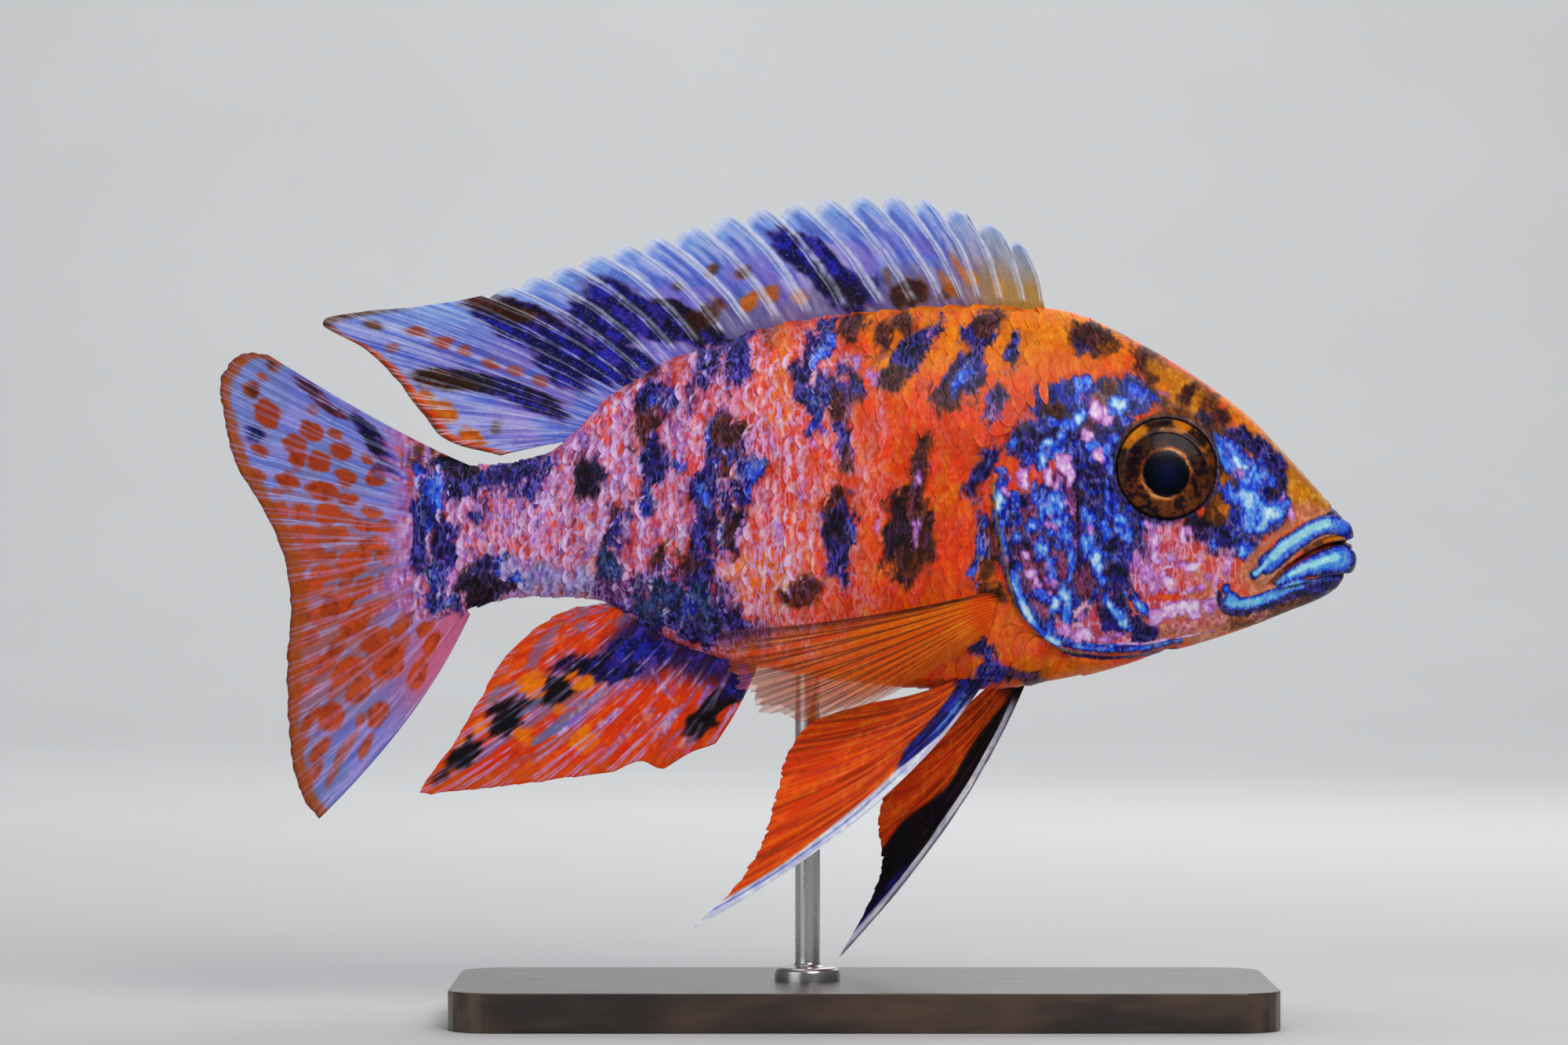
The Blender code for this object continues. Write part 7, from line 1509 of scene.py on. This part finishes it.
def anal_fin():
    n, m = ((210, 80))
    S, T = np.meshgrid(np.linspace(0, 1, n), np.linspace(0, 1, m), indexing="ij")
    spines = np.array((0.0, 0.095, 0.19))
    notch = 0.0 * S
    for a0, a1 in ((0.0, 0.095), (0.095, 0.19)):
        f = np.clip((S - a0) / (a1 - a0), 0, 1)
        notch += np.where((S >= a0) & (S < a1), 1.6 * np.sin(math.pi * np.clip(f, 0, 1) ** 1.6), 0)
    notch += 0.9 * (layered(np.stack([S * 46, 0 * S, 0 * S], -1), 1.0, 611, 2) - 0.3) * step(0.2, 0.3, S)
    middle, s, length = edge_fins(ANAL_RAYS, S, T, True, notch, 0.06)
    ridge, f = rays_field(np.clip((S - 0.19) / 0.81, 0, 1), s, 10, 7)
    spine = np.max([np.exp(-((S - q) / 0.010) ** 2) for q in spines], axis=0)
    ridge = np.where(S < 0.2, spine, ridge)
    thick = 0.13 + 0.55 * np.exp(-s * length / 1.6) + 0.16 * ridge * (1 - 0.4 * s)
    thick = thick * (0.45 + 0.55 * step(1.0, 0.97, T))
    all_ = np.arange(S.size)
    S_, s_, ridge_ = S.ravel(), s.ravel(), ridge.ravel()
    ray = np.where(S < 0.19, S / 0.095, 2 + (S - 0.19) / 0.81 * 10)
    p = fin_paint(middle, 60, ray, s)
    p.ground("redorange")
    streak = layered(np.stack([S_ * 60, s_ * 4, 0 * s_], -1), 1.0, 615, 3)
    cloud = layered(middle.reshape(-1, 3), (4, 4, 4), 617, 3)
    p.lay(all_, 0.8 * step(0.56, 0.68, streak) * step(0.95, 0.55, s_ + 0.4 * (cloud - 0.5)), "lilac")
    p.lay(all_, 0.5 * step(0.44, 0.32, streak), "red")
    veil = layered(np.stack([S_ * 30, s_ * 6, 0 * s_], -1), 1.0, 621, 3)
    p.colour[:] = blend(p.colour, rgb(122, 122, 206), 0.58 * step(0.52, 0.64, veil) * step(0.36, 0.52, S_) * step(0.92, 0.7, s_))
    p.colour[:] = blend(p.colour, rgb(214, 92, 20), 0.7 * step(0.80, 0.96, s_ + 0.1 * (cloud - 0.5)))
    p.lay(all_, 0.85 * step(0.30, 0.05, s_ + 0.2 * (cloud - 0.5)) * step(0.75, 0.6, S_), "navy")
    for row in ((-33.0, 44.8, 5.2, 1.6, 0, "ink"), (-39.6, 41.8, 3.4, 1.5, -20, "black"), (-45.6, 38.2, 2.6, 1.7, -38, "black"), (-50.6, 34.0, 2.4, 1.5, -40, "black"), (-54.2, 30.8, 1.6, 0.6, -35, "brown", 0.8), (-28.2, 47.2, 4.0, 1.6, 0, "navy"),
                (-18.2, 40.6, 1.4, 4.6, 52, "black"), (-15.4, 43.4, 1.3, 2.8, 40, "navy"), (-20.6, 38.4, 1.6, 2.0, 50, "black", 0.9), (-25.4, 42.4, 0.35, 2.6, -36, "lilac", 0.6),
                (-36.0, 43.2, 1.3, 1.1, 0, "orange"), (-42.2, 42.6, 1.4, 1.4, 0, "orange"), (-48.6, 37.2, 1.2, 1.1, 0, "orange"), (-43.2, 36.0, 1.4, 1.1, 0, "orange"), (-35.4, 35.6, 1.6, 1.5, 0, "orange", 0.9),
                (-38.6, 39.4, 1.2, 0.9, 0, "orange", 0.8), (-51.6, 35.2, 1.0, 0.8, 0, "orange", 0.9), (-33.0, 38.0, 0.4, 2.6, 50, "lilac", 0.7), (-40.0, 36.4, 0.5, 2.4, 55, "slate", 0.85), (-37.2, 37.4, 0.4, 2.4, 55, "lilac", 0.75), (-42.4, 39.6, 0.4, 1.8, 58, "slate", 0.8), (-27.0, 37.8, 3.0, 0.7, 48, "coral", 0.6),
                (-46.4, 34.6, 0.3, 1.8, 58, "lilac", 0.5), (-38.6, 38.0, 0.9, 2.2, 50, "slate", 0.75), (-35.2, 40.0, 0.6, 1.8, 48, "slate", 0.6), (-46.8, 41.2, 0.5, 1.6, 52, "slate", 0.6), (-36.0, 48.4, 2.2, 1.0, 20, "redorange", 0.8)):
        p.patch(*row)
    dark = step(0.30, 0.15, p.colour.mean(-1))
    layers = {"Ray": ray, "Out": s, "Streak": 0.66 * (1 - 0.7 * dark) * step(0.02, 0.15, s_) * step(0.30, 0.62, layered(middle.reshape(-1, 3), (2.4, 2, 2.4), 619, 2)), "Lap": 0 * S, "Spark": np.broadcast_to(rgb(196, 172, 240), (S.size, 3))}
    p.lay(all_, 0.7 * step(0.93, 0.99, T.ravel()), "redorange")
    middle[..., 1] += sway(middle[..., 0])
    slab("anal_fin_skin", middle, thick, p.colour.reshape(S.shape + (3,)), p.glint.reshape(S.shape) * 0.6, fin_look, "red_fin", ["anal_fin"], **layers)


def pelvic_fin(name, side, shape, dark):
    n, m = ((110, 120))
    S, T = np.meshgrid(np.linspace(0, 1, n) ** 1.15, np.linspace(0, 1, m), indexing="ij")
    (bx0, bz0), (bx1, bz1) = shape["base"]
    (mx0, mz0), (mx1, mz1) = shape["bend"]
    bx = bx0 + (bx1 - bx0) * S
    bz = belly_z(bx, PELVIC_ROOT_Y) + 0.7
    tx, tz = along(shape["tips"], S, 1), along(shape["tips"], S, 2)
    mx, mz = mx0 + (mx1 - mx0) * S, mz0 + (mz1 - mz0) * S
    fray = 0.024 * (layered(np.stack([S * 80, 0 * S, 0 * S], -1), 1.0, 711, 3) - 0.35) * step(0.05, 0.2, S)
    U = T * (1 - fray)
    x = (1 - U) ** 2 * bx + 2 * U * (1 - U) * mx + U * U * tx
    z = (1 - U) ** 2 * bz + 2 * U * (1 - U) * mz + U * U * tz
    away = np.hypot(x - bx, z - bz)
    wave = 0.45 * np.sin(away * 0.55 + 5 * S) * step(4, 14, away) if dark else 0.2 * np.sin(away * 0.4 + 4 * S) * step(4, 14, away)
    y = side * (PELVIC_ROOT_Y + PELVIC_SPLAY * away + 1.5 * S * away / 30.0) + 0.5 * wave
    middle = np.stack([x, y, z], axis=-1)
    ridge, f = rays_field(S, T, 6, 9)
    fine_rays = 0.5 + 0.5 * np.cos(2 * math.pi * S * 34)
    lead = np.exp(-(S / 0.03) ** 2)
    thick = 0.14 + 0.5 * np.exp(-away / 2.0) + 0.12 * ridge * (1 - 0.5 * T) + 0.22 * lead * (1 - 0.6 * T) + 0.03 * fine_rays
    thick *= 0.45 + 0.55 * step(1.0, 0.975, T)
    all_ = np.arange(S.size)
    S_, T_ = S.ravel(), T.ravel()
    ray = S * 7
    p = fin_paint(middle, 70, ray, T)
    p.ground("redorange")
    streak = layered(np.stack([S_ * 70, T_ * 3, 0 * T_], -1), 1.0, 715, 3)
    p.lay(all_, 0.55 * step(0.50, 0.66, streak), "orange")
    p.lay(all_, 0.40 * step(0.46, 0.34, streak), "umber")
    p.lay(all_, 0.3 * ridge.ravel() * step(0.9, 0.3, T_), "umber")
    inward, _ = distance_to_path(x.ravel(), z.ravel(), np.stack([x[0], z[0]], axis=-1)[::3])
    inward, out = inward + 0.12 * p.rag, away.ravel()
    if dark:
        p.lay(all_, step(0.3, -0.3, inward - 1.1 - 1.6 * step(1.0, 11.0, out) - 2.4 * step(16.0, 25.0, out)), "black")
        p.lay(all_, 0.8 * step(2.0, 1.0, inward) * step(25.0, 34.0, out), "navy")
        p.lay(all_, step(0.15, -0.15, inward - 0.85) * step(2.0, 5.0, out), "white")
        p.lay(all_, 0.8 * step(0.32, 0.16, inward) * step(2.0, 6.0, out), "grey")
    else:
        p.lay(all_, step(0.25, -0.25, inward - 2.5 * step(21.0, 12.0, out)), "navy")
        p.lay(all_, 0.85 * np.exp(-((inward - 1.1) / 0.35) ** 2) * step(13.0, 7.0, out), "azure")
        p.lay(all_, step(0.18, -0.18, inward - 0.45 - 1.0 * step(8.0, 17.0, out) + 0.3 * step(26.0, 36.0, out)), "white")
        p.lay(all_, 0.6 * np.exp(-((inward - 0.75) / 0.10) ** 2) * step(12.0, 17.0, out), "blue")
    p.lay(all_, 0.9 * step(0.16, 0.04, T_), "ink" if not dark else "black")
    middle[..., 1] += sway(middle[..., 0])
    streak = 0.50 * step(0.22, 0.32, S_) * step(0.03, 0.12, T_) * step(0.95, 0.25, T_)
    layers = {"Ray": ray, "Out": T, "Streak": streak, "Lap": 0 * S, "Spark": np.broadcast_to(rgb(86, 30, 8), (S.size, 3))}
    slab("pelvic_fin_%s_skin" % name, middle, thick, p.colour.reshape(S.shape + (3,)), 0.0 * S, fin_look, "red_fin", ["pelvic_fin_" + name], **layers)


def pectoral_fin(name, side):
    n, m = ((190, 80))
    S, T = np.meshgrid(np.linspace(0, 1, n), np.linspace(0, 1, m), indexing="ij")
    (bx0, bz0), (bx1, bz1) = PECTORAL_BASE
    bx, bz = bx0 + (bx1 - bx0) * S, bz0 + (bz1 - bz0) * S
    base_y = surface_y(bx, bz)
    tx, tz = along(PECTORAL_TIPS, S, 1), along(PECTORAL_TIPS, S, 2)
    fray = 0.10 * (layered(np.stack([S * 40, 0 * S, 0 * S], -1), 1.0, 811, 3) - 0.3)
    U = T * (1 - fray)
    x = bx + (tx - bx) * U
    z = bz + (tz - bz) * U - 0.8 * np.sin(math.pi * U) * (1 - S)
    away = np.hypot(x - bx, z - bz)
    rise = -0.5 + 1.5 * step(-0.5, 3.2, away)
    y = side * (base_y + rise + PECTORAL_SPLAY * away - 0.0018 * away * away)
    middle = np.stack([x, y, z], axis=-1)
    ridge, f = rays_field(S, T, 15, 11)
    thick = 0.085 + 0.75 * np.exp(-away / 1.5) + 0.10 * ridge * (1 - 0.6 * T)
    thick *= 0.5 + 0.5 * step(1.0, 0.97, T)
    all_ = np.arange(S.size)
    S_, T_ = S.ravel(), T.ravel()
    ray = S * 15
    p = fin_paint(middle, 80, ray, T)
    p.ground("orange")
    streak = layered(np.stack([S_ * 90, T_ * 3, 0 * T_], -1), 1.0, 815, 3)
    p.lay(all_, 0.6 * step(0.5, 0.62, streak), "redorange")
    p.lay(all_, 0.55 * ridge.ravel() * step(0.05, 0.3, T_), "brown")
    p.lay(all_, 0.8 * step(0.06, 0.02, S_), "brown")
    p.lay(all_, 0.6 * step(0.14, 0.05, T_), "redorange")
    root_look = markings(middle, 0, False)
    p.colour = blend(p.colour, root_look["Tint"].reshape(-1, 3), step(1.7, 0.5, away.ravel() + 0.5 * p.rag))
    clear = 0.92 - 0.50 * step(0.10, 0.55, T) - 0.22 * step(0.6, 1.0, T) + 0.42 * ridge * (1 - 0.5 * T)
    clear = clear + 0.15 * (streak.reshape(S.shape) - 0.5)
    clear = np.clip(clear, 0.10, 1.0)
    middle[..., 1] += sway(middle[..., 0])
    layers = {"Ray": ray, "Out": T, "Streak": 0.75 * step(0.03, 0.15, T), "Lap": 0 * S, "Spark": np.broadcast_to(rgb(92, 30, 10), (S.size, 3))}
    slab("pectoral_fin_%s_skin" % name, middle, thick, p.colour.reshape(S.shape + (3,)), 0.0 * S, clear_fin_look, "clear_fin", ["pectoral_fin_" + name], clear, **layers)


dorsal_fin()
caudal_fin()
anal_fin()
pelvic_fin("right", -1, PELVIC_RIGHT, False)
pelvic_fin("left", 1, PELVIC_LEFT, True)
pectoral_fin("right", -1)
pectoral_fin("left", 1)

# ------------------------------------------------------------------ eyes

PUPIL = (-0.25, -0.85)  # the pupil's centre from the eye's: forward, up
PUPIL_RADIUS = 2.9


def eye(name, side):
    centre, out, across, up = eye_axes(side)
    if across[0] < 0:
        across = -across
    rings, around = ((70, 160))
    turn = np.linspace(0.004, math.pi - 0.02, rings)
    angle = 2 * math.pi * np.arange(around) / around
    R = (EYE_RADIUS + 0.18) * np.sin(turn)[:, None] * np.ones(around)
    a, u = R * np.cos(angle), R * np.sin(angle)
    front = (turn < math.pi / 2)[:, None]
    height = np.cos(turn)[:, None] * np.where(front, EYE_BULGE, 2.4)
    rp = np.hypot(a - PUPIL[0], u - PUPIL[1])
    height = height + front * (0.10 * step(3.3, 2.7, rp) - 0.10 * np.exp(-((rp - 5.5) / 0.16) ** 2) * step(-1.5, 0.5, u) + 0.05 * np.exp(-((rp - 3.2) / 0.25) ** 2))
    points = centre + across * a[..., None] + up * u[..., None] + out * height[..., None]
    local = np.stack([a, u, side * 3.0 + 0 * a], -1)
    cloud = layered(local, 1.5, 901, 3)
    finer = layered(local, (0.5, 0.5, 0.5), 905, 3)
    theta = np.arctan2(u - PUPIL[1], a - PUPIL[0])
    colour = np.broadcast_to(rgb(52, 26, 14), a.shape + (3,)).copy()
    # outer white of the eye: mottled orange and brown
    colour = blend(colour, rgb(206, 116, 24), step(0.46, 0.62, cloud) * step(-3.5, 2.0, u) * 0.9)
    colour = blend(colour, rgb(120, 62, 18), step(0.40, 0.6, finer) * step(1.0, -3.0, u) * 0.8)
    for x0, z0, r0, tint in ((-3.8, 4.6, 1.4, (226, 134, 26)), (2.0, 5.6, 1.3, (222, 122, 20)), (-0.2, 5.9, 1.0, (28, 16, 18)), (4.6, 3.7, 1.3, (24, 14, 20)), (5.6, 1.0, 0.9, (110, 52, 14)), (-5.4, 1.5, 1.1, (36, 20, 18)), (-5.2, -2.0, 1.0, (92, 46, 16)), (5.3, -2.2, 1.2, (70, 34, 14)), (0.5, -5.6, 1.6, (74, 38, 18))):
        d = np.hypot(a - x0, u - z0) / r0 + 0.9 * (finer - 0.5)
        colour = blend(colour, rgb(*tint), step(1.2, 0.6, d) * 0.9)
    # iris
    iris = step(5.6, 5.4, rp)
    dusk = rgb(26, 12, 22) * np.ones(a.shape + (3,))
    dusk = blend(dusk, rgb(108, 54, 16), step(0.45, 0.65, cloud) * step(1.8, -2.2, u - PUPIL[1]) * 0.9)
    dusk = blend(dusk, rgb(150, 80, 24), step(0.5, 0.62, finer) * step(0.5, -2.5, u - PUPIL[1]) * 0.6)
    dusk = blend(dusk, rgb(104, 52, 16), step(0.52, 0.66, finer) * 0.55)
    colour = blend(colour, dusk, iris)
    arc = np.exp(-((rp - 5.5) / 0.10) ** 2) * step(-1.0, 1.5, u)
    colour = blend(colour, rgb(112, 96, 110), arc * 0.5)
    # bright ring round the pupil, strongest above in front and below
    bright = 0.55 + 0.45 * np.cos(2 * (theta - 1.0)) + 0.25 * (cloud - 0.5)
    ring = np.exp(-((rp - 3.20 - 0.40 * (finer - 0.5)) / (0.14 + 0.12 * np.clip(bright, 0, 1))) ** 2)
    colour = blend(colour, rgb(236, 122, 38), ring * np.clip(0.28 + 0.72 * bright, 0, 1))
    colour = blend(colour, rgb(255, 204, 150), np.exp(-((rp - 3.14 - 0.3 * (finer - 0.5)) / 0.09) ** 2) * np.clip(bright * 1.5 - 0.5, 0, 1) * 0.8)
    pupil = step(3.02, 2.88, rp)
    colour = blend(colour, rgb(4, 5, 14), pupil)
    colour = blend(colour, rgb(8, 22, 74), pupil * np.exp(-(np.hypot(a - PUPIL[0] - 0.1, u - PUPIL[1] - 0.2) / 1.5) ** 2) * 0.8)
    colour = blend(colour, rgb(20, 12, 10), step(6.1, 6.3, np.hypot(a, u)) * 0.7)
    points[..., 1] += sway(points[..., 0])
    ends = np.array([points[0].mean(axis=0), points[-1].mean(axis=0)])
    verts = np.concatenate([points.reshape(-1, 3), ends])
    q = grid_quads(rings, around, wrap=True)
    k = np.arange(around)
    m = (k + 1) % around
    first, last = rings * around, rings * around + 1
    tri = np.concatenate([np.stack([k, np.full(around, first), m], 1), np.stack([(rings - 1) * around + m, np.full(around, last), (rings - 1) * around + k], 1)])
    e1, e2 = points[21, 0] - points[20, 0], points[20, 1] - points[20, 0]
    if np.dot(np.cross(e2, e1), out) < 0:
        q, tri = q[:, ::-1], tri[:, ::-1]
    flatness = np.where(front, 1.0, 1.0)
    uv = np.stack([0.25 + a / 28.0, 0.5 + u / 14.0], -1)
    uv = np.where(front[..., None], uv, uv + (0.5, 0)).reshape(-1, 2)
    uv = np.concatenate([uv, [(0.25, 0.5), (0.75, 0.5)]])
    tint = np.concatenate([colour.reshape(-1, 3), [colour[0].mean(0), colour[-1].mean(0)]])
    piece = new_piece("eye_%s_glass" % name, verts, [q, tri], None, tint, {})
    return dress(piece, eye_look, "eye", "eye_" + name)


eye("right", -1)
eye("left", 1)

# ------------------------------------------------------------------ stand

base = frame["nodes"]["stand_base"]
base.data.materials.clear()
base.data.materials.append(wood_look)

rod_top = float(belly_z(ROD_X, 0.0)) + 1.2
z0 = STAND_THICK
profile = [(0.0, z0), (COLLAR_RADIUS, z0), (COLLAR_RADIUS, z0 + COLLAR_HEIGHT * 0.55)]
for k in range(1, 9):  # rounded shoulder of the collar
    t = math.pi / 2 * k / 8
    profile.append((COLLAR_RADIUS - 0.75 + 0.75 * math.cos(t), z0 + COLLAR_HEIGHT * 0.55 + 0.75 * math.sin(t)))
profile += [(ROD_RADIUS + 0.55, z0 + COLLAR_HEIGHT + 0.02)]
for k in range(1, 7):
    t = math.pi / 2 * k / 6
    profile.append((ROD_RADIUS + 0.55 * (1 - math.sin(t)), z0 + COLLAR_HEIGHT + 0.02 + 0.55 * (1 - math.cos(t))))
for z in np.linspace(z0 + COLLAR_HEIGHT + 1.2, rod_top - 0.6, 10):
    profile.append((ROD_RADIUS, float(z)))
profile += [(ROD_RADIUS - 0.5, rod_top), (0.0, rod_top)]
around = 64
turns = 2 * math.pi * np.arange(around) / around
ring_points = np.array([[(ROD_X + r * math.cos(t), r * math.sin(t), z) for t in turns] for r, z in profile[1:-1]])
lathe_rows = len(ring_points)
verts = np.concatenate([ring_points.reshape(-1, 3), [(ROD_X, 0, z0), (ROD_X, 0, rod_top)]])
k = np.arange(around)
m = (k + 1) % around
q = grid_quads(lathe_rows, around, wrap=True)
tri = np.concatenate([np.stack([m, k, np.full(around, lathe_rows * around)], 1),
                      np.stack([(lathe_rows - 1) * around + k, (lathe_rows - 1) * around + m, np.full(around, lathe_rows * around + 1)], 1)])
rod = new_piece("stand_rod_steel", verts, [q, tri])
rod.data.set_sharp_from_angle(angle=math.radians(35))
dress(rod, steel_look, "stand_metal", "stand_rod")

# ------------------------------------------------------------------ floor, light, camera


def backdrop():
    """A pale floor that curves up into the wall behind."""
    profile = [(-2.0, 0.0), (1.0, 0.0)]
    for k in range(1, 25):
        t = math.pi / 2 * k / 24
        profile.append((1.0 + 0.6 * math.sin(t), 0.6 * (1 - math.cos(t))))
    profile.append((1.6, 2.4))
    verts = [(x, y, z) for y, z in profile for x in (-2.6, 2.6)]
    faces = [(2 * i, 2 * i + 1, 2 * i + 3, 2 * i + 2) for i in range(len(profile) - 1)]
    mesh = bpy.data.meshes.new("floor")
    mesh.from_pydata(verts, [], faces)
    mesh.polygons.foreach_set("use_smooth", np.full(len(faces), True))
    thing = bpy.data.objects.new("floor", mesh)
    bpy.context.scene.collection.objects.link(thing)
    thing.data.materials.append(plain_material("pale_floor", (0.66, 0.67, 0.68), 0.8))
    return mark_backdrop(thing)


def soft_light(name, place, aim, size, power, colour=(1, 1, 1)):
    data = bpy.data.lights.new(name, "AREA")
    data.shape, data.size, data.energy, data.color = "SQUARE", size, power, colour
    lamp = bpy.data.objects.new(name, data)
    bpy.context.scene.collection.objects.link(lamp)
    from mathutils import Vector
    way = Vector(aim) - Vector(place)
    lamp.location = place
    lamp.rotation_euler = way.to_track_quat("-Z", "Y").to_euler()
    return lamp


backdrop()
soft_light("key", (0.30, -0.75, 0.62), (0, 0, 0.06), 0.45, 4.1, (1.0, 0.98, 0.95))
soft_light("fill", (-0.75, -0.70, 0.30), (0, 0, 0.06), 0.7, 1.9, (0.96, 0.98, 1.0))
soft_light("top", (-0.05, 0.10, 0.85), (0, 0, 0.06), 0.6, 2.5)
soft_light("back", (0.20, 0.45, 0.42), (0, 0, 0.07), 0.5, 1.2)
soft_light("wall", (0.0, 0.80, 0.90), (0, 1.6, 0.32), 0.9, 7.0)

world = bpy.data.worlds.new("room")
world.use_nodes = True
world.node_tree.nodes["Background"].inputs["Color"].default_value = (0.80, 0.84, 0.90, 1.0)
world.node_tree.nodes["Background"].inputs["Strength"].default_value = 0.16
bpy.context.scene.world = world

camera = bpy.data.cameras.new("camera")
camera.sensor_fit, camera.sensor_width, camera.lens = "HORIZONTAL", 36.0, 144.0
camera.clip_start, camera.clip_end = 0.01, 20.0
eye_point = bpy.data.objects.new("camera", camera)
bpy.context.scene.collection.objects.link(eye_point)
eye_point.location = (-0.010, -0.800, 0.06335)
eye_point.rotation_euler = (math.pi / 2, 0.0, 0.0)
bpy.context.scene.camera = eye_point

bpy.context.scene.view_settings.view_transform = "Standard"
bpy.context.scene.view_settings.look = "None"
